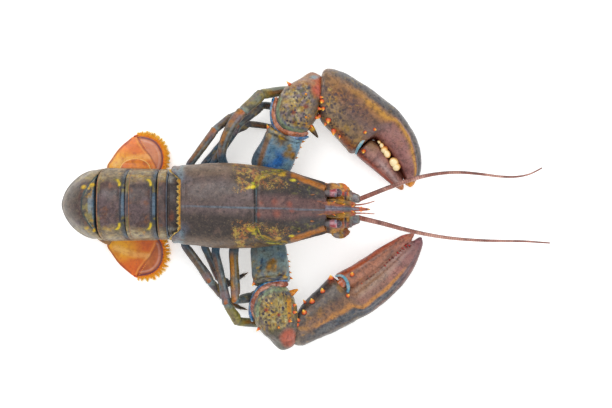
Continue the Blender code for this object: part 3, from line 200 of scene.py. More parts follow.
def plate(name, rings, shares):
    """A skin over rings of many points: the first ring is filled, then extruded to each next one."""
    sides = len(rings[0])
    bpy.ops.mesh.primitive_circle_add(vertices=sides, radius=10 * MM, fill_type="NGON")
    piece = settle(bpy.context.object, name)
    number = piece.data.attributes.new("number", "INT", "POINT")
    number.data.foreach_set("value", list(range(sides)))
    for vert, point in zip(piece.data.vertices, rings[0]):
        vert.co = Vector(point) * MM
    mark(piece.data, "share", [shares[0]] * sides)
    open_up(piece)
    for ring, share in zip(rings[1:], shares[1:]):
        bpy.ops.mesh.extrude_region_move(TRANSFORM_OT_translate={"value": (0, 0, 0)})
        number_ring(piece, share)
        work = bmesh.from_edit_mesh(piece.data)
        layer = work.verts.layers.int["number"]
        for vert in work.verts:
            if vert.select:
                vert.co = Vector(ring[vert[layer]]) * MM
        bmesh.update_edit_mesh(piece.data)
    close_up(piece)
    piece.data.attributes.remove(piece.data.attributes["number"])
    return refine(piece, 2)


def ball(name, segments, rings, radius=1.0, place=(0, 0, 0), stretch=(1, 1, 1), turned=(0, 0, 0)):
    """A sphere, stretched and then turned. Its radius and its place are in millimetres."""
    bpy.ops.mesh.primitive_uv_sphere_add(segments=segments, ring_count=rings, radius=radius * MM,
                                         location=[p * MM for p in place], rotation=turned, scale=stretch)
    return settle(bpy.context.object, name)


def copies(name, pattern, places):
    """Copies of one modelled shape, each at a place given as a matrix in millimetres, as one piece."""
    points = coords(pattern)
    count = len(points)
    faces = [tuple(p.vertices) for p in pattern.data.polygons]
    along = values(pattern, "along") if "along" in pattern.data.attributes else None
    verts, polys = [], []
    for k, place in enumerate(places):
        m = np.array(place)
        verts.append(points @ m[:3, :3].T + m[:3, 3])
        polys += [tuple(i + k * count for i in face) for face in faces]
    mesh = bpy.data.meshes.new(name)
    mesh.from_pydata((np.concatenate(verts) * MM).tolist(), [], polys)
    if along is not None:
        mark(mesh, "along", np.tile(along, len(places)))
    made = bpy.data.objects.new(name, mesh)
    bpy.context.scene.collection.objects.link(made)
    choose(made)
    bpy.ops.object.shade_smooth()
    return made


def sow(name, places, model, *settings):
    """Copies of a shape that is modelled for them and removed after them."""
    pattern = model(*settings)
    made = copies(name, pattern, places)
    bpy.data.objects.remove(pattern)
    return made


def coords(piece):
    """A piece's points in millimetres."""
    co = np.empty(len(piece.data.vertices) * 3)
    piece.data.vertices.foreach_get("co", co)
    return co.reshape(-1, 3) / MM


def shape(piece, points):
    piece.data.vertices.foreach_set("co", (points * MM).ravel())
    piece.data.update()


def outward(piece):
    way = np.empty(len(piece.data.vertices) * 3)
    piece.data.vertices.foreach_get("normal", way)
    return way.reshape(-1, 3)


def values(piece, name):
    found = np.empty(len(piece.data.vertices))
    piece.data.attributes[name].data.foreach_get("value", found)
    return found


def mark(mesh, name, amounts):
    layer = mesh.attributes.get(name) or mesh.attributes.new(name, "FLOAT", "POINT")
    layer.data.foreach_set("value", np.asarray(amounts, np.float32))


# Measures over a piece's points, for its relief and its colours.

def steps(value, low, high):
    """From 0 at low to 1 at high, eased at both ends."""
    t = np.clip((value - low) / (high - low), 0, 1)
    return t * t * (3 - 2 * t)


def band(value, low, high, soft):
    return steps(value, low - soft, low + soft) * fade(value, high - soft, high + soft)


HASH_FACTORS = (73856093, 19349663, 83492791)
HASH_MIX = 1274126177
HASH_MASK = 0x7FFFFFFF
HASH_STEPS = 10007
SEED_SHIFT = 17.3
OCTAVE_SHIFT = 5.1


def grain(at, size, seed=0, octaves=3):
    """Smooth noise from 0 to 1 whose largest features have a given size."""
    total = np.zeros(len(at))
    weight_sum = 0.0
    for octave in range(octaves):
        p = at / size * 2 ** octave + seed * SEED_SHIFT + octave * OCTAVE_SHIFT
        cell = np.floor(p).astype(np.int64)
        f = p - cell
        f = f * f * (3 - 2 * f)
        value = np.zeros(len(at))
        for corner in np.ndindex(2, 2, 2):
            code = 0
            for axis, step in enumerate(corner):
                code = code ^ (cell[:, axis] + step) * HASH_FACTORS[axis]
            code = (code ^ (code >> 13)) * HASH_MIX & HASH_MASK
            part = ((code ^ (code >> 16)) % HASH_STEPS) / HASH_STEPS
            for axis, step in enumerate(corner):
                part = part * (f[:, axis] if step else 1 - f[:, axis])
            value += part
        total += value * 0.5 ** octave
        weight_sum += 0.5 ** octave
    return total / weight_sum


def fade(value, low, high):
    """From 1 at low to 0 at high, eased at both ends."""
    return 1 - steps(value, low, high)


def ridge(value, centre, width):
    """A rounded ridge, 1 at its centre, that falls off over a width to both sides."""
    return np.exp(-((value - centre) / width) ** 2)


def ripple(at, size, seed, height):
    """Unevenness of a size, up and down by half a height."""
    return (grain(at, size, seed) - 0.5) * height


def line_distance(at, points):
    """Distance to a bent line through points, in as many axes as its points have."""
    points = np.array(points, float)
    flat = at[:, :points.shape[1]]
    best = np.full(len(at), 1e9)
    for a, b in zip(points, points[1:]):
        d = b - a
        t = np.clip(((flat - a) @ d) / (d @ d), 0, 1)
        best = np.minimum(best, np.linalg.norm(flat - (a + t[:, None] * d), axis=1))
    return best


def tint(code):
    """A colour written as red, green and blue from 0 to 255, made linear."""
    share = np.array(code, float) / 255
    return np.where(share <= 0.04045, share / 12.92, ((share + 0.055) / 1.055) ** 2.4)


PATCH_SPREAD = 0.62
SPOT_WOBBLE = 0.35
STROKE_WOBBLE = 0.3
STROKE_SOFT = 0.6
COLOUR_STRENGTH = 1.25


class Coat:
    """The colour of a piece, laid on in layers over its points, with how much it is flecked and dotted."""

    def __init__(self, piece, ground, fleck=0.0, dots=0.0, depth=0.8):
        self.piece = piece
        self.depth = depth
        self.at = coords(piece)
        self.out = outward(piece)
        count = len(self.at)
        self.tone = np.tile(tint(ground), (count, 1))
        self.share = values(piece, "share") if "share" in piece.data.attributes else None
        self.fleck = np.full(count, float(fleck))
        self.dots = np.full(count, float(dots))

    def lay(self, colour, amount):
        self.tone += (tint(colour) - self.tone) * np.clip(amount, 0, 1)[:, None]
        return self

    def patches(self, colour, size, share, seed, amount=1.0, soft=0.06):
        """Cloudy patches that cover about a share of the surface."""
        cloud = grain(self.at, size, seed, 4)
        edge = 0.5 + (0.5 - share) * PATCH_SPREAD
        return self.lay(colour, steps(cloud, edge - soft, edge + soft) * amount)

    def spot(self, colour, centre, radius, amount=1.0, soft=0.5, stretch=(1, 1, 1)):
        """A spot with an uneven edge, at a place given in two or three axes."""
        centre = np.array(centre, float)
        off = (self.at[:, :len(centre)] - centre) / np.array(stretch[:len(centre)])
        reach = np.linalg.norm(off, axis=1) + ripple(self.at, radius * 1.5 + 0.5, 3, radius) * SPOT_WOBBLE * 2
        return self.lay(colour, fade(reach, radius * (1 - soft), radius * (1 + soft * 0.4)) * amount)

    def stroke(self, colour, points, half_width, amount):
        """A line with uneven edges."""
        reach = line_distance(self.at, points)
        reach += ripple(self.at, 4.0, 5, half_width) * STROKE_WOBBLE * 2
        inner, outer = half_width * (1 - STROKE_SOFT), half_width * (1 + STROKE_SOFT * 0.5)
        return self.lay(colour, fade(reach, inner, outer) * amount)

    def dry(self):
        """Stores the coat on the mesh."""
        mesh = self.piece.data
        layer = mesh.attributes.get("tone") or mesh.attributes.new("tone", "FLOAT_COLOR", "POINT")
        full = np.ones((len(self.at), 4), np.float32)
        grey = self.tone.mean(axis=1, keepdims=True)
        full[:, :3] = np.clip(grey + (self.tone - grey) * COLOUR_STRENGTH, 0.0, 1.0) * self.depth
        layer.data.foreach_set("color", full.ravel())
        mark(mesh, "fleck", self.fleck)
        mark(mesh, "dots", self.dots)
        if self.share is not None:
            mesh.attributes.remove(mesh.attributes["share"])
        return self.piece


def mottled(piece, ground, *rows, **settings):
    """A piece with a plain coat: a ground colour with rows of patches on it."""
    c = Coat(piece, ground, **settings)
    for row in rows:
        c.patches(*row)
    return c.dry()


# Finishes.

PER_METRE = 1000.0
GLOW_REACH = (0.0016, 0.0008, 0.0005)


class Finish:
    """A material built node by node, around one Principled shader."""

    def __init__(self, name):
        self.material = bpy.data.materials.new(name)
        self.material.use_nodes = True
        self.tree = self.material.node_tree
        self.shader = self.tree.nodes["Principled BSDF"]
        self.place = self.node("ShaderNodeTexCoord").outputs["Object"]

    def node(self, kind, **settings):
        made = self.tree.nodes.new(kind)
        for key, value in settings.items():
            setattr(made, key, value)
        return made

    def set(self, socket, value):
        """Gives a socket a link or a plain value."""
        if isinstance(value, bpy.types.NodeSocket):
            self.tree.links.new(value, socket)
        else:
            socket.default_value = value

    def attribute(self, name, kind="Fac"):
        return self.node("ShaderNodeAttribute", attribute_name=name).outputs[kind]

    def noise(self, size, detail=3.0, rough=0.55, twist=0.0):
        """Noise whose features have a size in millimetres."""
        made = self.node("ShaderNodeTexNoise")
        self.set(made.inputs["Vector"], self.place)
        made.inputs["Scale"].default_value = PER_METRE / size
        made.inputs["Detail"].default_value = detail
        made.inputs["Roughness"].default_value = rough
        made.inputs["Distortion"].default_value = twist
        return made.outputs["Fac"]

    def cells(self, size):
        """Distance from the middles of cells, which are about a size in millimetres apart."""
        made = self.node("ShaderNodeTexVoronoi")
        self.set(made.inputs["Vector"], self.place)
        made.inputs["Scale"].default_value = PER_METRE / size
        return made.outputs["Distance"]

    def ease(self, value, low, high, to_low=0.0, to_high=1.0):
        made = self.node("ShaderNodeMapRange", interpolation_type="SMOOTHSTEP")
        self.set(made.inputs["Value"], value)
        for socket, number in zip(("From Min", "From Max", "To Min", "To Max"), (low, high, to_low, to_high)):
            self.set(made.inputs[socket], number)
        return made.outputs["Result"]

    def sum(self, operation, a, b=0.0):
        made = self.node("ShaderNodeMath", operation=operation)
        self.set(made.inputs[0], a)
        self.set(made.inputs[1], b)
        return made.outputs[0]

    def mix(self, share, a, b, blend="MIX"):
        made = self.node("ShaderNodeMix", data_type="RGBA", blend_type=blend)
        self.set(made.inputs["Factor"], share)
        self.set(made.inputs["A"], self.colour(a))
        self.set(made.inputs["B"], self.colour(b))
        return made.outputs["Result"]

    def colour(self, value):
        if isinstance(value, bpy.types.NodeSocket):
            return value
        return (*tint(value), 1.0)

    def veil(self, colour, mask, amount, over, blend):
        """A colour multiplied or screened with another where a mask is high."""
        return self.mix(self.sum("MULTIPLY", mask, amount), colour, self.mix(1.0, colour, over, blend))

    def shaken(self, value, size, detail, amount):
        """A value that noise moves up and down."""
        shift = self.sum("MULTIPLY", self.sum("SUBTRACT", self.noise(size, detail), 0.5), amount)
        return self.sum("ADD", value, shift)

    def dull(self, size, detail, low, high):
        """Roughness that varies between two values."""
        return self.ease(self.noise(size, detail), 0.3, 0.7, low, high)

    def bump(self, height, depth, strength=1.0, under=None):
        """Relief of a depth in millimetres."""
        made = self.node("ShaderNodeBump")
        made.inputs["Distance"].default_value = depth * MM
        made.inputs["Strength"].default_value = strength
        self.set(made.inputs["Height"], height)
        if under is not None:
            self.set(made.inputs["Normal"], under)
        return made.outputs["Normal"]

    def done(self, colour, roughness, normal=None, coat=0.0, coat_roughness=0.15, subsurface=0.0):
        self.set(self.shader.inputs["Base Color"], colour)
        self.set(self.shader.inputs["Roughness"], roughness)
        if normal is not None:
            self.set(self.shader.inputs["Normal"], normal)
        self.shader.inputs["Coat Weight"].default_value = coat
        self.shader.inputs["Coat Roughness"].default_value = coat_roughness
        if subsurface:
            self.shader.inputs["Subsurface Weight"].default_value = subsurface
            self.shader.inputs["Subsurface Radius"].default_value = GLOW_REACH
            self.shader.inputs["Subsurface Scale"].default_value = 1.0
        return self.material

ORANGE = (168, 98, 40)
YELLOW = (186, 152, 60)
DOT_PURPLE = (46, 32, 48)


def shell_finish(name, rough=(0.34, 0.54), coat=0.12, fleck_size=1.5, dot_size=3.0, pit=0.05, shadow=0.5,
                 warm=ORANGE, bright=YELLOW):
    """Chitin: the coat's colour, clouded and mottled, with bright flecks, dark dots and fine pits."""
    f = Finish(name)
    tone = f.attribute("tone", "Color")
    cloud = f.ease(f.noise(17, 5, 0.6), 0.3, 0.7, 0.0, 1.0)
    colour = f.veil(tone, cloud, 0.3, (150, 138, 150), "MULTIPLY")
    light = f.ease(f.noise(6.5, 4, 0.62, twist=0.4), 0.52, 0.72)
    colour = f.veil(colour, light, 0.22, (150, 112, 96), "SCREEN")
    dark = f.ease(f.noise(3.4, 5, 0.66, twist=0.5), 0.5, 0.36)
    colour = f.veil(colour, dark, shadow, (96, 84, 92), "MULTIPLY")
    flecks = f.sum("MULTIPLY", f.attribute("fleck"), f.ease(f.noise(7, 4, 0.6), 0.36, 0.6, 0.35, 1.15))
    field = f.noise(fleck_size, 4, 0.75, twist=1.2)
    limit = f.sum("SUBTRACT", 0.74, f.sum("MULTIPLY", flecks, 0.24))
    seen = f.ease(field, limit, f.sum("ADD", limit, 0.09))
    seen = f.sum("MULTIPLY", seen, f.ease(flecks, 0.02, 0.2))
    hue = f.ease(f.noise(3.4, 3), 0.4, 0.6)
    colour = f.mix(f.sum("MULTIPLY", seen, 0.75), colour, f.mix(hue, warm, bright))
    net = f.ease(f.noise(fleck_size * 1.4, 3, 0.6, twist=1.0), 0.46, 0.36)
    colour = f.mix(f.sum("MULTIPLY", f.sum("MULTIPLY", net, flecks), 0.6), colour, (40, 34, 32))
    fine = f.noise(1.5, 4, 0.7, twist=0.5)
    colour = f.veil(colour, f.ease(fine, 0.5, 0.34), 0.5, (120, 104, 100), "MULTIPLY")
    colour = f.veil(colour, f.ease(fine, 0.54, 0.7), 0.32, (120, 104, 70), "SCREEN")
    dots = f.attribute("dots")
    field = f.cells(dot_size)
    grow = f.ease(f.noise(1.6, 2), 0.3, 0.7, 0.6, 1.2)
    dotted = f.ease(f.sum("MULTIPLY", field, grow), 0.4, 0.27)
    dotted = f.sum("MULTIPLY", dotted, f.sum("MULTIPLY", dots, f.ease(f.noise(3.6, 3), 0.4, 0.56, 0.25, 1.0)))
    colour = f.mix(dotted, colour, DOT_PURPLE)
    specks = f.ease(f.noise(0.8, 2), 0.62, 0.72)
    colour = f.mix(f.sum("MULTIPLY", specks, 0.18), colour, (170, 150, 130))
    pits = f.ease(f.cells(1.5), 0.1, 0.42)
    skin = f.noise(0.7, 3, 0.6)
    swell = f.noise(5.0, 3)
    height = f.sum("ADD", f.sum("MULTIPLY", pits, 0.7), f.sum("MULTIPLY", skin, 0.35))
    normal = f.bump(height, pit, 0.7, f.bump(swell, 0.3, 0.35))
    return f.done(colour, f.dull(4.5, 4, *rough), normal, coat, 0.22)


def spine_finish():
    """Spines: red-orange at the root, orange, then a yellow tip, by the share along each."""
    f = Finish("spine_finish")
    wave = f.shaken(f.attribute("along"), 2.2, 3, 0.5)
    colour = f.mix(f.ease(wave, 0.0, 0.35), (140, 50, 30), (206, 74, 30))
    colour = f.mix(f.ease(wave, 0.3, 0.6), colour, (238, 132, 34))
    colour = f.mix(f.ease(wave, 0.62, 0.9), colour, (252, 206, 70))
    normal = f.bump(f.noise(0.9, 3), 0.12, 0.5)
    return f.done(colour, f.dull(2.0, 3, 0.26, 0.44), normal, 0.25, 0.15)


def tooth_finish():
    """Molars: warm ivory, orange at the root."""
    f = Finish("tooth_finish")
    wave = f.shaken(f.attribute("along"), 2.6, 3, 0.4)
    colour = f.mix(f.ease(wave, 0.05, 0.5), (206, 112, 48), (246, 196, 116))
    colour = f.mix(f.ease(wave, 0.6, 1.0), colour, (253, 230, 178))
    normal = f.bump(f.noise(1.4, 3), 0.15, 0.5)
    return f.done(colour, f.dull(2.0, 3, 0.22, 0.4), normal, 0.3, 0.12, 0.1)


def fan_finish():
    """Blades of the tail fan: thin, veined and half clear, in the colours of their coat."""
    f = Finish("fan_finish")
    tone = f.attribute("tone", "Color")
    cloud = f.noise(6.0, 5, 0.62, twist=0.3)
    colour = f.veil(tone, f.ease(cloud, 0.45, 0.7), 0.3, (150, 96, 30), "SCREEN")
    colour = f.veil(colour, f.ease(f.noise(2.6, 5, 0.65), 0.5, 0.32), 0.5, (214, 140, 96), "MULTIPLY")
    veins = f.ease(f.noise(1.3, 4, 0.6), 0.58, 0.66)
    colour = f.mix(f.sum("MULTIPLY", veins, 0.3), colour, (150, 64, 44))
    normal = f.bump(f.noise(1.5, 4), 0.12, 0.6, f.bump(f.noise(5.0, 3), 0.3, 0.4))
    return f.done(colour, f.dull(3.5, 3, 0.34, 0.52), normal, 0.15, 0.2, 0.15)


def hair_finish(name, root, middle, tip):
    """Setae: one colour at the root that pales to the tip."""
    f = Finish(name)
    wave = f.shaken(f.attribute("along"), 2.4, 2, 0.7)
    colour = f.mix(f.ease(wave, 0.0, 0.45), root, middle)
    colour = f.mix(f.ease(wave, 0.5, 1.0), colour, tip)
    normal = f.bump(f.noise(0.6, 2), 0.05, 0.4)
    return f.done(colour, f.dull(3.0, 2, 0.5, 0.68), normal, 0.0, 0.2, 0.1)


def feeler_finish():
    """Antennae: reddish brown, darker above with the painted shade of their coat, with a fine ring at each
    joint.
    """
    f = Finish("feeler_finish")
    tone = f.attribute("tone", "Color")
    rings = f.attribute("rings")
    colour = f.veil(tone, f.ease(f.noise(7.0, 4), 0.4, 0.65), 0.4, (206, 150, 138), "SCREEN")
    colour = f.mix(f.sum("MULTIPLY", rings, 0.55), colour, (74, 34, 30))
    normal = f.bump(f.noise(0.7, 3), 0.08, 0.6)
    return f.done(colour, f.dull(3.0, 3, 0.36, 0.56), normal, 0.1, 0.2)


def cornea_finish():
    """Eyes: almost black with a pinkish painted reflection, the fine lattice of a compound eye and a wet
    gloss.
    """
    f = Finish("cornea_finish")
    lattice = f.cells(0.32)
    # Painted reflection: pinkish patches mixed into the dark eye.
    painted_reflection = f.ease(f.noise(2.2, 3), 0.4, 0.66)
    colour = f.mix(f.sum("MULTIPLY", painted_reflection, 0.8), (20, 20, 38), (104, 64, 80))
    colour = f.mix(f.sum("MULTIPLY", f.ease(lattice, 0.35, 0.6), 0.4), colour, (8, 8, 12))
    normal = f.bump(lattice, 0.03, 0.5)
    return f.done(colour, f.dull(1.6, 2, 0.1, 0.2), normal, 0.6, 0.06)


def skin_finish(name):
    """Soft membranes of the joints: smooth, folded and a little moist, in the colours of their coat."""
    f = Finish(name)
    tone = f.attribute("tone", "Color")
    colour = f.veil(tone, f.ease(f.noise(3.0, 5, 0.6, twist=0.4), 0.42, 0.66), 0.5, (180, 160, 150), "SCREEN")
    colour = f.veil(colour, f.ease(f.noise(1.2, 4), 0.5, 0.34), 0.45, (140, 100, 100), "MULTIPLY")
    normal = f.bump(f.noise(0.8, 4), 0.12, 0.6, f.bump(f.noise(2.6, 3), 0.3, 0.4))
    return f.done(colour, f.dull(2.4, 3, 0.24, 0.42), normal, 0.3, 0.14, 0.1)


SHELL = shell_finish("shell_finish", fleck_size=1.15)
TAIL = shell_finish("tail_finish", fleck_size=1.7, shadow=0.45)
CLAW = shell_finish("claw_finish", rough=(0.3, 0.5), coat=0.16, fleck_size=2.4, dot_size=2.4, pit=0.06)
WRIST = shell_finish("wrist_finish", rough=(0.32, 0.52), fleck_size=2.0, dot_size=2.3, shadow=0.4)
LIMB = shell_finish("limb_finish", rough=(0.34, 0.54), fleck_size=1.8, dot_size=2.6, pit=0.04)
HEAD = shell_finish("head_finish", rough=(0.3, 0.5), coat=0.2, fleck_size=1.5, dot_size=2.0, pit=0.04,
                    warm=(178, 74, 44), bright=(206, 160, 76))
BELLY = shell_finish("belly_finish", rough=(0.36, 0.56), fleck_size=2.6, shadow=0.35)
SPINE = spine_finish()
TOOTH = tooth_finish()
FAN = fan_finish()
FRINGE = hair_finish("fringe_finish", (250, 118, 12), (255, 166, 20), (255, 212, 80))
SETAE = hair_finish("setae_finish", (226, 132, 40), (252, 186, 62), (255, 222, 130))
BRISTLE = hair_finish("bristle_finish", (96, 70, 44), (140, 104, 60), (180, 150, 96))
FEELER = feeler_finish()
CORNEA = cornea_finish()
MEMBRANE = skin_finish("membrane_finish")


def wear(piece, finish, slot, *nodes):
    """Gives a finished piece its material and its place in the frame, and hides the parts of the nodes that
    it stands for.
    """
    piece.data.materials.clear()
    piece.data.materials.append(finish)
    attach(piece, "root")
    if nodes:
        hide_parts(*nodes)
    return piece


# Carapace, rostrum and tail. Sizes repeat those of the solids.

CARAPACE_REAR = -78.4
STRIPE_SHIFT = -1.1
CARAPACE_FRONT = 13.0
BODY_YAW_SLOPE = -0.026
TAIL_MIDLINE_Y = 3.5
RECESS_HEIGHT = 21.0
SHELL_RIM = 3.2
ARCH_STEPS = 28
CARAPACE_RINGS = (
    # x, half width, height of the back, of the widest line and of the lower edge, fullness
    (CARAPACE_REAR, 21.8, 49.2, 33.0, 21.6, 2.1), (-77.2, 23.4, 51.4, 33.0, 19.3, 2.1),
    (-74.0, 24.6, 52.6, 33.5, 18.2, 2.1), (-68.0, 25.7, 53.8, 34.0, 17.6, 2.15),
    (-60.0, 26.6, 54.8, 34.0, 17.2, 2.2),
    (-50.0, 27.0, 55.6, 34.0, 17.2, 2.25), (-42.0, 26.8, 55.9, 34.0, 17.4, 2.25),
    (-36.0, 26.4, 55.9, 34.0, 17.6, 2.25),
    (-32.0, 26.0, 55.8, 34.0, 17.8, 2.25), (-28.0, 25.6, 55.8, 34.0, 18.0, 2.25),
    (-20.0, 24.4, 55.4, 34.0, 18.2, 2.25),
    (-12.0, 22.9, 54.6, 34.0, 18.4, 2.2), (-4.0, 20.8, 53.2, 34.5, 18.6, 2.2),
    (4.0, 18.3, 51.2, 34.5, 19.0, 2.2),
    (9.5, 16.8, 49.6, 35.0, 20.0, 2.2), (CARAPACE_FRONT, 15.4, 48.4, 35.0, 21.4, 2.2),
)


def midline(x):
    return TAIL_MIDLINE_Y + BODY_YAW_SLOPE * np.maximum(0.0, x - CARAPACE_REAR)


def flow(rows, spans):
    """Rows of sizes drawn out into smooth runs, with a number of steps to each span."""
    rows = np.array(rows, float)
    made = []
    for i in range(len(rows) - 1):
        before, a, b, after = rows[max(i - 1, 0)], rows[i], rows[i + 1], rows[min(i + 2, len(rows) - 1)]
        for k in range(spans):
            t = k / spans
            made.append(0.5 * (2 * a + (b - before) * t + (2 * before - 5 * a + 4 * b - after) * t * t
                               + (3 * a - before - 3 * b + after) * t ** 3))
    made.append(rows[-1])
    return made


def carapace_ring(x, half_width, top, wide, low, fullness):
    y = midline(x)
    points = []
    for k in range(ARCH_STEPS + 1):
        a = math.pi * (0.5 - k / ARCH_STEPS)
        across = rounded(math.sin(a), fullness) * half_width
        points.append((x, y + across, wide + rounded(max(0.0, math.cos(a)), fullness) * (top - wide)))
    rim = half_width * 0.9
    recess = min(RECESS_HEIGHT + 0.4, wide - 6)
    lower = ((0.992, wide + (low - wide) * 0.3), (0.975, wide + (low - wide) * 0.65), (0.93, low + 0.5),
             (0.88, low))
    points += [(x, y - half_width * share, z) for share, z in lower]
    points += [(x, y - rim + SHELL_RIM, recess), (x, y, recess), (x, y + rim - SHELL_RIM, recess)]
    points += [(x, y + half_width * share, z) for share, z in reversed(lower)]
    return points


def back_height(x, off):
    """Height of the shield's back at a place, by the sizes of its rings."""
    half_width, top, wide, _, fullness = (float(np.interp(x, [r[0] for r in CARAPACE_RINGS],
                                                          [r[n] for r in CARAPACE_RINGS]))
                                          for n in range(1, 6))
    share = min(1.0, off / half_width)
    return wide + (top - wide) * (1 - share ** fullness) ** (1 / fullness)


# The cervical groove: across the back by x and distance from the midline, then down the flank with a height.
GROOVE_ACROSS = ((-31.2, 0.0), (-31.2, 6.0), (-31.2, 12.0), (-31.0, 14.8), (-30.0, 17.5), (-28.0, 19.8),
                 (-25.0, 21.4),
                 (-20.5, 22.2), (-16.6, 22.3))
GROOVE = tuple((x, off, back_height(x, off)) for x, off in GROOVE_ACROSS) + (
    (-12.0, 22.6, 35.0), (-8.0, 22.0, 29.0), (-3.0, 20.8, 23.0))
SIDE_LINE = ((-76.0, 17.0, 45.0), (-60.0, 18.6, 46.0), (-46.0, 18.4, 46.4), (-36.0, 17.4, 47.6))
HEAD_RIDGE = ((-12.0, 12.6, 52.0), (-2.0, 10.6, 51.6), (8.0, 7.6, 49.8), (CARAPACE_FRONT, 5.0, 48.4))
CHEEK_RIDGE = ((-9.0, 20.6, 38.0), (2.0, 18.0, 38.0), (CARAPACE_FRONT, 14.8, 38.0))


def mirrored(at):
    """Places with the distance from the midline in the place of y."""
    flat = at.copy()
    flat[:, 1] = np.abs(at[:, 1] - midline(at[:, 0]))
    return flat


def model_carapace():
    """The shield: a swept arch with its relief, its eye sockets, its spines and its coat."""
    rows = flow(CARAPACE_RINGS, 2)
    shield = plate("carapace_shell", [carapace_ring(*row) for row in rows], [row[0] for row in rows])
    carve_carapace(shield)
    for hand in (LEFT, RIGHT):
        cut_socket(shield, hand)
    thorns = grow_carapace_spines()
    wear(coat_carapace(shield), SHELL, "shell", "carapace")
    wear(mottled(thorns, (164, 104, 56), ((98, 66, 48), 1.5, 0.4, 3, 0.6)), HEAD, "shell")


def carve_carapace(shield):
    """Cuts the grooves in, raises the ridges and the rear margin, and draws the rear corners back."""
    at, out = coords(shield), outward(shield)
    flat = mirrored(at)
    side = np.sign(at[:, 1] - midline(at[:, 0]))
    upper = steps(at[:, 2], 22.0, 27.0)
    lift = -0.9 * ridge(line_distance(flat, GROOVE), 0, 0.6)
    lift += 0.5 * ridge(line_distance(flat, GROOVE), 2.4, 1.4) * (at[:, 0] > -40)
    lift -= 0.22 * ridge(at[:, 1] - midline(at[:, 0]), STRIPE_SHIFT, 0.42) * steps(at[:, 2], 45, 47)
    lift += 0.5 * ridge(line_distance(flat, HEAD_RIDGE), 0, 1.5)
    lift -= 0.5 * ridge(line_distance(flat, HEAD_RIDGE), 3.4, 1.6) * steps(at[:, 0], -6, 6)
    lift += 0.55 * ridge(line_distance(flat, CHEEK_RIDGE), 0, 1.3)
    lift -= 0.25 * ridge(line_distance(flat, SIDE_LINE), 0, 0.8)
    behind = at[:, 0] - CARAPACE_REAR
    lift += 0.35 * band(behind, 0.3, 2.0, 0.3) - 0.4 * ridge(behind, 3.0, 0.8)
    lift -= 0.45 * ridge(flat[:, 2], 21.6, 0.7) * band(at[:, 0], -74, 4, 3)
    lift += ripple(at, 7.0, 1, 0.5) * band(at[:, 0], -76, 12, 3)
    lift += ripple(at, 2.2, 2, 0.16)
    at = at + out * (lift * upper)[:, None]
    corner = steps(flat[:, 1], 15.0, 20.5) * steps(at[:, 2], 26, 32) * fade(at[:, 0], CARAPACE_REAR, -68.0)
    at[:, 0] -= 6.2 * corner
    at[:, 1] += side * 0.7 * corner
    shape(shield, at)


def grow_carapace_spines():
    """Three spines on each side: beside the rostrum, under the eye and behind it."""
    places = []
    for hand in (LEFT, RIGHT):
        y = midline(5)
        places += [spine_place((3.4, y + hand * 8.2, 50.0), (1, hand * 0.12, 0.3), 2.4, 0.8),
                   spine_place((9.6, midline(9) + hand * 15.2, 38.4), (1, hand * 0.02, 0.0), 5.0, 1.3),
                   spine_place((-4.5, midline(-4) + hand * 15.0, 50.2), (1, hand * 0.1, 0.3), 1.4, 0.7)]
    return sow("carapace_spines", places, model_spine)


CHEEK_STRIPE = ((-8, 20.2), (0, 17.0), (8, 14.0), (13.4, 12.2))
GROOVE_FLANK = ((-30, 17.4), (-22, 21.2), (-13, 22.6))
# Lines beside the groove near the middle: a painted shadow behind it and a painted highlight in front of it.
GROOVE_SHADOW = ((-31.9, 2.0), (-32.2, 11.0))
GROOVE_HIGHLIGHT = ((-30.7, 0.0), (-30.9, 12.0))
FLECK_SPOTS = (
    # place seen from above, radius, colour
    ((-33.8, 14.6), 1.7, (248, 222, 60)), ((-34.2, -12.0), 1.8, (250, 216, 40)),
    ((-36.4, 13.6), 0.9, (236, 200, 60)), ((-32.4, -14.6), 1.1, (206, 190, 60)),
    ((-32.6, 16.8), 0.9, (190, 196, 70)), ((-8.2, 18.6), 1.2, (250, 228, 30)),
    ((-9.2, -16.2), 1.2, (240, 214, 60)), ((-27.0, 20.4), 0.9, (220, 190, 60)),
    ((-15.0, 22.0), 1.6, (206, 168, 66)), ((-17.0, -17.6), 1.4, (200, 160, 66)),
)
RED_SPOTS = (
    # place seen from above, radius
    ((-19.6, 5.0), 1.9), ((-18.0, -2.2), 2.0), ((-29.5, -2.8), 1.5), ((-10.2, 3.6), 1.6), ((-8.8, 0.0), 1.4),
    ((-28.0, 4.4), 1.3),
)


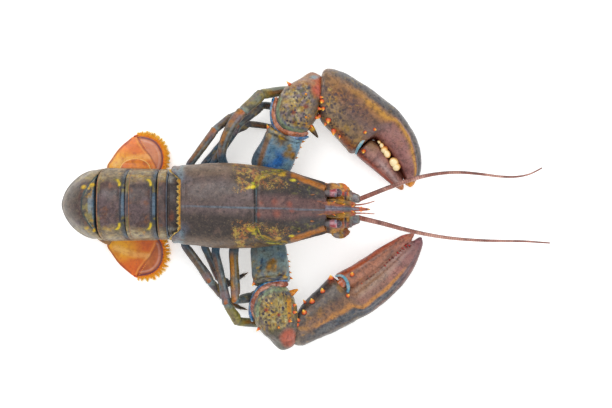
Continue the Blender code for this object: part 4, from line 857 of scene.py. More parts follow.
def coat_carapace(shield):
    """Grey-brown, darker beside the midline on the right as painted shade, with a mottled head and flecks
    round the groove.
    """
    c = Coat(shield, (100, 84, 80), fleck=0.06)
    at, flat = c.at, mirrored(c.at)
    x, off, z = flat.T
    left = at[:, 1] > midline(at[:, 0])
    head = steps(x, -34, -30)
    c.patches((116, 98, 98), 16, 0.5, 3, 0.6)
    # Painted shade: the right side of the back darkened beside the midline.
    c.lay((64, 53, 46), (~left) * steps(off, 5, 18) * 0.62)
    c.lay((118, 92, 64), steps(off, 15, 22) * 0.35)
    c.lay((134, 110, 88), steps(off, 16, 24) * (1 - head) * np.where(left, 0.72, 0.4))
    # More painted shade on the right side, behind the head.
    c.lay((56, 45, 40), band(off, 5, 20, 3) * (~left) * (1 - head) * 0.86)
    c.lay((104, 74, 72), head * fade(off, 9, 15) * 0.85)
    c.patches((124, 86, 82), 7, 0.4, 5, head * 0.5)
    c.lay((46, 35, 32), head * band(off, 7.5, 20, 2.5) * 0.95)
    c.lay((44, 40, 42), band(off, 5.5, 11.5, 1.5) * band(x, -4, 13, 3) * 0.8)
    zone = band(x, -45, -14, 4) * steps(off + ripple(at, 6, 43, 5), 8, 13) * fade(off, 24, 26)
    c.lay((78, 62, 42), zone * 0.7)
    c.lay((64, 52, 38), zone * steps(grain(at, 3.0, 45), 0.5, 0.64) * 0.7)
    c.lay((120, 96, 70), head * steps(off, 21, 24) * 0.6)
    c.lay((150, 126, 96), fade(z, 21, 30) * 0.6)
    drift = ripple(at, 7, 41, 10)
    c.fleck += band(x + drift * 0.6, -46, -31, 4) * steps(off + drift * 0.5, 6, 12) * 1.05
    c.fleck += band(x + drift * 0.5, -57, -38, 6) * steps(off + drift * 0.5, 3, 13) * 0.42
    c.fleck += band(x + drift * 0.5, -31, -11, 5) * steps(off + drift * 0.5, 8, 13) * 0.66
    c.fleck += head * band(off + drift * 0.3, 6, 20, 3) * 0.38
    cheek = line_distance(flat, CHEEK_STRIPE) + ripple(at, 3, 8, 1.6)
    c.lay((192, 122, 48), fade(cheek, 0.8, 2.4) * 0.95)
    coat_groove(c, flat)
    spot_carapace(c)
    coat_margins(c, flat)
    return c.dry()


def coat_groove(c, flat):
    """The cervical groove: teal inside, with a painted shadow on its rear side and a painted highlight on its
    front side near the middle, and yellow and pale edges on the flanks.
    """
    at = c.at
    _, off, z = flat.T
    c.lay((208, 168, 70), band(line_distance(flat, GROOVE_FLANK), 0.4, 1.5, 0.5)
          * steps(grain(at, 3, 12), 0.42, 0.56) * steps(z, 36, 40) * 0.8)
    gone = line_distance(flat, GROOVE)
    edge = band(gone, 0.8, 1.9, 0.4) * steps(off, 11, 14) * steps(grain(at, 2.0, 19), 0.36,
                                                                  0.52) * steps(z, 36, 39)
    c.lay((186, 180, 62), edge * 0.85)
    c.lay((30, 62, 66), fade(gone, 0.4, 1.1) * steps(z, 30, 36) * 0.95)
    c.lay((96, 132, 138),
          fade(gone, 0.1, 0.45) * steps(grain(at, 2.4, 46), 0.46, 0.6) * steps(off, 10, 14) * 0.6)
    # Painted shadow behind the groove's cut and a painted highlight in front of it.
    c.lay((26, 24, 26), fade(line_distance(flat, GROOVE_SHADOW), 0.2, 0.9) * steps(z, 44, 46) * 0.9)
    c.lay((104, 132, 142), fade(line_distance(flat, GROOVE_HIGHLIGHT), 0.1, 0.5) * steps(z, 44, 46) * 0.6)


def spot_carapace(c):
    for place, radius, colour in FLECK_SPOTS:
        c.spot(colour, place, radius, stretch=(1.7, 0.8, 1))
    for place, radius in RED_SPOTS:
        c.spot((158, 84, 66), place, radius * 1.3, 0.7, soft=0.95)


def coat_margins(c, flat):
    """Marks beside the rostrum, the blue-grey rear margin, the stripe along the back and the front rim."""
    at = c.at
    x, off, z = flat.T
    c.patches((140, 138, 66), 1.2, 0.3, 31, band(x, -9, 9, 2.5) * band(off, 8.5, 14.5, 1.5) * 0.45)
    cloud = grain(at, 5, 44)
    c.lay((132, 138, 158),
          fade(x + (cloud - 0.5) * 7, -79, -71) * steps(off, 9, 16) * fade(off, 18, 23) * 0.55)
    c.lay((140, 176, 184),
          fade(x + (cloud - 0.5) * 4, -79.5, -74) * steps(off, 14, 18) * steps(cloud, 0.4, 0.6) * 0.8)
    c.lay((134, 124, 130), fade(x, CARAPACE_REAR + 0.2, CARAPACE_REAR + 0.9) * 0.4)
    stripe = np.abs(at[:, 1] - midline(x) - STRIPE_SHIFT)
    c.lay((112, 132, 146), fade(stripe, 0.15, 0.55) * steps(z, 44, 46) * 0.8)
    c.lay((186, 136, 110), steps(x, 12.2, 13.2) * 0.5)


EYE_OUT = 9.3
EYE_HEIGHT = 42.6
SOCKET_HALF = 4.1


def cut_socket(shield, hand):
    """Hollows the eye socket out of the front edge."""
    y = float(midline(CARAPACE_FRONT)) + hand * EYE_OUT
    hollow = ball("socket", 24, 16, SOCKET_HALF, (14.6, y, EYE_HEIGHT), (1.5, 1.0, 1.0))
    choose(shield)
    cut = shield.modifiers.new("socket", "BOOLEAN")
    cut.operation = "DIFFERENCE"
    cut.solver = "EXACT"
    cut.object = hollow
    bpy.ops.object.modifier_apply(modifier=cut.name)
    bpy.data.objects.remove(hollow)


def model_cone(name, sides, tip_radius, cuts, swell, bend):
    """A cone, a unit wide and a unit high: cut across, swollen in its middle and bent to one side."""
    bpy.ops.mesh.primitive_cone_add(vertices=sides, radius1=MM, radius2=tip_radius * MM, depth=MM,
                                    location=(0, 0, 0.5 * MM))
    piece = settle(bpy.context.object, name)
    open_up(piece)
    for cut in cuts:
        bpy.ops.mesh.select_all(action="SELECT")
        bpy.ops.mesh.bisect(plane_co=(0, 0, cut * MM), plane_no=(0, 0, 1))
    close_up(piece)
    at = coords(piece)
    height = np.clip(at[:, 2], 0, 1)
    at[:, :2] *= (1 + swell * np.sin(math.pi * height))[:, None]
    at[:, 1] += bend * height ** 2
    shape(piece, at)
    mark(piece.data, "along", height)
    return piece


def model_spine(sides=8):
    """One spine, a unit high: it leans a little, and its tip is rounded."""
    return refine(model_cone("spine_pattern", sides, 0.06, (0.3, 0.6, 0.82), 0.22, 0.25), 1)


def spine_place(root, way, length, radius, sunk=0.8, lean=0.0):
    """Stands the spine pattern on a root, along a way, at a length and a radius."""
    axes = axes_of(way)
    size = Matrix.Diagonal((radius, radius, length + sunk)).to_4x4()
    spin = Matrix.Rotation(lean, 4, "Z")
    start = Vector(root) - Vector(way).normalized() * sunk
    return Matrix.Translation(start) @ axes.to_4x4() @ spin @ size


ROSTRUM_STATIONS = (
    # x, half width, top, bottom
    (3.5, 6.2, 50.2, 44.2), (8.0, 5.6, 49.3, 43.6), (CARAPACE_FRONT, 4.6, 48.4, 42.9),
    (16.3, 4.1, 47.9, 43.0),
    (20.3, 3.1, 47.3, 43.4), (26.3, 1.95, 46.7, 43.8), (33.3, 1.35, 46.3, 44.4), (38.3, 0.85, 46.5, 45.2),
)
ROSTRUM_END = 41.0
ROSTRUM_TEETH = ((16.5, 3.8), (22.5, 2.5), (28.5, 1.65), (33.6, 1.25))


def model_rostrum():
    """The spear between the eyes: flat above with raised edges, and teeth along both."""
    rows = []
    for x, half_width, top, bottom in ROSTRUM_STATIONS:
        rows.append((x, midline(x), (top + bottom) / 2, half_width, (top - bottom) / 2,
                     (1, BODY_YAW_SLOPE, 0)))
    tip = (ROSTRUM_END, midline(ROSTRUM_END), 46.2)
    spear = limb("rostrum_spear", rows, 16, 2.6, 2, tip)
    at = coords(spear)
    off = at[:, 1] - midline(at[:, 0])
    half = np.interp(at[:, 0], [r[0] for r in ROSTRUM_STATIONS] + [ROSTRUM_END],
                     [r[1] for r in ROSTRUM_STATIONS] + [0.3])
    share = np.clip(np.abs(off) / half, 0, 1)
    upper = steps(at[:, 2], 45.0, 46.4)
    at[:, 2] += upper * (0.7 * ridge(share, 0.8, 0.22) - 0.55 * ridge(share, 0, 0.5)) * half / 4
    at[:, 2] += upper * 0.25 * ridge(off, 0, 0.3)
    shape(spear, at)
    teeth = grow_rostrum_teeth()
    wear(coat_rostrum(spear), HEAD, "shell", "rostrum")
    wear(teeth, SPINE, "shell")


def grow_rostrum_teeth():
    places = []
    for x, half_width in ROSTRUM_TEETH:
        for hand in (LEFT, RIGHT):
            root = (x, midline(x) + hand * (half_width - 0.5), 45.9)
            places.append(spine_place(root, (1, hand * 0.6, 0.25), 3.0 - 0.05 * (x - 13), 0.8, 0.7))
    return sow("rostrum_teeth", places, model_spine)


def coat_rostrum(spear):
    """Orange-brown edges, a blue-grey trough with a pale midline, and a yellow tip."""
    c = Coat(spear, (146, 92, 74), fleck=0.2)
    off = np.abs(c.at[:, 1] - midline(c.at[:, 0]))
    c.patches((178, 96, 66), 2.5, 0.45, 4, 0.7)
    c.patches((206, 150, 70), 2.0, 0.25, 9, 0.7)
    wide = np.interp(c.at[:, 0], [13, 22, 30, 34], [1.7, 1.2, 0.7, 0.3])
    c.lay((126, 122, 138), fade(off - wide, -0.4, 0.5) * steps(c.at[:, 2], 45.2, 46.0) * 0.85)
    c.patches((96, 88, 104), 2.0, 0.4, 12, fade(off - wide, -0.4, 0.5) * 0.6)
    c.lay((172, 182, 192), fade(off, 0.15, 0.5) * steps(c.at[:, 2], 45.2, 46.0) * 0.5)
    c.lay((56, 78, 84), band(c.at[:, 0], 23.6, 29.0, 0.8) * fade(off, 1.2, 2.4) * 0.6)
    c.lay((212, 104, 46), steps(c.at[:, 0], 32, 35) * 0.8)
    c.spot((40, 44, 66), (37.6, midline(37.6)), 0.8, 0.8)
    c.lay((246, 200, 80), steps(c.at[:, 0], 38, 40.4) * 0.8)
    c.lay((112, 84, 80), fade(c.at[:, 0], 3.5, 9.0))
    return c.dry()


# The tail: back and belly line of each ring from the side, as (x, z), with its half width and lobe depth.
CURL_CENTRE = (-131.0, 24.0)
CURL_REACH = 23.6
CURL_HEIGHT = 22.4
SOMITES = (
    ((-77.4, 46.4), (-77.4, 22.5), (-86.4, 47.0), (-84.8, 22.0), 20.2, 1.5),
    ((-86.7, 48.0), (-85.1, 22.0), (-93.0, 49.2), (-90.4, 21.5), 22.3, 8.5),
    ((-93.3, 48.6), (-90.7, 21.5), (-112.6, 49.2), (-106.2, 21.0), 22.7, 7.5),
    ((-112.9, 48.6), (-106.5, 21.0), (-130.8, 46.6), (-120.6, 20.8), 23.0, 7.0),
)
BEND = ((91.0, 176.4, (-121.0, 20.8), (-129.8, 18.6), (23.0, 21.8), 4.0),
        (177.3, 254.0, (-129.9, 17.9), (-131.6, 12.5), (21.2, 18.0), 2.0))
TAIL_SHARES = (0.0, 0.06, 0.11, 0.145, 0.185, 0.23, 0.36, 0.48, 0.62, 0.76, 0.87, 0.93, 0.975, 1.0)
FACET_SHARE = 0.16
FACET_DROP = 0.9
LIP = 0.055


def tail_ring(back, belly, half_width, lobe, drop, bow, fullness=2.1):
    """An arched plate with side lobes that hang past the flat belly."""
    base = np.array([belly[0], midline(back[0]), belly[1]])
    rise = np.array([back[0] - belly[0], 0.0, back[1] - belly[1]])
    height = np.linalg.norm(rise)
    rise /= height
    tall = height - drop
    half_width -= drop
    shoulder = tall * 0.16

    def place(across, lift):
        share = max(0.0, lift / height)
        return base + rise * lift + np.array([bow * (back[0] - belly[0]) * share * (1 - share), across, 0.0])

    points = []
    for k in range(ARCH_STEPS + 1):
        a = math.pi * (0.5 - k / ARCH_STEPS)
        across = rounded(math.sin(a), fullness)
        points.append(place(across * half_width,
                            shoulder + rounded(max(0.0, math.cos(a)), fullness) * (tall - shoulder)))
    lobe = max(lobe, 0.6)
    edge = ((-1.0, -lobe * 0.3), (-0.995, -lobe * 0.62), (-0.965, -lobe), (-0.92, -lobe * 0.9),
            (-0.87, -lobe * 0.5),
            (-0.84, 0.0))
    points += [place(side * half_width, lift) for side, lift in edge]
    points += [place(-side * half_width, lift) for side, lift in reversed(edge)]
    return points


def mix(a, b, share):
    return tuple(p + (q - p) * share for p, q in zip(a, b))


def lobe_shape(share):
    return math.sin(math.pi * min(1.0, 0.08 + share * 0.9)) ** 0.7


def curl_point(degrees):
    a = math.radians(degrees)
    return CURL_CENTRE[0] + CURL_REACH * math.cos(a), CURL_CENTRE[1] + CURL_HEIGHT * math.sin(a)


def facet(share):
    """How far the front band lies under the ring ahead: all of it at first, then none."""
    return float(fade(np.array(share), FACET_SHARE - 0.04, FACET_SHARE + 0.05))


def model_tail_ring(number):
    shares = TAIL_SHARES + ((1.0 + LIP,) if number < 6 else ())
    piece = plate(f"tail_ring_{number}", [tail_section(number, share) for share in shares], shares)
    at, out = coords(piece), outward(piece)
    share = values(piece, "share")
    lift = -0.28 * ridge(share, 0.9, 0.025)
    if number == 5:
        past = share - front_edge(at)
        lift -= 0.45 * ridge(past, 0, 0.016) + 0.7 * fade(past, -0.05, 0.0)
    else:
        lift -= 0.3 * ridge(share - FACET_SHARE, 0.05, 0.02)
    lift += ripple(at, 6.0, number, 0.35) + ripple(at, 1.8, number + 7, 0.12)
    shape(piece, at + out * (lift * steps(at[:, 2], 20, 24))[:, None])
    return piece


def tail_section(number, share):
    """The points round a tail ring at a share of its length."""
    inner = min(share, 1.0)
    if number <= 4:
        back_start, belly_start, back_end, belly_end, half_width, lobe = SOMITES[number - 1]
        back = mix(back_start, back_end, share)
        back = (back[0], back[1] + 0.5 * math.sin(math.pi * inner))
        bow = 1.0
        fullness = 2.1
    else:
        start, end, belly_start, belly_end, widths, lobe = BEND[number - 5]
        back = curl_point(start + (end - start) * share)
        half_width = widths[0] + (widths[1] - widths[0]) * inner
        bow = max(0.0, 1 - inner * 2) if number == 5 else 0.0
        fullness = 2.1 - 0.4 * min(1.0, inner * 1.5) if number == 5 else 1.7
    belly = mix(belly_start, belly_end, inner)
    drop = FACET_DROP * (facet(share) if number != 5 else 0.0)
    drop -= 0.22 * math.exp(-((share - 0.97) / 0.05) ** 2)
    return tail_ring(back, belly, half_width, lobe * lobe_shape(inner), drop, bow, fullness)


def front_edge(at):
    """Where the fifth ring's front field ends: far back in the middle, at the ring's front on the flanks."""
    return 0.263 - 0.0007 * (at[:, 1] - TAIL_MIDLINE_Y) ** 2


def coat_tail_ring(piece, number):
    c = Coat(piece, (83, 66, 64), fleck=0.12)
    at, share = c.at, c.share
    z = at[:, 2]
    off = np.abs(at[:, 1] - TAIL_MIDLINE_Y)
    c.patches((112, 92, 94), 10, 0.45, number, 0.7)
    c.lay((62, 50, 50), band(off, 6, 13, 2.5) * steps(grain(at, 7, 33), 0.35, 0.6) * 0.6)
    c.patches((86, 58, 50), 5, 0.35, number + 3, 0.75)
    c.patches((138, 90, 62), 3.0, 0.2, number + 5, 0.6)
    flank = steps(off + ripple(at, 6, 34, 5), 12.5, 17.5)
    c.lay((170, 150, 112), flank * 0.8)
    c.lay((196, 180, 140), flank * steps(grain(at, 4, number), 0.48, 0.66) * 0.7)
    c.lay((92, 84, 76), flank * steps(grain(at, 3, number + 21), 0.5, 0.64) * 0.6)
    c.lay((190, 150, 60), flank * steps(grain(at, 2.2, number + 31), 0.56, 0.66) * fade(off, 18, 21) * 0.6)
    c.lay((124, 100, 70), steps(grain(at, 3.5, number + 9), 0.5, 0.62) * flank * 0.6)
    c.lay((170, 150, 124), fade(z, 18, 26) * 0.5)
    c.fleck += flank * 0.6
    front = fade(share, FACET_SHARE - 0.05, FACET_SHARE + 0.03)
    if number in (3, 4):
        coat_overlap(c, number, front, flank)
    if number == 2:
        c.lay((96, 104, 116), front * 0.9)
        c.lay((130, 150, 170), front * steps(off, 12, 18) * 0.7)
    if number == 1:
        c.lay((49, 37, 35), 0.9 * (1 - flank))
        c.lay((170, 180, 186), flank * 0.6)
        c.patches((44, 34, 34), 4, 0.4, 2, 0.7)
        c.spot((140, 74, 44), (-84.0, -4.0), 2.0, 0.7, soft=0.9, stretch=(1, 1.8, 1))
    if number in (2, 3, 4):
        c.lay((128, 116, 72), band(share, 0.905, 0.99, 0.02) * band(off, 7, 15, 2) * 0.9)
        c.lay((60, 62, 70), band(share, 0.915, 0.985, 0.02) * fade(off, 5, 9) * 0.7)
        edge = 0.992 if number == 4 else 0.9
        c.lay((176, 116, 70), fade(np.abs(share - edge), 0.003, 0.016 if number > 2 else 0.04) * 0.8)
    if number == 5:
        coat_bend(c, flank)
    if number == 6:
        c.lay((164, 148, 126), np.ones(len(at)) * 0.7)
        c.lay((60, 84, 92), front * 0.7)
    return c.dry()


def coat_overlap(c, number, front, flank):
    """The blue-grey front band that the ring ahead covers, and a yellow crescent on each side."""
    at, share = c.at, c.share
    x, z = at[:, 0], at[:, 2]
    off = np.abs(at[:, 1] - TAIL_MIDLINE_Y)
    c.lay((54, 64, 72), front * 0.9)
    c.lay((116, 142, 162), front * fade(off + ripple(at, 3, 9, 6), 4, 10) * 0.75)
    c.lay((66, 88, 106), front * steps(off, 15, 19) * 0.6)
    c.lay((150, 134, 70), front * band(off, 7.5, 12.5, 1.5) * steps(grain(at, 3.2, 14), 0.45, 0.58) * 0.8)
    c.lay((34, 44, 60), band(share, FACET_SHARE - 0.02, FACET_SHARE + 0.05, 0.02) * (1 - flank * 0.5) * 0.85)
    crescent = SOMITES[number - 1][0][0] - 4.2
    for hand in (LEFT, RIGHT):
        line = [(crescent + a, TAIL_MIDLINE_Y + hand * b) for a, b in
                ((0.6, 12.2), (0.5, 13.4), (-0.1, 14.4), (-1.0, 15.2), (-2.2, 15.7))]
        wide = np.interp(x, [line[-1][0], line[2][0], line[0][0]], [0.1, 0.8, 0.5]) + ripple(at, 2, 3, 0.5)
        c.lay((120, 112, 60), fade(line_distance(at, line) - wide, 0.2, 1.6) * steps(z, 34, 36) * 0.7)
        c.lay((232, 200, 50), fade(line_distance(at, line) - wide, -0.2, 0.3) * steps(z, 34, 36))


def coat_bend(c, flank):
    """The fifth ring: a mottled field before its edge, and a paler shell where the tail turns down."""
    at, share = c.at, c.share
    x, z = at[:, 0], at[:, 2]
    off = np.abs(at[:, 1] - TAIL_MIDLINE_Y)
    angle = np.degrees(np.arctan2(z - CURL_CENTRE[1], x - CURL_CENTRE[0]))
    edge = front_edge(at)
    field = fade(share - edge, -0.012, 0.012) * (z > 26)
    c.lay((98, 88, 78), field)
    c.lay((60, 52, 50), field * steps(grain(at, 3.4, 27, 4), 0.46, 0.6) * 0.85)
    c.lay((156, 144, 96), field * steps(grain(at, 3.0, 21, 4), 0.5, 0.62) * 0.8)
    c.lay((186, 142, 60), field * steps(grain(at, 1.8, 22, 4), 0.54, 0.64) * steps(off, 2, 5) * 0.85)
    c.lay((142, 162, 178), field * band(share, 0.06, 0.15, 0.02) * fade(off, 3.5, 7.0) * 0.6)
    c.lay((44, 66, 80), band(share, -0.1, 0.045, 0.012) * field * 0.9)
    c.lay((90, 118, 138), band(share, 0.02, 0.075, 0.012) * field * fade(off, 6, 12) * 0.7)
    c.lay((34, 64, 66), fade(np.abs(share - edge), 0.008, 0.026) * (z > 26) * 0.95)
    c.lay((160, 182, 170),
          fade(np.abs(share - edge + 0.024), 0.004, 0.012) * steps(off, 7, 9) * (z > 26) * 0.5)
    for place, size in (((-139.2, 14.4), 1.6), ((-134.0, 15.8), 1.5), ((-137.9, -11.2), 1.4),
                        ((-133.0, -12.8), 1.1),
                        ((-136.0, 13.6), 0.8)):
        c.spot((232, 192, 56), place, size, stretch=(1.2, 0.9, 1))
    c.lay((150, 138, 120), steps(angle + ripple(at, 6, 38, 24), 124, 158) * 0.7)
    c.lay((186, 172, 138), steps(angle, 112, 150) * flank * 0.6)
    c.patches((100, 88, 76), 5.0, 0.45, 43, steps(angle, 96, 120) * 0.7)
    c.patches((176, 162, 104), 2.6, 0.3, 44, steps(angle, 96, 122) * flank * 0.8)
    c.lay((152, 160, 158), steps(share, 0.93, 1.0) * 0.8)
    c.lay((60, 62, 62), band(share, 0.88, 0.93, 0.015) * 0.5)


def model_tail():
    for number in range(1, 7):
        wear(coat_tail_ring(model_tail_ring(number), number), TAIL, "shell", f"abdomen_ring_{number}")


model_carapace()
model_rostrum()
model_tail()


# Claw arms: the claw itself as stations of (x, y, z, half width, half height, heading in degrees).

CRUSHER_PALM = (
    (8.4, 76.0, 18.4, 7.0, 6.5, -8), (9.4, 75.6, 18.0, 13.4, 9.6, -8), (12.0, 73.4, 16.4, 16.8, 11.6, -10),
    (16.0, 70.9, 14.6, 18.3, 12.6, -12), (21.0, 67.9, 13.2, 18.9, 13.2, -17),
    (27.4, 63.4, 12.8, 19.3, 13.4, -25),
    (34.9, 57.0, 12.6, 19.8, 13.2, -34), (43.5, 50.4, 12.2, 19.8, 12.0, -43),
    (51.4, 53.2, 12.0, 12.0, 10.6, -56), (57.4, 46.9, 11.6, 11.0, 9.8, -66),
    (61.4, 41.0, 11.2, 10.1, 9.0, -71),
    (64.5, 34.4, 10.8, 8.6, 8.2, -75), (66.4, 28.8, 10.4, 7.2, 7.2, -77), (67.3, 23.4, 10.2, 5.3, 5.8, -82),
    (67.3, 19.6, 10.2, 3.7, 4.2, -88),
)
CRUSHER_TIP = (66.6, 14.4, 10.6)
CRUSHER_THUMB = (
    (36.1, 40.8, 12.1, 7.2, 7.7, -47), (40.6, 36.8, 11.8, 7.5, 8.2, -41), (45.4, 32.3, 11.4, 6.7, 7.6, -40),
    (49.3, 28.2, 11.0, 5.8, 6.8, -42), (52.8, 24.3, 10.6, 4.9, 5.8, -43), (57.2, 19.2, 10.2, 3.8, 4.6, -46),
)
CRUSHER_THUMB_TIP = (62.2, 12.8, 10.4)
CUTTER_PALM = (
    (-7.6, -77.0, 15.2, 6.0, 6.0, -6), (-6.6, -76.8, 14.8, 9.2, 8.2, -4), (-3.2, -75.2, 13.4, 11.2, 9.4, 10),
    (3.2, -70.5, 11.6, 12.6, 10.0, 24), (11.8, -64.9, 10.2, 14.2, 10.4, 29),
    (20.6, -58.8, 9.9, 15.7, 10.2, 31),
    (25.3, -55.5, 9.8, 16.2, 9.6, 31.6),
    (33.4, -59.2, 9.4, 9.6, 8.6, 39), (39.4, -55.6, 9.0, 9.5, 8.0, 51), (46.0, -50.6, 8.6, 9.1, 7.4, 54),
    (53.4, -44.2, 8.2, 8.4, 6.8, 53), (60.0, -37.2, 7.8, 7.3, 6.2, 52), (65.2, -30.6, 7.6, 5.9, 5.4, 56),
    (69.6, -23.9, 7.4, 4.0, 4.2, 70),
)
CUTTER_TIP = (73.8, -17.0, 7.6)
CUTTER_THUMB = (
    (22.5, -46.3, 9.6, 6.8, 6.4, 46), (28.8, -43.0, 9.0, 6.3, 6.8, 36), (38.4, -36.9, 8.6, 5.9, 6.2, 33),
    (46.4, -31.1, 8.2, 5.2, 5.4, 34), (54.8, -25.1, 7.8, 4.3, 4.6, 33), (62.4, -19.8, 7.6, 3.3, 3.6, 30),
)
CUTTER_THUMB_TIP = (69.8, -14.8, 7.8)
SPANS = 2


def from_axis(at, share, rows):
    """Each point's place across a limb (to the left) and above its middle, in half sizes."""
    k = np.arange(len(rows))
    ways = [heading(row[5]) if isinstance(row[5], (int, float)) else row[5] for row in rows]
    frames = np.array([axes_of(way) for way in ways])
    spots = np.array([row[:5] for row in rows], float)

    def along(column):
        return np.interp(share, k, column)

    off = at - np.stack([along(spots[:, n]) for n in range(3)], axis=1)
    side, lift = (np.stack([along(frames[:, n, m]) for n in range(3)], axis=1) for m in (0, 1))
    return (off * side).sum(axis=1) / along(spots[:, 3]), (off * lift).sum(axis=1) / along(spots[:, 4])


def perch(piece, x, y):
    """The highest point of a piece near a place seen from above, and the way out of its skin there."""
    at, out = coords(piece), outward(piece)
    reach = np.hypot(at[:, 0] - x, at[:, 1] - y)
    near = reach < max(1.4, reach.min() + 0.6)
    best = np.flatnonzero(near)[np.argmax(at[near, 2])]
    return Vector(at[best]), Vector(out[best])


def grow_spines(name, piece, rows, forward):
    """Spines that stand on a piece at places seen from above: rows of (x, y, length, radius, way out)."""
    places = []
    for x, y, length, radius, way in rows:
        root, out = perch(piece, x, y)
        way = out * 0.9 + Vector((way[0], way[1], 0.15)) + Vector(forward) * 0.3
        places.append(spine_place(root, way, length * draw.uniform(1.1, 1.4), radius * 1.25, 0.7,
                                  draw.uniform(-0.6, 0.6)))
    return wear(sow(name, places, model_spine), SPINE, "claws")


def model_tooth():
    """One blunt molar, a unit in radius: a low sphere with a flattened and lumpy crown."""
    piece = ball("tooth_pattern", 16, 10)
    at = coords(piece)
    high = steps(at[:, 2], -0.4, 1.0)
    at[:, 2] = np.where(at[:, 2] > 0.55, 0.55 + (at[:, 2] - 0.55) * 0.5, at[:, 2])
    at *= (1 + ripple(at, 0.9, 4, 0.22))[:, None]
    shape(piece, at)
    mark(piece.data, "along", high)
    return refine(piece, 1)


def blunt(rows, tip):
    """Stations with two more between the last and the tip, so that the tip is rounded."""
    last = [float(v) for v in rows[-1]]
    made = list(rows)
    for way_on, size in ((0.5, 0.78), (0.84, 0.46)):
        spot = [a + (b - a) * way_on for a, b in zip(last[:3], tip)]
        made.append((*spot, last[3] * size, last[4] * size, *last[5:]))
    return made


def model_claw(word, stations, tip, thumb, thumb_tip, outer):
    """The palm with its fixed finger, and the thumb. outer is the side of the claw's long smooth margin."""
    palm = limb(f"{word}_hand", blunt(flow(stations, SPANS), tip), 24, 2.2, 2, tip)
    moving = limb(f"{word}_finger", blunt(flow(thumb, SPANS), thumb_tip), 18, 2.3, 2, thumb_tip)
    for piece, rows, keel, bite in ((palm, stations, outer, -outer), (moving, thumb, -outer, outer)):
        at, out, share = coords(piece), outward(piece), values(piece, "share")
        across, rise = from_axis(at, share, flow(rows, SPANS))
        finger = steps(share, 14, 17) if piece is palm else np.ones(len(at))
        lift = 0.55 * ridge(across * keel, 0.97, 0.07) * steps(share, 3, 8)
        lift -= 0.5 * ridge(across * keel, 0.74, 0.07) * ridge(rise, 0.55, 0.5) * steps(share, 3, 10)
        gripping = steps(share, 12.4, 14.0) if piece is palm else steps(share, 0.6, 2.0)
        reach, high = (2.3, 0.55) if word == "cutter" else (2.0, 0.2) if piece is moving else (1.3, 0.05)
        lift += reach * gripping * steps(across * bite, 0.5, 0.92) * band(rise, -1.0, high, 0.3)
        lift += 0.35 * finger * ridge(across * bite, 0.62, 0.12) * ridge(rise, 0.6, 0.3)
        lift += ripple(at, 9.0, 31, 0.9) + ripple(at, 2.6, 32, 0.3)
        granule = grain(at, 1.1, 33, 2)
        lift += steps(granule, 0.62, 0.8) * 0.16 * (1 - finger * 0.6)
        at = at + out * lift[:, None]
        at[:, 2] = np.maximum(at[:, 2], 0.0)
        shape(piece, at)
    return palm, moving


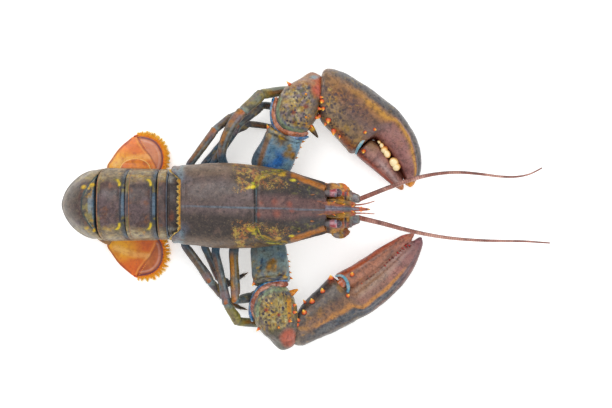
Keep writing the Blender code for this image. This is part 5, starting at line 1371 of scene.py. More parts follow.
def coat_crusher(palm, moving):
    """A mottled palm, rosy fingers, an ochre band with a painted sheen along the outer side and a blue-grey
    margin.
    """
    c = Coat(palm, (138, 108, 88), fleck=0.12)
    across, rise = from_axis(c.at, c.share, flow(CRUSHER_PALM, SPANS))
    share = c.share / SPANS
    finger = steps(share, 6.6, 9.0)
    c.patches((104, 78, 76), 11, 0.5, 2, 0.8)
    c.patches((168, 126, 84), 8, 0.45, 6, 0.75 * (1 - finger))
    palm_zone = fade(share, 5.6, 7.6) * fade(across, 0.2, 0.6)
    c.lay((160, 138, 104), palm_zone * steps(share, 1.5, 3.0) * 0.65)
    c.patches((192, 154, 84), 4.0, 0.34, 8, palm_zone * 0.85)
    c.patches((70, 60, 64), 2.2, 0.3, 18, palm_zone * 0.7)
    c.lay((146, 96, 60), band(share, 2.5, 7.0, 1.2) * band(across, 0.0, 0.5, 0.2) * 0.8)
    c.lay((168, 119, 116), finger * 0.85)
    c.patches((132, 82, 80), 6, 0.4, 12, finger * 0.6, 0.12)
    c.patches((186, 132, 114), 5, 0.3, 13, finger * 0.6, 0.12)
    c.lay((112, 84, 84), band(share, 4.4, 8.2, 1.2) * band(across, -0.35, 0.4, 0.2) * 0.6)
    c.lay((178, 138, 128), finger * band(across, -0.6, 0.0, 0.25) * steps(grain(c.at, 8, 14), 0.5, 0.7) * 0.6)
    wave = ripple(c.at, 9, 17, 0.22)
    band_sheen_span = steps(share, 3.0, 6.5) * fade(share, 13.2, 14.6)
    wave += 0.12 * steps(share, 8.0, 11.0)
    # The ochre band is partly the claw's own colour and partly a painted sheen; its bright middle is painted
    # sheen.
    c.lay((186, 134, 84), band(across + wave, 0.4, 0.68, 0.13) * band_sheen_span * 0.75)
    c.lay((222, 168, 94), band(across + wave, 0.52, 0.68, 0.07) * band_sheen_span * 0.8)
    c.lay((106, 104, 102), steps(across + wave, 0.7, 0.82) * 0.92)
    c.spot((98, 66, 54), (32.7, 67.6), 5.6, 0.55, soft=0.9, stretch=(0.9, 1.3, 1))
    c.patches((84, 84, 92), 3.4, 0.35, 15, steps(across + wave, 0.66, 0.84) * 0.7)
    c.patches((152, 128, 80), 2.4, 0.3, 16, steps(across + wave, 0.66, 0.84) * (1 - finger * 0.6) * 0.7)
    c.lay((150, 152, 156), steps(across, 0.88, 0.98) * 0.4)
    c.lay((168, 132, 98), fade(share, 1.0, 4.0) * steps(across, 0.2, 0.7) * 0.7)
    c.lay((150, 70, 48), band(rise, -1.0, 0.5, 0.2) * steps(-across, 0.86, 0.97) * finger * 0.9)
    c.lay((168, 84, 56), steps(-across, 0.6, 0.9) * band(share, 4.6, 7.2, 0.5) * steps(rise, 0.0, 0.5) * 0.7)
    c.lay((60, 46, 46), fade(share, 1.6, 3.4) * steps(-across, 0.35, 0.75) * 0.85)
    c.lay((156, 144, 132), steps(-rise, 0.1, 0.6) * 0.6)
    # Dark red-brown on the finger's lower biting face: partly the edge's own red, partly painted shade in the
    # gape.
    c.lay((96, 46, 38), steps(-across, 0.72, 0.9) * steps(share, 6.2, 7.0) * fade(rise, 0.35, 0.8) * 0.9)
    c.lay((240, 160, 70), steps(share, 13.8, 14.6) * 0.85)
    c.dots += palm_zone * 0.8 + steps(across, 0.6, 0.8) * 0.6
    c.fleck += palm_zone * 0.5 + band(across, 0.1, 0.7, 0.2) * (1 - finger) * 0.3 + steps(across, 0.66,
                                                                                          0.84) * 0.3
    wear(c.dry(), CLAW, "claws", "crusher_palm")
    coat_crusher_thumb(moving)


def coat_crusher_thumb(moving):
    c = Coat(moving, (176, 130, 120), fleck=0.12)
    across, rise = from_axis(c.at, c.share, flow(CRUSHER_THUMB, SPANS))
    share = c.share / SPANS
    c.patches((124, 84, 80), 6, 0.45, 3, 0.7)
    # Painted highlight: a pale grey-lavender streak along the top of the thumb.
    c.lay((198, 176, 174),
          ridge(across + 0.05, 0, 0.3) * steps(share, 1.5, 3.0) * 0.55 * steps(rise, 0.2, 0.8))
    c.lay((150, 122, 84), fade(share, 0.6, 2.0) * steps(across, -0.2, 0.5) * 0.7)
    c.lay((170, 78, 56), steps(-across, 0.45, 0.8) * 0.85)
    c.lay((120, 60, 50), steps(-across, 0.84, 0.98) * 0.7)
    # Dark red-brown on the thumb's lower biting face: partly the edge's own red, partly painted shade in the
    # gape.
    c.lay((96, 50, 42), steps(across, 0.74, 0.95) * fade(rise, 0.4, 0.8) * 0.85)
    c.lay((226, 140, 70), steps(share, 5.4, 6.0) * 0.8)
    c.lay((160, 140, 130), steps(-rise, 0.1, 0.6) * 0.5)
    wear(c.dry(), CLAW, "claws", "crusher_thumb")


def coat_cutter(palm, moving):
    """As the crusher, with a narrower band, a darker margin and a smooth pale outer edge."""
    c = Coat(palm, (114, 95, 78), fleck=0.12)
    across, rise = from_axis(c.at, c.share, flow(CUTTER_PALM, SPANS))
    across = -across
    share = c.share / SPANS
    finger = steps(share, 6.0, 8.0)
    c.patches((98, 88, 82), 8, 0.5, 2, 0.8)
    c.patches((172, 130, 74), 4.0, 0.3, 9, 0.8 * (1 - finger))
    c.patches((70, 76, 84), 5.0, 0.3, 4, fade(share, 3.0, 5.5) * 0.7)
    c.lay((162, 120, 106), finger * 0.8)
    c.patches((184, 126, 110), 7, 0.45, 12, finger * 0.7, 0.12)
    c.lay((176, 142, 116), finger * band(across, -1.1, -0.35, 0.15) * 0.7)
    c.lay((150, 108, 112), steps(share, 9.0, 12.5) * 0.6)
    wave = ripple(c.at, 9, 17, 0.2)
    c.lay((206, 144, 82), band(across + wave, 0.24, 0.5, 0.08) * band(share, 3.0, 11.0, 1.0) * 0.9)
    c.lay((172, 120, 84), band(across + wave, -0.1, 0.34, 0.15) * band(share, 2.0, 7.0, 1.0) * 0.45)
    c.lay((104, 108, 112), band(across + wave, 0.5, 0.88, 0.07) * steps(share, 1.6, 3.6) * 0.9)
    c.patches((66, 76, 92), 2.4, 0.4, 15, band(across + wave, 0.5, 0.9, 0.08) * steps(share, 1.6, 3.6) * 0.75)
    c.lay((150, 148, 144), steps(across, 0.86, 0.98) * 0.7)
    c.lay((150, 100, 96), finger * steps(across, 0.3, 0.7) * steps(share, 9.0, 12.0) * 0.6)
    c.lay((182, 170, 148), fade(share, 0.6, 2.4) * steps(across, 0.2, 0.8) * 0.7)
    c.lay((58, 66, 78), steps(-across, 0.55, 0.85) * band(share, 0.5, 5.0, 0.6) * 0.75)
    c.lay((176, 84, 58), band(share, 5.2, 6.4, 0.3) * steps(-across, 0.6, 0.9) * 0.7)
    c.lay((110, 54, 44), finger * steps(-across, 1.06, 1.2) * band(rise, -0.2, 0.8, 0.2) * 0.7)
    c.lay((160, 150, 138), steps(-rise, 0.1, 0.6) * 0.55)
    c.lay((146, 92, 108), steps(share, 12.6, 14.0) * 0.6)
    c.dots += (1 - finger) * band(share, 0.5, 5.5, 1.0) * 0.55
    c.fleck += (1 - finger) * 0.4
    wear(c.dry(), CLAW, "claws", "cutter_palm")
    coat_cutter_thumb(moving)


def coat_cutter_thumb(moving):
    c = Coat(moving, (186, 128, 104), fleck=0.15)
    across, rise = from_axis(c.at, c.share, flow(CUTTER_THUMB, SPANS))
    share = c.share / SPANS
    c.patches((118, 84, 74), 6, 0.45, 3, 0.7)
    c.patches((196, 132, 84), 5, 0.28, 13, 0.7)
    c.lay((196, 96, 64), steps(across, 0.35, 0.75) * 0.85)
    c.lay((150, 64, 48), steps(across, 0.84, 0.98) * 0.7)
    c.lay((150, 104, 84), steps(-across, 0.4, 0.8) * 0.6)
    c.lay((108, 52, 42), steps(-across, 1.06, 1.2) * 0.6)
    c.lay((176, 104, 100), steps(share, 3.5, 5.5) * 0.5)
    c.lay((160, 146, 130), steps(-rise, 0.1, 0.6) * 0.5)
    wear(c.dry(), CLAW, "claws", "cutter_thumb")


def bite_row(name, rows, sides):
    """Small red teeth along an edge, each at a place of its own and leaning across the gape."""
    places = [spine_place((x, y, z), way, length, radius, 0.5) for x, y, z, way, length, radius in rows]
    made = sow(name, places, model_spine, sides)
    return wear(mottled(made, (184, 52, 36), ((112, 30, 26), 3.0, 0.45, 3, 0.9),
                        ((226, 110, 60), 2.2, 0.25, 5, 0.8)), HEAD, "claws")


def edge_places(stations, side, first, last, count, size):
    """Teeth at even steps along one edge of a finger."""
    rows = np.array(stations, float)
    made = []
    for i in range(count):
        place = first + (last - first) * i / (count - 1)
        x, y, z, wide, _, yaw = (np.interp(place, np.arange(len(rows)), rows[:, n]) for n in range(6))
        way = Vector((-math.sin(math.radians(yaw)), math.cos(math.radians(yaw)), 0)) * side
        root = Vector((x, y, z)) + way * (wide * 0.98)
        grown = size * draw.uniform(0.6, 1.25)
        made.append((root.x, root.y, z + draw.uniform(3.0, 3.8), way * 0.8 + Vector((0, 0, 0.8)), grown,
                     grown * 0.7))
    return made


CRUSHER_SPINES = (
    # x, y, length, radius, way out seen from above
    (8.9, 68.4, 2.6, 1.6, (-0.2, -0.6)), (10.8, 63.0, 2.0, 1.3, (-0.1, -0.6)),
    (7.6, 59.2, 3.0, 1.5, (-0.4, -0.8)),
    (13.9, 56.1, 2.8, 1.9, (0, -0.9)), (17.1, 49.7, 3.4, 1.9, (0.2, -0.9)),
    (37.4, 48.4, 1.6, 1.2, (0.3, -0.3)),
    (43.7, 50.7, 1.8, 1.1, (0.5, 0)), (20.6, 46.0, 1.6, 1.0, (0, -0.8)), (12.2, 53.6, 1.6, 1.1, (-0.3, -0.9)),
)
CUTTER_SPINES = (
    (-6.4, -71.9, 2.6, 1.5, (-0.6, 0.5)), (-5.7, -69.1, 2.2, 1.4, (-0.6, 0.6)),
    (-1.5, -63.9, 2.8, 1.8, (-0.4, 0.7)),
    (4.0, -57.0, 2.8, 1.9, (-0.3, 0.8)), (9.9, -51.2, 2.6, 1.7, (-0.3, 0.8)),
    (-2.5, -57.7, 2.2, 1.1, (-0.6, 0.8)),
    (16.2, -42.6, 2.4, 2.0, (-0.2, 0.8)), (27.8, -53.9, 1.8, 1.4, (0.3, 0.2)),
)
MOLAR_LEVEL = 15.6
MOLAR_TILT = 0.2
MOLARS = (
    # x, y, half length, half width, heading, steps of tilt
    (46.6, 43.3, 1.3, 1.0, -40, 3), (48.3, 41.0, 1.9, 1.5, -70, 2), (50.0, 38.4, 2.4, 2.4, -30, 4),
    (51.6, 35.7, 3.0, 2.3, -62, 1), (56.0, 30.3, 3.4, 3.1, -56, 1), (57.7, 27.3, 2.6, 2.7, -40, 2),
)


def model_claws():
    palm, moving = model_claw("crusher", CRUSHER_PALM, CRUSHER_TIP, CRUSHER_THUMB, CRUSHER_THUMB_TIP, LEFT)
    grow_spines("crusher_spines", palm, CRUSHER_SPINES, (0.6, -0.3, 0))
    grow_spines("crusher_thumb_spine", moving, ((36.2, 36.4, 2.4, 1.5, (-0.2, -0.5)),), (0.6, -0.3, 0))
    places = []
    for x, y, long, wide, yaw, tilt in MOLARS:
        spot = Matrix.Translation((x, y, MOLAR_LEVEL)) @ Matrix.Rotation(math.radians(yaw), 4, "Z")
        places.append(spot @ Matrix.Rotation(tilt * MOLAR_TILT, 4,
                                             "X") @ Matrix.Diagonal((long, wide, wide * 1.25)).to_4x4())
    wear(sow("crusher_molars", places, model_tooth), TOOTH, "claws")
    coat_crusher(palm, moving)
    palm, moving = model_claw("cutter", CUTTER_PALM, CUTTER_TIP, CUTTER_THUMB, CUTTER_THUMB_TIP, RIGHT)
    grow_spines("cutter_spines", palm, CUTTER_SPINES, (0.6, 0.3, 0))
    grow_spines("cutter_thumb_spine", moving, ((28.5, -40.4, 2.2, 1.6, (-0.3, 0.6)),), (0.6, 0.3, 0))
    bite_row("cutter_teeth", edge_places(CUTTER_PALM, LEFT, 7.2, 13.0, 22, 1.3)
             + edge_places(CUTTER_THUMB, RIGHT, 1.2, 5.6, 20, 1.1), 6)
    coat_cutter(palm, moving)
    hinge_skin()


# The fold of skin at each thumb hinge: name, line and radius.
HINGE_SKINS = (
    ("crusher_hinge_skin", ((31.6, 35.4, 17.6), (32.4, 38.1, 20.2), (33.8, 40.6, 22.0), (35.8, 43.4, 22.6),
                            (38.6, 46.6, 21.8)), 1.15),
    ("cutter_hinge_skin", ((18.6, -42.4, 15.4), (22.0, -41.6, 16.4), (25.4, -44.2, 17.0), (26.9, -48.6, 17.2),
                           (26.2, -52.6, 16.8), (22.6, -53.4, 17.2), (20.0, -50.4, 17.0)), 1.2),
)


def hinge_skin():
    """Soft skin of the two thumb hinges: a pale blue fold, and on the cutter a red-brown pad inside it."""
    for name, line, radius in HINGE_SKINS:
        rows = flow([(*p, radius) for p in line], 3)
        stations = []
        for k, row in enumerate(rows):
            ahead = np.array(rows[min(k + 1, len(rows) - 1)][:3]) - np.array(rows[max(k - 1, 0)][:3])
            thin = 0.55 + 0.45 * math.sin(math.pi * k / (len(rows) - 1))
            stations.append((*row[:3], row[3] * thin, row[3] * thin * 0.8, tuple(ahead)))
        fold = limb(name, stations, 8, 2.0, 2)
        wear(mottled(fold, (118, 170, 186), ((66, 120, 150), 3, 0.45, 2, 0.8),
                     ((206, 214, 196), 2, 0.25, 5, 0.7)), MEMBRANE, "joints")
    pad = ball("cutter_hinge_pad", 32, 20, 1.0, (22.2, -47.6, 15.0), (5.4, 3.4, 2.4),
               (0, 0, math.radians(50)))
    at, out = coords(pad), outward(pad)
    shape(pad, at + out * ripple(at, 2.4, 3, 0.8)[:, None])
    refine(pad, 1)
    wear(mottled(pad, (170, 84, 58), ((206, 120, 76), 3, 0.4, 2, 0.7), ((110, 54, 44), 2, 0.3, 4, 0.7)),
         MEMBRANE, "joints")


model_claws()


# Claw arms from the chest to the wrist: socket, hip, elbow side and wrist.
# Each is (x, y, z, half width, half height).

ARM_JOINTS = {
    LEFT: ((-28.0, 9.5, 10.6, 6.0, 4.8), (-25.2, 18.5, 10.4, 6.4, 3.8), (-22.4, 24.4, 12.0, 10.6, 4.5),
           (-12.8, 50.0, 19.5, 11.6, 7.0)),
    RIGHT: ((-28.0, -5.0, 10.6, 6.0, 4.8), (-25.8, -14.6, 10.4, 6.4, 3.8), (-24.5, -20.4, 12.0, 10.2, 4.5),
            (-21.6, -47.0, 19.5, 11.6, 7.0)),
}
WRISTS = {
    LEFT: {"centre": (-4.9, 66.8, 21.0), "half": (19.2, 13.4, 11.6), "turn": 72.0, "power": 2.8,
           "end": (8.0, 87.2, 15.6),
           "palm": CRUSHER_PALM[0], "flat": ((-0.254, 0.967, 0.0), 74.0, 0.39),
           "rim": ((-16.4, 70.4), (-18.0, 64.4), (-17.4, 58.0), (-14.2, 53.0), (-8.4, 50.4), (-2.0, 50.0))},
    RIGHT: {"centre": (-19.4, -65.8, 20.4), "half": (20.4, 13.9, 11.2), "turn": -78.0, "power": 2.4,
            "end": (-11.8, -89.4, 14.6), "palm": CUTTER_PALM[0], "flat": ((-0.463, -0.886, 0.0), 78.0, 0.37),
            "rim": ((-30.8, -67.0), (-30.4, -60.0), (-27.0, -53.8), (-20.6, -50.6), (-13.4, -49.6),
                    (-9.6, -51.6))},
}
JOINT_GAP = 0.3


def joint_way(joints, number):
    """The heading halfway between the parts before and after a joint."""
    here = Vector(joints[number][:3])
    before = (here - Vector(joints[number - 1][:3])).normalized()
    after = (Vector(joints[number + 1][:3]) - here).normalized()
    return (before + after).normalized()


def strip(name, line, colour, marks):
    """A fold of skin round a joint, along a line of (x, y, z, half width, half height)."""
    rows = flow(line, 3)
    stations = []
    for k, row in enumerate(rows):
        ahead = np.array(rows[min(k + 1, len(rows) - 1)][:3]) - np.array(rows[max(k - 1, 0)][:3])
        small = 0.5 + 0.5 * min(1.0, 2.6 * math.sin(math.pi * k / (len(rows) - 1)))
        stations.append((*row[:3], row[3] * small, row[4] * small, tuple(ahead)))
    fold = limb(name, stations, 10, 2.2, 2)
    at, out = coords(fold), outward(fold)
    shape(fold, at + out * ripple(at, 2.4, 6, 0.5)[:, None])
    c = Coat(fold, colour)
    for k, (shade, size, share) in enumerate(marks):
        c.patches(shade, size, share, k + 2, 0.8)
    return wear(c.dry(), MEMBRANE, "joints")


def model_arm(hand, word):
    """The hip, the flattened upper arm that widens to its end, and the wrist."""
    joints = ARM_JOINTS[hand]
    at_joint = [Vector(j[:3]) for j in joints]
    ways = [None, joint_way(joints, 1), joint_way(joints, 2), (at_joint[3] - at_joint[2]).normalized()]
    inner = -hand
    model_hip(word, at_joint, ways)

    rows = []
    for share, wide, tall in ((-0.06, 9.6, 4.0), (0.03, 10.7, 4.6), (0.2, 11.5, 5.0), (0.38, 11.8, 5.6),
                              (0.55, 12.0, 6.2),
                              (0.72, 12.0, 6.8), (0.85, 12.1, 7.2), (0.92, 12.3, 7.5), (0.97, 11.8, 7.3),
                              (1.0, 11.0, 6.7)):
        spot = at_joint[2].lerp(at_joint[3], share) + ways[3] * (JOINT_GAP / 2) * (1 - 2 * share)
        rows.append((*spot, wide, tall, tuple(ways[2].lerp(ways[3], min(1.0, share * 4)))))
    upper = limb(f"arm_{word}_upper_shell", rows, 20, 2.6, 2)
    at, out, share = coords(upper), outward(upper), values(upper, "share")
    across, rise = from_axis(at, share, rows)
    lift = 0.25 * ridge(share, 7.0, 0.5) - 0.3 * ridge(share, 6.2, 0.5)
    lift += 0.5 * ridge(np.abs(across), 0.9, 0.1) * band(share, 1.5, 6.0, 0.8)
    lift -= 0.35 * ridge(across, 0, 0.25) * steps(rise, 0.2, 0.8) * band(share, 2, 6, 1)
    lift += ripple(at, 6.0, 9, 0.8) + ripple(at, 2.0, 10, 0.25)
    side = UP.cross(ways[3]).normalized()
    front = side * inner
    at = at + out * lift[:, None]
    if hand == LEFT:
        rear = steps(-across * inner, 0.0, 0.9) * fade(share, 1.0, 5.0)
        at -= np.array(front) * (3.6 * rear)[:, None]
    shape(upper, at)
    grow_arm_spines(word, at_joint, ways, front)
    coat_upper_arm(upper, rows, hand, word)
    model_wrist(hand, word, at_joint[3] + ways[3] * (JOINT_GAP / 2), ways[3])


def grow_arm_spines(word, at_joint, ways, front):
    """A row of spines along the front edge of the upper arm, and one at the end of its rear edge."""
    places = []
    for share_along, size in ((0.34, 1.5), (0.5, 2.2), (0.62, 1.7), (0.76, 2.3), (0.9, 2.7)):
        root = at_joint[2].lerp(at_joint[3], share_along) + front * 11.6 + UP * draw.uniform(-0.6, 0.8)
        places.append(spine_place(root, front + ways[3] * 0.5 + UP * 0.2, size, size * 0.42, 0.7))
    rear = at_joint[2].lerp(at_joint[3], 0.93) - front * 11.0 + UP * 2
    places.append(spine_place(rear, ways[3] * 0.7 - front * 0.7 + UP * 0.3, 3.0, 1.5, 1.0))
    wear(sow(f"arm_{word}_upper_spines", places, model_spine), SPINE, "claws")


def coat_upper_arm(upper, rows, hand, word):
    """Blue-grey with brown and ochre at the far end. The left one is bluer; the right one's ground is
    lighter, partly as painted light against the shade on it.
    """
    inner = -hand
    # The right arm's lighter ground is partly painted light, laid against the shade that falls on that arm.
    c = Coat(upper, (124, 156, 178) if hand == LEFT else (146, 164, 160), fleck=0.2, depth=0.9)
    across, rise = from_axis(c.at, c.share, rows)
    across = across * inner
    share = c.share
    c.patches((84, 116, 132), 6, 0.45, 2, 0.65, 0.12)
    c.patches((152, 186, 196), 4, 0.3, 4, 0.6, 0.12)
    c.lay((62, 118, 196),
          band(share, 0.8, 3.8, 0.8) * band(across, -0.5, 0.8, 0.2) * steps(grain(c.at, 6, 3), 0.34, 0.54)
          * (0.8 if hand == LEFT else 0.2))
    c.lay((140, 96, 50),
          band(across, -0.9, -0.62, 0.06) * fade(share, 4.5, 7.0) * (0.85 if hand == LEFT else 0.2))
    c.lay((76, 86, 100), steps(-across, 0.86, 0.98) * 0.7)
    end = steps(share + ripple(c.at, 6, 13, 3), 4.6, 6.8)
    c.lay((130, 118, 86), end * fade(across, 0.1, 0.8) * 0.75)
    c.patches((196, 156, 70), 3.0, 0.35, 8, end * 0.9)
    c.patches((60, 52, 60), 2.4, 0.35, 14, end * 0.8)
    if hand == LEFT:
        for place, size in (((-12.4, 35.4), 3.0), ((-8.6, 34.0), 2.6), ((-10.2, 38.6), 1.8)):
            c.spot((152, 118, 48), place, size, 0.85, soft=0.7)
        c.spot((196, 140, 60), (-8.4, 35.8), 1.6, 0.8, soft=0.8)
        c.lay((150, 186, 196), steps(share, 6.6, 7.6) * steps(across, 0.3, 0.8) * 0.7)
    else:
        for place, size in (((-22.6, -34.6), 3.4), ((-19.6, -33.0), 2.2), ((-24.0, -37.4), 2.2),
                            ((-20.0, -37.8), 2.4)):
            c.spot((150, 112, 44), place, size, 0.85, soft=0.7)
        for place in ((-21.0, -31.6), (-23.4, -35.8), (-19.2, -35.6)):
            c.spot((210, 148, 50), place, 1.1, 0.9, soft=0.8)
        c.stroke((36, 60, 90), ((-28, -31), (-29, -38), (-26, -43), (-18, -44), (-14, -40)), 0.8, 0.8)
        c.patches((206, 170, 80), 2.0, 0.32, 17, band(across, -1.0, -0.5, 0.15) * band(share, 3.5, 6.5, 0.8))
    c.lay((150, 96, 80), steps(-across, 0.8, 0.95) * band(share, 6.0, 7.4, 0.4) * 0.7)
    c.lay((172, 160, 136), steps(-rise, 0.05, 0.6) * 0.65)
    wear(c.dry(), LIMB, "claws", f"arm_{word}_upper")


def model_hip(word, at_joint, ways):
    """The short first part of a claw arm."""
    rows = []
    for share, wide, tall in ((0.0, 6.0, 3.6), (0.12, 6.3, 3.8), (0.6, 8.2, 4.1), (0.94, 9.4, 4.1),
                              (1.0, 9.0, 3.7)):
        spot = at_joint[1].lerp(at_joint[2], share) + ways[1] * (JOINT_GAP / 2) * (1 - 2 * share)
        rows.append((*spot, wide, tall, tuple(ways[1].lerp(ways[2], share))))
    hip = limb(f"arm_{word}_hip_shell", rows, 14, 2.4, 2)
    at, out = coords(hip), outward(hip)
    shape(hip, at + out * ripple(at, 3.4, 5, 0.6)[:, None])
    c = Coat(hip, (70, 98, 120), fleck=0.1)
    c.patches((44, 66, 92), 5, 0.45, 2, 0.8)
    c.patches((176, 140, 98), 3, 0.25, 4, 0.6)
    c.lay((176, 164, 140), steps(-c.out[:, 2], 0.1, 0.7) * 0.6)
    wear(c.dry(), LIMB, "claws", f"arm_{word}_hip")


def model_wrist(hand, word, root, root_way):
    """The wrist: a ball pressed into a rounded block, flattened where the arm and the palm meet it."""
    spec = WRISTS[hand]
    centre, half = Vector(spec["centre"]), spec["half"]
    block = ball(f"arm_{word}_wrist_shell", 40, 26)
    at = coords(block)
    at /= np.linalg.norm(at, axis=1)[:, None]
    unit = at.copy()
    power = spec["power"]
    reach = (np.abs(unit) ** power).sum(axis=1) ** (-1.0 / power)
    at = unit * reach[:, None] * np.array(half)
    ahead = heading(spec["turn"])
    side = UP.cross(ahead).normalized()
    axes = np.array([ahead, side, UP])
    at = at @ axes + np.array(centre)
    way, begin, share = spec["flat"]
    at -= np.maximum(0.0, at @ np.array(way) - begin)[:, None] * np.array(way) * share
    knob = Vector(spec["end"]) - centre
    toward = np.array(knob.normalized())
    away = at - np.array(centre)
    facing = away @ toward / np.linalg.norm(away, axis=1)
    reach = away @ toward
    bulge = ridge(1 - facing, 0, 0.10)
    at += toward * (np.maximum(0, knob.length - 1.6 - reach) * bulge)[:, None]
    shape(block, at)
    refine(block, 1)
    at, out = coords(block), outward(block)
    lift = ripple(at, 7.0, 31 + hand, 1.3) + ripple(at, 2.6, 32, 0.45)
    lift += steps(grain(at, 2.2, 33, 2), 0.6, 0.8) * 0.35
    at = at + out * lift[:, None]
    palm = Vector(spec["palm"][:3])
    palm_way = heading(spec["palm"][5])
    for point, way in ((root, -root_way), (palm + palm_way * 1.6, palm_way)):
        past = np.maximum(0.0, (at - np.array(point)) @ np.array(way))
        at -= past[:, None] * np.array(way)
    shape(block, at)
    coat_wrist(block, hand, word, centre)
    grow_wrist_spines(block, hand, word)
    model_tusk(hand, word)
    model_wrist_folds(hand, word, centre)


def coat_wrist(block, hand, word, centre):
    """The coat that both wrists share, round the marks of each."""
    c = Coat(block, (136, 122, 96), fleck=0.4, dots=0.15)
    x, y, z = c.at.T
    upper = steps(c.out[:, 2], -0.1, 0.4)
    if hand == LEFT:
        mark_left_wrist(c, upper)
    else:
        mark_right_wrist(c, upper)
    gone = line_distance(c.at, WRISTS[hand]["rim"])
    c.lay((150, 176, 140), fade(gone, 0.5, 1.4) * steps(z, 18, 23) * 0.7)
    c.lay((52, 108, 140),
          band(gone, 1.2, 2.4, 0.5) * steps(np.hypot(x - centre.x, y - centre.y), 12, 15) * steps(z, 18,
                                                                                                  23) * 0.6)
    c.lay((168, 154, 128), steps(-c.out[:, 2], 0.0, 0.6) * 0.6)
    wear(c.dry(), WRIST, "claws", f"arm_{word}_wrist")


def mark_right_wrist(c, upper):
    """Cream and orange mottling, red knobs, a dark far side and a coral knuckle at the palm."""
    x, y, _ = c.at.T
    c.patches((164, 152, 110), 4, 0.45, 2, 0.7, 0.1)
    c.lay((196, 168, 92),
          fade(np.hypot((x + 17.0) / 1.3, (y + 61.0) / 1.5) + ripple(c.at, 4, 9, 9), 6.5,
               11.0) * upper * 0.65)
    c.patches((222, 166, 60), 2.4, 0.3, 6, upper * fade(-y, 74, 79) * 0.8)
    c.patches((226, 216, 168), 1.6, 0.3, 26, upper * fade(-y, 70, 78) * 0.7)
    c.patches((70, 64, 60), 1.7, 0.32, 27, upper * 0.75)
    c.patches((112, 104, 112), 2.6, 0.36, 5, upper * 0.7)
    c.patches((86, 88, 52), 2.2, 0.3, 15, upper * 0.7)
    c.lay((96, 100, 96), steps(-y, 71.0, 78.0) * steps(x, -24, -14) * 0.7)
    c.lay((60, 50, 50), steps(-y, 74.0, 80.0) * fade(x, -22, -16) * 0.65)
    c.lay((212, 146, 56), band(x, -11.6, -9.4, 0.5) * band(y, -70, -55, 2) * 0.85)
    c.spot((186, 98, 76), (-11.4, -80.6), 5.4, 0.92, soft=0.45, stretch=(1.0, 1.15, 1))
    c.spot((216, 128, 112), (-11.4, -80.0), 3.4, 0.6, soft=0.9)
    c.spot((58, 46, 44), (-11.4, -89.4), 1.3, 0.9)
    for place, size in (((-17.1, -66.1), 1.3), ((-7.1, -64.4), 1.3), ((-25.0, -63.0), 1.5)):
        c.spot((150, 44, 26), place, size, 0.95, soft=0.5)
    c.dots += band(x, -29, -8, 2.0) * band(y, -74, -51, 3.0) * 0.85


def mark_left_wrist(c, upper):
    """Straw yellow on top, red knobs, a brown outer side with painted shade on its front, inner part, and a
    coral knuckle at the palm.
    """
    x, y, _ = c.at.T
    c.patches((160, 152, 140), 4, 0.45, 2, 0.7, 0.1)
    c.lay((196, 164, 92),
          fade(np.hypot((x + 8.5) / 1.1, (y - 62.0) / 1.5) + ripple(c.at, 4, 9, 9), 5.0, 10) * upper * 0.75)
    c.patches((206, 160, 62), 2.6, 0.34, 16, upper * steps(x, -18, -8) * 0.8)
    c.patches((122, 112, 140), 2.6, 0.36, 5, upper * 0.7)
    c.patches((84, 88, 60), 2.4, 0.28, 15, upper * 0.7)
    c.patches((226, 216, 176), 1.6, 0.28, 26, upper * fade(x, 0, 6) * 0.65)
    c.patches((70, 62, 62), 1.7, 0.3, 27, upper * 0.7)
    c.lay((112, 94, 78), steps(x + (67 - y) * 0.35, 1.0, 6.0) * 0.7)
    # Painted shade on the wrist's front, inner part.
    c.lay((70, 52, 44), steps(x - 0.2 * (y - 56), 5.0, 9.0) * fade(y, 62, 72) * 0.85)
    c.patches((214, 158, 60), 2.4, 0.32, 6, steps(x, -14, -6) * fade(y, 60, 68) * 0.9)
    c.lay((178, 124, 84), steps(y - 0.25 * x + ripple(c.at, 4, 19, 6), 77.0, 81.0) * 0.6)
    c.lay((164, 108, 84), steps(y - 0.1 * x, 71.0, 79.0) * steps(x, -2.0, 6.0) * 0.5)
    c.spot((196, 106, 78), (7.6, 77.6), 6.2, 0.9, soft=0.5, stretch=(0.9, 1.2, 1))
    c.spot((222, 122, 108), (8.0, 76.0), 3.6, 0.75, soft=0.9)
    c.spot((196, 150, 104), (4.6, 80.0), 2.4, 0.6, soft=0.9)
    c.spot((150, 190, 200), (5.0, 84.0), 2.2, 0.7, soft=0.8, stretch=(1.4, 0.7, 1))
    for place, size in (((-7.6, 61.8), 1.7), ((0.0, 65.3), 1.9), ((-7.9, 55.5), 1.3)):
        c.spot((122, 50, 36), place, size, 0.95, soft=0.5)
    c.spot((40, 66, 92), (1.9, 77.0), 1.1, 0.9)
    c.dots += band(x, -15, 3, 2.0) * band(y, 52, 77, 3.0) * 0.85


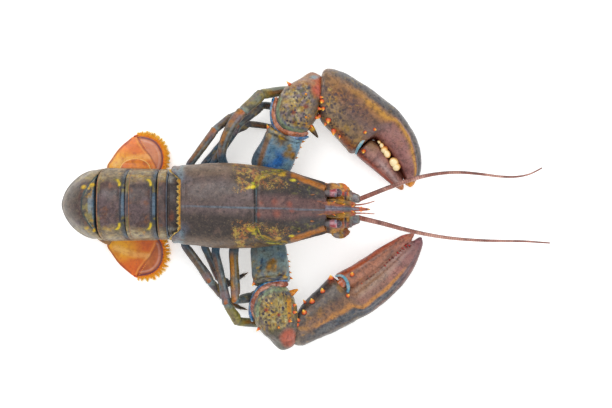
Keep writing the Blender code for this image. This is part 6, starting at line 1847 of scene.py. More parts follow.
WRIST_FOLDS = {
    LEFT: (((-19.6, 71.6, 19.0, 1.3, 4.0), (-20.8, 62.1, 19.4, 1.5, 4.8), (-19.0, 53.6, 20.0, 1.6, 5.0),
            (-12.4, 48.6, 21.0, 1.6, 4.8), (-4.0, 46.4, 22.0, 1.4, 4.2), (1.6, 47.6, 22.0, 1.0, 3.0)),
           ((-18.0, 71.6, 20.0, 1.0, 3.6), (-19.0, 63.1, 20.6, 1.7, 5.0), (-17.2, 55.0, 21.4, 1.9, 5.4),
            (-11.4, 50.6, 22.4, 1.9, 5.2), (-4.0, 49.2, 22.8, 1.6, 4.6), (1.4, 49.6, 22.4, 1.0, 3.0))),
    RIGHT: (((-33.2, -71.0, 18.6, 1.2, 3.8), (-34.4, -63.8, 19.2, 1.5, 4.6), (-32.4, -56.0, 19.8, 1.6, 5.0),
             (-28.2, -49.6, 20.6, 1.6, 4.8), (-20.0, -46.6, 21.4, 1.5, 4.6), (-11.4, -45.6, 21.6, 1.2, 3.8)),
            ((-31.4, -69.4, 19.6, 1.0, 3.4), (-32.4, -62.6, 20.4, 1.8, 5.0), (-30.2, -55.8, 21.2, 2.1, 5.6),
             (-25.4, -50.8, 22.0, 2.2, 5.4), (-18.0, -48.4, 22.6, 1.9, 4.8), (-11.4, -47.8, 22.0, 1.2, 3.4))),
}


def model_wrist_folds(hand, word, centre):
    """The blue collar and the orange membrane that curve round the back of the wrist."""
    middle = np.array((*centre[:2], 0.0, 0.0, 0.0))
    swell = np.array((1.05, 1.05, 1.0, 1.2, 1.0)), np.array((1.05, 1.05, 1.0, 1.7, 1.06))
    lines = [[tuple(middle + (np.array(p) - middle) * size) for p in line] for line,
             size in zip(WRIST_FOLDS[hand], swell)]
    strip(f"arm_{word}_collar", lines[0], (52, 110, 156),
          (((120, 176, 200), 3, 0.4), ((30, 62, 110), 2.4, 0.35)))
    strip(f"arm_{word}_membrane", lines[1], (170, 102, 70) if hand == LEFT else (146, 78, 58),
          (((212, 142, 112), 3.0, 0.4), ((98, 44, 36), 2.6, 0.35)))


WRIST_SPINES = {
    # x, y, length, radius, way out
    LEFT: ((-11.4, 80.1, 3.4, 1.5, (-0.9, 0.8)), (9.2, 56.6, 2.6, 1.4, (0.9, -0.4)),
           (11.4, 63.6, 2.8, 1.5, (0.9, -0.2)),
           (5.6, 51.6, 2.0, 1.2, (0.5, -0.6)), (12.0, 69.4, 2.2, 1.3, (0.9, 0)),
           (0.2, 72.0, 1.2, 1.1, (0, 0)),
           (-0.2, 57.6, 1.2, 1.1, (0, 0))),
    RIGHT: ((-31.4, -76.0, 2.8, 1.4, (-0.7, -0.8)), (-6.6, -60.0, 2.4, 1.3, (0.9, 0.3)),
            (-6.2, -64.8, 2.6, 1.4, (0.9, 0)),
            (-9.4, -70.6, 2.2, 1.2, (0.8, -0.3)), (-18.2, -74.6, 1.4, 1.1, (0, 0)),
            (-23.0, -58.6, 1.0, 1.0, (0, 0))),
}
WRIST_TUSKS = {LEFT: ((2.2, 53.4, 22.0), (4.4, 50.4, 21.8), (6.0, 48.2, 21.4), (7.6, 46.0, 20.8)),
               RIGHT: ((-10.4, -53.4, 21.0), (-8.2, -52.2, 21.0), (-6.8, -51.2, 20.8), (-5.0, -50.4, 20.6))}
TUSK_RADII = (2.4, 1.9, 1.3, 0.5)


def grow_wrist_spines(block, hand, word):
    places = []
    for x, y, length, radius, way in WRIST_SPINES[hand]:
        root, out = perch(block, x, y)
        places.append(spine_place(root, out * 0.7 + Vector((way[0], way[1], 0.1)), length, radius, 0.8,
                                  draw.uniform(-0.5, 0.5)))
    wear(sow(f"arm_{word}_wrist_spines", places, model_spine), SPINE, "claws")


def model_tusk(hand, word):
    """The strong bent spine on the wrist's inner front corner, dark on the left and orange on the right."""
    tusk = WRIST_TUSKS[hand]
    stations = []
    for k, (x, y, z) in enumerate(tusk):
        after = tusk[min(k + 1, len(tusk) - 1)]
        before = tusk[max(k - 1, 0)]
        size = TUSK_RADII[k]
        stations.append((x, y, z, size, size, tuple(b - a for a, b in zip(before, after))))
    horn = limb(f"arm_{word}_inner_spine", flow_rings(stations), 12, 2.0, 2, tusk[-1])
    c = Coat(horn, (226, 176, 60))
    gone = np.linalg.norm(c.at - np.array(tusk[0]), axis=1)
    full = np.linalg.norm(np.array(tusk[-1]) - np.array(tusk[0]))
    c.patches((214, 120, 50), 2, 0.4, 3, 0.8)
    c.lay((40, 30, 36) if hand == LEFT else (240, 160, 30), steps(gone / full, 0.4, 0.55) * 0.92)
    c.lay((70, 50, 44) if hand == LEFT else (206, 120, 40), fade(gone / full, 0.1, 0.3) * 0.8)
    wear(c.dry(), WRIST, "claws")


def flow_rings(stations):
    """The same stations with a smooth ring between each two."""
    made = []
    for a, b in zip(stations, stations[1:]):
        made.append(a)
        middle = [(p + q) / 2 for p, q in zip(a[:5], b[:5])]
        made.append((*middle, tuple((p + q) / 2 for p, q in zip(a[5], b[5]))))
    return made + [stations[-1]]


# Walking legs: socket, hip, the bend beside the chest, knee, wrist and the foot's end.

LEGS = {
    "leg_left_1": {"tip": (-1.9, 75.7, 0.4), "claw": True, "bow": (-3.0, 0.8, 1.2), "joints": (
        (-43.0, 9.0, 10.0, 4.2, 4.0), (-49.0, 20.0, 10.0, 3.4, 3.0), (-54.0, 33.4, 17.2, 3.2, 2.8),
        (-39.5, 63.2, 25.0, 3.5, 3.1), (-28.0, 73.4, 20.0, 3.7, 3.2), (-10.0, 77.2, 5.0, 2.6, 2.3))},
    "leg_left_2": {"tip": (-6.6, 62.9, 0.4), "claw": True, "bow": (0, 0, 0), "joints": (
        (-53.0, 9.0, 10.0, 3.8, 3.6), (-57.5, 19.0, 9.6, 3.0, 2.6), (-59.4, 29.6, 11.0, 2.7, 2.4),
        (-42.6, 54.8, 15.2, 2.7, 2.4), (-27.6, 66.8, 12.2, 2.8, 2.3), (-14.3, 65.8, 3.6, 1.9, 1.7))},
    "leg_left_3": {"tip": (-11.6, 50.7, 0.4), "claw": False, "bow": (0, 0, 0), "joints": (
        (-61.0, 9.0, 9.6, 3.6, 3.4), (-65.0, 18.0, 8.6, 2.7, 2.4), (-66.6, 27.6, 7.4, 2.5, 2.2),
        (-47.8, 49.2, 6.4, 2.5, 2.1), (-36.4, 55.2, 5.4, 2.4, 2.1), (-19.6, 53.0, 2.4, 1.6, 1.5))},
    "leg_left_4": {"tip": (-36.5, 64.9, 0.4), "claw": False, "bow": (0, 0, 0), "joints": (
        (-68.0, 9.0, 10.0, 3.4, 3.2), (-73.0, 17.0, 10.0, 2.7, 2.5), (-75.2, 27.6, 13.4, 2.7, 2.5),
        (-57.2, 51.6, 18.6, 2.6, 2.4), (-47.4, 59.4, 14.4, 2.5, 2.3), (-41.4, 62.8, 4.2, 1.6, 1.5))},
    "leg_right_1": {"tip": (-12.2, -44.6, 0.4), "claw": True, "bow": (0, 0, 0), "joints": (
        (-41.0, -3.0, 10.0, 4.2, 4.0), (-44.2, -14.0, 10.0, 3.5, 3.0), (-46.3, -25.8, 14.0, 3.3, 2.9),
        (-44.4, -57.4, 21.8, 3.0, 2.9), (-34.4, -55.4, 11.8, 3.1, 2.7), (-20.2, -46.4, 4.0, 2.2, 2.0))},
    "leg_right_2": {"tip": (-18.6, -71.6, 0.4), "claw": True, "bow": (0, 0, 0), "joints": (
        (-50.0, -3.0, 10.0, 3.8, 3.6), (-54.0, -14.0, 10.0, 3.1, 2.7), (-58.2, -25.0, 13.4, 2.8, 2.6),
        (-49.9, -60.0, 20.6, 2.9, 2.7), (-43.0, -71.0, 15.4, 3.3, 2.8), (-26.0, -73.0, 4.2, 2.4, 2.1))},
    "leg_right_3": {"tip": (-36.4, -39.8, 0.4), "claw": False, "bow": (0, 0, 0), "joints": (
        (-59.0, -3.0, 9.6, 3.6, 3.4), (-61.8, -12.0, 9.2, 2.8, 2.4), (-65.4, -22.4, 9.6, 2.6, 2.3),
        (-55.4, -44.0, 8.4, 2.5, 2.2), (-49.0, -47.0, 6.2, 2.3, 2.0), (-41.8, -42.6, 2.4, 1.5, 1.4))},
    "leg_right_4": {"tip": (-36.6, -64.6, 0.4), "claw": False, "bow": (0.6, 0, 0), "joints": (
        (-67.0, -3.0, 10.0, 3.4, 3.2), (-72.0, -11.0, 10.0, 2.8, 2.6), (-78.4, -21.4, 13.4, 2.9, 2.6),
        (-60.6, -46.0, 14.0, 2.9, 2.6), (-52.6, -55.4, 9.4, 2.6, 2.3), (-43.4, -62.4, 3.0, 1.6, 1.5))},
}
# Ground colour, stripe and wrist colour of each leg.
LEG_COLOURS = {
    "leg_left_1": ((118, 110, 96), (188, 126, 64), (152, 138, 84)),
    "leg_left_2": ((72, 92, 104), (150, 112, 66), (84, 78, 72)),
    "leg_left_3": ((60, 98, 124), (104, 78, 64), (78, 66, 62)),
    "leg_left_4": ((130, 124, 108), (158, 104, 62), (120, 100, 78)),
    "leg_right_1": ((136, 116, 72), (212, 144, 60), (98, 106, 100)),
    "leg_right_2": ((104, 118, 122), (132, 92, 66), (140, 132, 70)),
    "leg_right_3": ((64, 90, 110), (100, 76, 62), (78, 68, 64)),
    "leg_right_4": ((110, 106, 98), (112, 90, 70), (130, 108, 74)),
}


def model_leg(name, spec):
    """Thigh, shin and foot of a walking leg. The first two pairs end in a small pincer."""
    joints = spec["joints"] + ((*spec["tip"], 0.4, 0.4),)
    at_joint = [Vector(j[:3]) for j in joints]
    ways = [None] + [joint_way(joints, i) for i in range(1, len(joints) - 1)]
    hand = LEFT if "left" in name else RIGHT

    def between(i, share, size):
        ahead = (at_joint[i + 1] - at_joint[i]).normalized()
        half = [joints[i][n] + (joints[i + 1][n] - joints[i][n]) * share for n in (3, 4)]
        bow = Vector(spec["bow"]) * (4 * share * (1 - share) if i == 2 else 0.0)
        return (*(at_joint[i].lerp(at_joint[i + 1], share) + bow), half[0] * size, half[1] * size,
                tuple(ahead))

    def end(i, sign, size, back=0.0):
        spot = at_joint[i] + ways[i] * (sign * (JOINT_GAP / 2 + back))
        return (*spot, joints[i][3] * size, joints[i][4] * size, tuple(ways[i]))

    thigh = [end(1, 1, 0.84), end(1, 1, 0.98, 0.7), (*at_joint[2], *joints[2][3:5], tuple(ways[2])),
             between(2, 0.12, 0.94),
             between(2, 0.3, 0.96), between(2, 0.5, 0.98), between(2, 0.7, 1.02), between(2, 0.87, 1.08),
             end(3, -1, 1.08, 1.2), end(3, -1, 0.96, 0.1)]
    shin = [end(3, 1, 0.8, -2.2), end(3, 1, 0.98, 0.2), between(3, 0.3, 0.97), between(3, 0.55, 1.02),
            between(3, 0.8, 1.1),
            end(4, -1, 1.08, 1.0), end(4, -1, 0.96, 0.1)]
    foot = [end(4, 1, 0.78, -2.0), end(4, 1, 0.96, 0.2), between(4, 0.3, 1.0), between(4, 0.6, 1.06),
            between(4, 0.85, 1.0),
            (*at_joint[5], joints[5][3] * 0.92, joints[5][4] * 0.92, tuple(ways[5])), between(5, 0.35, 0.8),
            between(5, 0.7, 0.62)]
    for part, rows, tip in (("thigh", thigh, None), ("shin", shin, None), ("foot", foot, spec["tip"])):
        piece = limb(f"{name}_{part}_shell", rows, 14, 2.2, 2, tip)
        at, out, share = coords(piece), outward(piece), values(piece, "share")
        across, rise = from_axis(at, share, rows)
        last = len(rows) - 1
        lift = ripple(at, 3.4, 21, 0.42) + ripple(at, 1.2, 22, 0.12)
        lift += 0.2 * ridge(across * hand, 0.3, 0.22) * steps(rise, 0.3, 0.8)
        lift -= 0.22 * ridge(share - last + 1.5, 0, 0.2) * (part != "foot")
        shape(piece, at + out * lift[:, None])
        coat_leg(piece, name, part, hand, at, across, rise, share)
    dress_foot(name, spec, at_joint, joints, hand)


def coat_leg(piece, name, part, hand, at, across, rise, share):
    """A mottled ground, then the stripes, the pale ends and the orange knees or tips of each part."""
    ground, stripe, wrist_tone = LEG_COLOURS[name]
    c = Coat(piece, ground if part == "thigh" else wrist_tone, fleck=0.16 if part != "foot" else 0.1)
    lift_up = steps(rise, 0.1, 0.7)
    c.patches((64, 74, 84), 5, 0.4, 3, 0.7)
    c.patches((168, 148, 96), 3.0, 0.3, 5, 0.7 if part != "foot" else 0.4)
    c.patches((92, 124, 138), 6, 0.4, 9, 0.5)
    if part == "thigh":
        c.lay((150, 158, 160), band(across * -hand, 0.1, 0.5, 0.12) * lift_up * steps(share, 2.2, 3.5) * 0.55)
        c.lay(stripe,
              band(across * hand, 0.0, 0.75, 0.16) * steps(share, 2.0, 3.0) * steps(grain(at, 6, 8), 0.3,
                                                                                    0.5) * 0.85)
        c.lay((62, 100, 128), fade(share, 2.1, 3.8) * 0.7)
        c.lay((88, 56, 42), band(across * hand, 0.8, 1.0, 0.08) * 0.7)
        knee = band(share, 7.4, 9.2, 0.35)
        c.lay((196, 112, 62), knee * lift_up * band(across, -0.5, 0.3, 0.2) * 0.7)
        c.lay((146, 118, 126), band(share, 6.4, 7.4, 0.3) * lift_up * 0.5)
    elif part == "shin":
        c.lay((128, 152, 156), fade(share, 0.8, 1.7) * 0.7)
        c.lay((104, 132, 148), steps(share, 5.2, 6.0) * 0.6)
        c.lay((124, 96, 110), band(across * hand, 0.2, 0.7, 0.15) * lift_up * 0.35)
    else:
        c.lay((150, 96, 52),
              band(share, 1.4, 4.0, 0.5) * band(across * -hand, -0.2, 0.5, 0.2) * lift_up * 0.7)
        c.lay((56, 74, 92), fade(share, 0.4, 1.2) * 0.6)
        c.lay((66, 50, 46), steps(share, 3.8, 5.6) * 0.6)
        c.lay((206, 138, 80), steps(share, 6.4, 7.8) * 0.8)
    c.lay((168, 152, 128), steps(-rise, 0.1, 0.7) * 0.55)
    wear(c.dry(), LIMB, "claws", f"{name}_{part}")


FOOT_BRISTLES = 42


def dress_foot(name, spec, at_joint, joints, hand):
    """The pincer's second finger, and short bristles round the foot's end."""
    ahead = (at_joint[6] - at_joint[5]).normalized()
    side = UP.cross(ahead).normalized() * hand
    if spec["claw"]:
        length = (at_joint[6] - at_joint[5]).length * 0.98
        way = (ahead * 0.98 - side * 0.16).normalized()
        root = at_joint[5] - side * joints[5][3] * 0.52
        rows = [(*(root + way * length * share), size, size, tuple(way))
                for share, size in ((-0.1, 0.7), (0.0, 1.15), (0.35, 0.98), (0.7, 0.66), (0.9, 0.4))]
        finger = limb(f"{name}_pincer", rows, 10, 2.0, 2, root + way * length)
        c = Coat(finger, (104, 66, 46), fleck=0.1)
        c.patches((66, 50, 50), 2, 0.4, 2, 0.7)
        c.lay((214, 140, 76), steps(c.share, 3.0, 4.6) * 0.85)
        wear(c.dry(), LIMB, "claws")
    places = []
    for _ in range(FOOT_BRISTLES):
        share = draw.uniform(0.05, 0.86)
        angle = draw.uniform(0, 2 * math.pi)
        up = ahead.cross(side)
        out = side * math.cos(angle) + up * math.sin(angle)
        size = joints[5][3] * (0.86 - 0.6 * share)
        root = at_joint[5].lerp(at_joint[6], share) + out * size
        if root.z > 1.8:
            places.append(spine_place(root, out * 0.55 + ahead, draw.uniform(0.9, 1.7), 0.14, 0.3))
    if places:
        wear(sow(f"{name}_bristles", places, model_bristle), BRISTLE, "claws")


def model_bristle():
    """One hair, a unit long: three-sided and bent."""
    return model_cone("bristle_pattern", 3, 0.15, (0.35, 0.7), 0.0, 0.9)


for hand, word in SIDES:
    model_arm(hand, word)
for name, spec in LEGS.items():
    model_leg(name, spec)


# Head: eyes, the plate under them, both pairs of feelers and the jaw feet.

EYE_FRONT = 20.0
EYE_RADIUS = 2.72
ANTENNA_START = 34.2
ANTENNA_BASE = (
    # x, distance from the midline, height, half width, half height
    (CARAPACE_FRONT - 3.6, 10.4, 29.4, 4.4, 6.4), (16.5, 11.2, 28.8, 5.4, 6.2), (21.0, 10.6, 28.4, 5.0, 5.2),
    (25.0, 9.0, 28.4, 3.9, 4.0), (27.6, 7.9, 28.4, 3.8, 3.6), (31.0, 6.8, 28.4, 3.0, 3.0),
    (ANTENNA_START, 6.2, 28.4, 2.6, 2.6),
)
SCALE_OUT = {LEFT: 11.6, RIGHT: 14.6}
SCALE_LENGTH = 11.4
ANTENNAE = {
    LEFT: ((ANTENNA_START - 1.6, 6.4, 28.4), (44.6, 11.2, 28.0), (55.3, 15.3, 26.6), (66.1, 19.1, 24.6),
           (76.9, 21.9, 22.0), (87.7, 23.5, 19.0), (98.6, 23.9, 16.0), (111.3, 22.9, 12.8),
           (124.0, 21.4, 10.0),
           (134.0, 21.2, 8.4), (143.0, 22.9, 7.2), (151.3, 27.0, 6.4)),
    RIGHT: ((ANTENNA_START - 1.6, -4.7, 28.4), (48.1, -8.4, 27.6), (59.8, -11.6, 26.2), (71.5, -14.4, 24.0),
            (84.1, -16.8, 20.6), (97.0, -18.4, 17.0), (111.3, -19.4, 13.6), (124.9, -19.8, 10.8),
            (138.5, -20.0, 8.6),
            (148.0, -20.6, 7.2), (156.4, -21.2, 6.4)),
}
ANTENNA_ROOT_RADIUS = 1.7
ANTENNA_TIP_RADIUS = 0.5
RING_PITCH = 1.5
ANTENNULE_LENGTH = 12.4
ANTENNULE_ROOT_RADIUS = 0.62
ANTENNULE_TIP_RADIUS = 0.34
ANTENNULE_STEM = (
    # x, distance from the midline, height, radius
    (CARAPACE_FRONT - 2.0, 3.9, 36.0, 2.3), (20.0, 3.9, 36.3, 2.5), (26.0, 3.4, 36.8, 2.1),
    (32.0, 2.6, 37.6, 1.3),
)
JAW_FOOT = (
    # x, distance from the midline, height, half width, half height
    (-7.6, 4.6, 5.2, 3.1, 2.6), (0.0, 5.2, 6.6, 3.5, 2.6), (8.0, 5.2, 9.0, 3.6, 2.8),
    (17.0, 4.6, 11.6, 3.1, 2.7),
    (24.0, 3.9, 15.4, 2.4, 2.2), (27.0, 3.4, 18.6, 1.6, 1.5),
)
JAW_FOOT_TIP = (27.6, 3.2, 21.0)
COMB_BRISTLES = 150


def along_line(points, sizes):
    """Stations along a line of points, each headed from the one before it to the one after."""
    stations = []
    for k, (p, (wide, tall)) in enumerate(zip(points, sizes)):
        ahead = np.array(points[min(k + 1, len(points) - 1)]) - np.array(points[max(k - 1, 0)])
        stations.append((*p, wide, tall, tuple(ahead)))
    return stations


def model_eye(hand, word):
    """A short stalk and the dark ball on it."""
    y = midline(14) + hand * EYE_OUT
    rows = [(9.3, 1.9), (10.6, 2.1), (13.0, 2.0), (15.6, 2.2), (17.6, 2.7), (19.0, 2.75), (20.0, 2.3)]
    stalk = limb(f"eye_{word}_stalk",
                 [(x, y + hand * 0.4 * steps(np.array(x), 14, 19), EYE_HEIGHT, r, r, 0) for x, r in rows],
                 16, 2.0, 1)
    c = Coat(stalk, (190, 136, 150), fleck=0.1)
    x, beside, _ = c.at.T
    c.patches((222, 172, 176), 1.8, 0.4, 2, 0.8)
    c.patches((140, 70, 80), 1.5, 0.3, 4, 0.7)
    c.lay((84, 94, 92), fade(x, 14.4, 15.4) * 0.85)
    c.lay((176, 52, 48), steps(hand * (beside - y), 0.6, 1.5) * band(x, 15.2, 18.6, 0.3) * 0.8)
    c.lay((150, 190, 206), band(x, 18.2, 19.0, 0.25) * steps(-hand * (beside - y), -0.6, 0.4) * 0.8)
    wear(c.dry(), HEAD, "eyes")
    centre = (EYE_FRONT, float(y + hand * 0.4), EYE_HEIGHT)
    eyeball = ball(f"eye_{word}_ball", 32, 20, EYE_RADIUS, centre, (0.98, 1.0, 0.98),
                   (0, math.radians(90), 0))
    off = coords(eyeball) - np.array(centre)
    off[:, 0] *= np.where(off[:, 0] < 0, 0.55, 0.96)
    shape(eyeball, off + np.array(centre))
    refine(eyeball, 1)
    wear(eyeball, CORNEA, "eyes", f"eye_{word}")


def model_antenna(hand, word):
    """The jointed base with its pointed scale, then the long whip."""
    stations = []
    for x, out, height, wide, tall in ANTENNA_BASE:
        way = (1, -hand * 0.28 if 18 < x < ANTENNA_START else 0.0, 0.0)
        stations.append((x, midline(x) + hand * out, height, wide, tall, way))
    rows = flow_rings(stations)
    base = limb(f"antenna_{word}_base_shell", rows, 16, 2.3, 2)
    at, out = coords(base), outward(base)
    lift = -0.55 * ridge(at[:, 0], 24.6, 0.5) - 0.4 * ridge(at[:, 0], 29.8, 0.45)
    lift += 0.3 * ridge(at[:, 0], 23.2, 0.6) + 0.3 * ridge(at[:, 0], 28.4, 0.6)
    lift += ripple(at, 2.4, 5, 0.5)
    shape(base, at + out * lift[:, None])
    coat_antenna_base(base, hand, word)

    model_antenna_scale(hand, word)

    model_whip(hand, word)


def coat_antenna_base(base, hand, word):
    c = Coat(base, (196, 128, 72) if hand == LEFT else (166, 104, 78), fleck=0.35, depth=0.9)
    x, y, _ = c.at.T
    off = np.abs(y - midline(x))
    c.patches((104, 66, 60), 2.2, 0.4, 2, 0.7)
    c.patches((232, 176, 96), 1.8, 0.36, 4, 0.8)
    c.patches((128, 132, 112), 1.7, 0.3, 7, 0.7)
    c.patches((92, 60, 58), 1.0, 0.35, 12, 0.7)
    c.patches((238, 194, 140), 0.9, 0.3, 13, 0.7)
    c.lay((196, 60, 62),
          band(x, 22.6, 26.4, 0.4) * band(off, 8.4, 11.0, 0.6) * (0.8 if hand == LEFT else 0.3))
    c.lay((228, 158, 60), band(x, 19.0, 24.0, 0.6) * fade(off, 6.6, 8.2) * 0.8)
    c.lay((124, 136, 140), band(x, 27.6, 34.4, 0.8) * 0.7)
    c.patches((178, 196, 168), 2.0, 0.4, 8, band(x, 27.6, 33.0, 0.6) * 0.7)
    c.lay((104, 42, 34), band(x, 29.0, 33.0, 0.6) * steps(off, 8.2, 9.4) * 0.8)
    c.lay((150, 158, 170), band(x, 29.6, 32.8, 0.6) * steps(c.out[:, 2], 0.4, 0.9) * 0.5)
    c.lay((26, 46, 72), steps(x, 33.2, 34.2) * 0.85)
    c.lay((92, 100, 110), band(x, 24.2, 25.6, 0.3) * 0.8)
    c.lay((40, 34, 38), fade(x, 14.0, 17.6) * 0.8)
    c.lay((196, 148, 92), band(off, 12.0, 16.0, 1.0) * band(x, 16, 23, 1.5) * 0.5)
    wear(c.dry(), HEAD, "feelers", f"antenna_{word}_base")


def model_antenna_scale(hand, word):
    """The flat, pointed scale beside the base."""
    start = Vector((16.0, midline(17) + hand * SCALE_OUT[hand], 30.6))
    stations = []
    for share, wide, thick in ((0, 2.4, 1.5), (0.12, 3.0, 1.6), (0.35, 3.6, 1.6), (0.58, 3.5, 1.4),
                               (0.75, 3.1, 1.2),
                               (0.88, 2.3, 1.0), (0.96, 1.4, 0.8)):
        sway = hand * 1.2 * math.sin(math.pi * share)
        stations.append((*(start + Vector((SCALE_LENGTH * share, sway, 0.6 * share))), wide, thick, 0))
    scale = limb(f"antenna_{word}_scale", stations, 14, 2.0, 2,
                 start + Vector((SCALE_LENGTH + 0.8, hand * 0.2, 0.6)))
    at, out = coords(scale), outward(scale)
    shape(scale,
          at + out * (ripple(at, 2.0, 6, 0.45) + 0.25 * ridge(at[:, 1] - start.y - hand * 1.6, 0, 0.5))[:,
                                                                                                        None])
    c = Coat(scale, (214, 134, 66) if hand == LEFT else (186, 142, 66), fleck=0.3, depth=0.9)
    c.patches((112, 66, 50), 2.0, 0.4, 3, 0.7)
    c.patches((240, 188, 88), 1.8, 0.36, 6, 0.8)
    c.patches((150, 152, 140), 1.1, 0.3, 8, 0.7)
    c.patches((104, 58, 48), 0.9, 0.3, 9, 0.7)
    c.lay((128, 136, 150), band(c.share, 0.8, 2.4, 0.3) * 0.6)
    if hand == LEFT:
        c.lay((232, 130, 84), band(c.share, 3.4, 5.0, 0.5) * 0.6)
    else:
        c.lay((132, 46, 30), band(c.share, 3.6, 6.4, 0.5) * steps(c.out[:, 2], -0.2, 0.4) * 0.75)
    c.lay((58, 42, 44), steps(c.share, 6.2, 7.0) * 0.7)
    wear(c.dry(), HEAD, "feelers")


def model_whip(hand, word):
    """The long whip, round and tapered, with a fine groove at each of its rings."""
    line = flow(ANTENNAE[hand], 5)
    line.insert(1, line[0] + np.array((0.8, 0, 0)))
    sizes = []
    for k in range(len(line)):
        taper = (k / (len(line) - 1)) ** 1.1
        radius = ANTENNA_ROOT_RADIUS + (ANTENNA_TIP_RADIUS - ANTENNA_ROOT_RADIUS) * taper
        sizes.append((radius, radius))
    stations = along_line(line, sizes)
    stations[0] = (*stations[0][:5], (1, 0, 0))
    whip = limb(f"antenna_{word}_whip", stations, 12, 2.0, 0)
    for _ in range(2):
        open_up(whip)
        cut_between_rings(whip)
        bpy.ops.object.mode_set(mode="OBJECT")
    refine(whip, 1)
    at, out, share = coords(whip), outward(whip), values(whip, "share")
    route = np.concatenate([[0.0], np.cumsum(np.linalg.norm(np.diff(np.array(line), axis=0), axis=1))])
    gone = np.interp(share, np.arange(len(line)), route)
    ring = ridge((gone / RING_PITCH - np.round(gone / RING_PITCH)) * RING_PITCH, 0, 0.3)
    shape(whip, at + out * (-0.07 * ring)[:, None])
    c = Coat(whip, (150, 98, 86))
    c.patches((208, 160, 144), 7, 0.45, 2, 0.75)
    c.patches((104, 66, 58), 5, 0.35, 5, 0.7)
    # Painted shade on the side of the whip that faces +y, and a painted highlight on the side that faces -y.
    c.lay((84, 58, 54), steps(c.out[:, 1], 0.3, 0.85) * 0.8)
    c.lay((216, 178, 166), steps(-c.out[:, 1], 0.3, 0.9) * 0.4)
    c.lay((150, 70, 46), fade(gone, 2, 16) * 0.5)
    c.dry()
    mark(whip.data, "rings", ring)
    wear(whip, FEELER, "feelers", f"antenna_{word}")


def cut_between_rings(piece):
    """Cuts each span of a whip in two, by subdividing the edges that run along it."""
    work = bmesh.from_edit_mesh(piece.data)
    layer = work.verts.layers.float["share"]
    bpy.ops.mesh.select_all(action="DESELECT")
    for edge in work.edges:
        a, b = edge.verts
        if abs(a[layer] - b[layer]) > 1e-4:
            edge.select_set(True)
    bmesh.update_edit_mesh(piece.data)
    bpy.ops.mesh.subdivide(number_cuts=1)


def model_antennule(hand, word):
    """The short feeler: a jointed stem, then two thin whips, one over the other."""
    rows = [(x, midline(x) + hand * out, height, radius, radius, 0) for x, out, height,
            radius in ANTENNULE_STEM]
    stem = limb(f"antennule_{word}_stem", rows, 12, 2.1, 2)
    c = Coat(stem, (166, 138, 92), fleck=0.3, depth=0.9)
    c.patches((210, 160, 90), 1.6, 0.4, 3, 0.8)
    c.patches((92, 66, 62), 1.4, 0.35, 5, 0.8)
    c.lay((234, 170, 66), band(c.at[:, 0], 21.0, 24.4, 0.5) * 0.7)
    c.lay((198, 72, 60), band(c.at[:, 0], 27.6, 31.0, 0.6) * 0.6)
    wear(c.dry(), HEAD, "feelers", f"antennule_{word}")
    sway = {LEFT: 2.6, RIGHT: -0.5}[hand]
    start = Vector((31.0, midline(31) + hand * ANTENNULE_STEM[-1][1], ANTENNULE_STEM[-1][2]))
    for climb, which in ((0.10, "upper"), (-0.18, "lower")):
        points, sizes = [], []
        for share in np.arange(11) / 10:
            ahead = ANTENNULE_LENGTH * share
            points.append(start + Vector((ahead, sway * share * share,
                                          ahead * climb - ahead * ahead * 0.012)))
            radius = ANTENNULE_ROOT_RADIUS + (ANTENNULE_TIP_RADIUS - ANTENNULE_ROOT_RADIUS) * share ** 0.8
            sizes.append((radius, radius))
        whip = limb(f"antennule_{word}_{which}", along_line(points, sizes), 8, 2.0, 1)
        gone = (coords(whip)[:, 0] - 31.0) / 0.8
        ring = ridge(gone - np.round(gone), 0, 0.2)
        mottled(whip, (178, 104, 86), ((214, 150, 124), 3, 0.45, 2, 0.8))
        mark(whip.data, "rings", ring)
        wear(whip, FEELER, "feelers")


def model_jaw_foot(hand, word):
    """The stout outer mouth limb, with a comb of bristles along its inner edge."""
    y = midline(14)
    points = [(x, y + hand * out, z) for x, out, z, _, _ in JAW_FOOT]
    stations = along_line(points, [row[3:5] for row in JAW_FOOT])
    piece = limb(f"jaw_foot_{word}_shell", flow_rings(stations), 14, 2.2, 2,
                 (JAW_FOOT_TIP[0], y + hand * JAW_FOOT_TIP[1], JAW_FOOT_TIP[2]))
    at, out = coords(piece), outward(piece)
    lift = -0.5 * ridge(at[:, 0], 4.5, 0.5) - 0.5 * ridge(at[:, 0], 18.6, 0.5)
    shape(piece, at + out * (lift + ripple(at, 2.6, 4, 0.4))[:, None])
    c = Coat(piece, (164, 108, 72), fleck=0.2)
    c.patches((110, 76, 64), 4, 0.4, 2, 0.8)
    c.patches((206, 156, 100), 3, 0.35, 4, 0.7)
    c.lay((120, 138, 150), band(c.at[:, 0], 3.2, 5.8, 0.5) * 0.7)
    c.lay((206, 120, 70), steps(c.at[:, 0], 22, 27) * 0.6)
    wear(c.dry(), HEAD, "belly", f"jaw_foot_{word}")
    start, end = JAW_FOOT[0][0], JAW_FOOT[-1][0]
    places = []
    for _ in range(COMB_BRISTLES):
        x = start + (end - start) * draw.uniform(0.25, 0.98)
        out_to, height, wide = (np.interp(x, [r[0] for r in JAW_FOOT],
                                          [r[n] for r in JAW_FOOT]) for n in (1, 2, 3))
        root = Vector((x, y + hand * (out_to - wide * 0.9), height + draw.uniform(-0.8, 0.8)))
        way = Vector((0.5, -hand * 0.7, draw.uniform(-0.4, 0.2)))
        places.append(spine_place(root, way, draw.uniform(1.2, 2.2) * (0.75 if out_to < 4 else 1), 0.13, 0.3))
    wear(sow(f"jaw_foot_{word}_comb", places, model_bristle), BRISTLE, "belly")


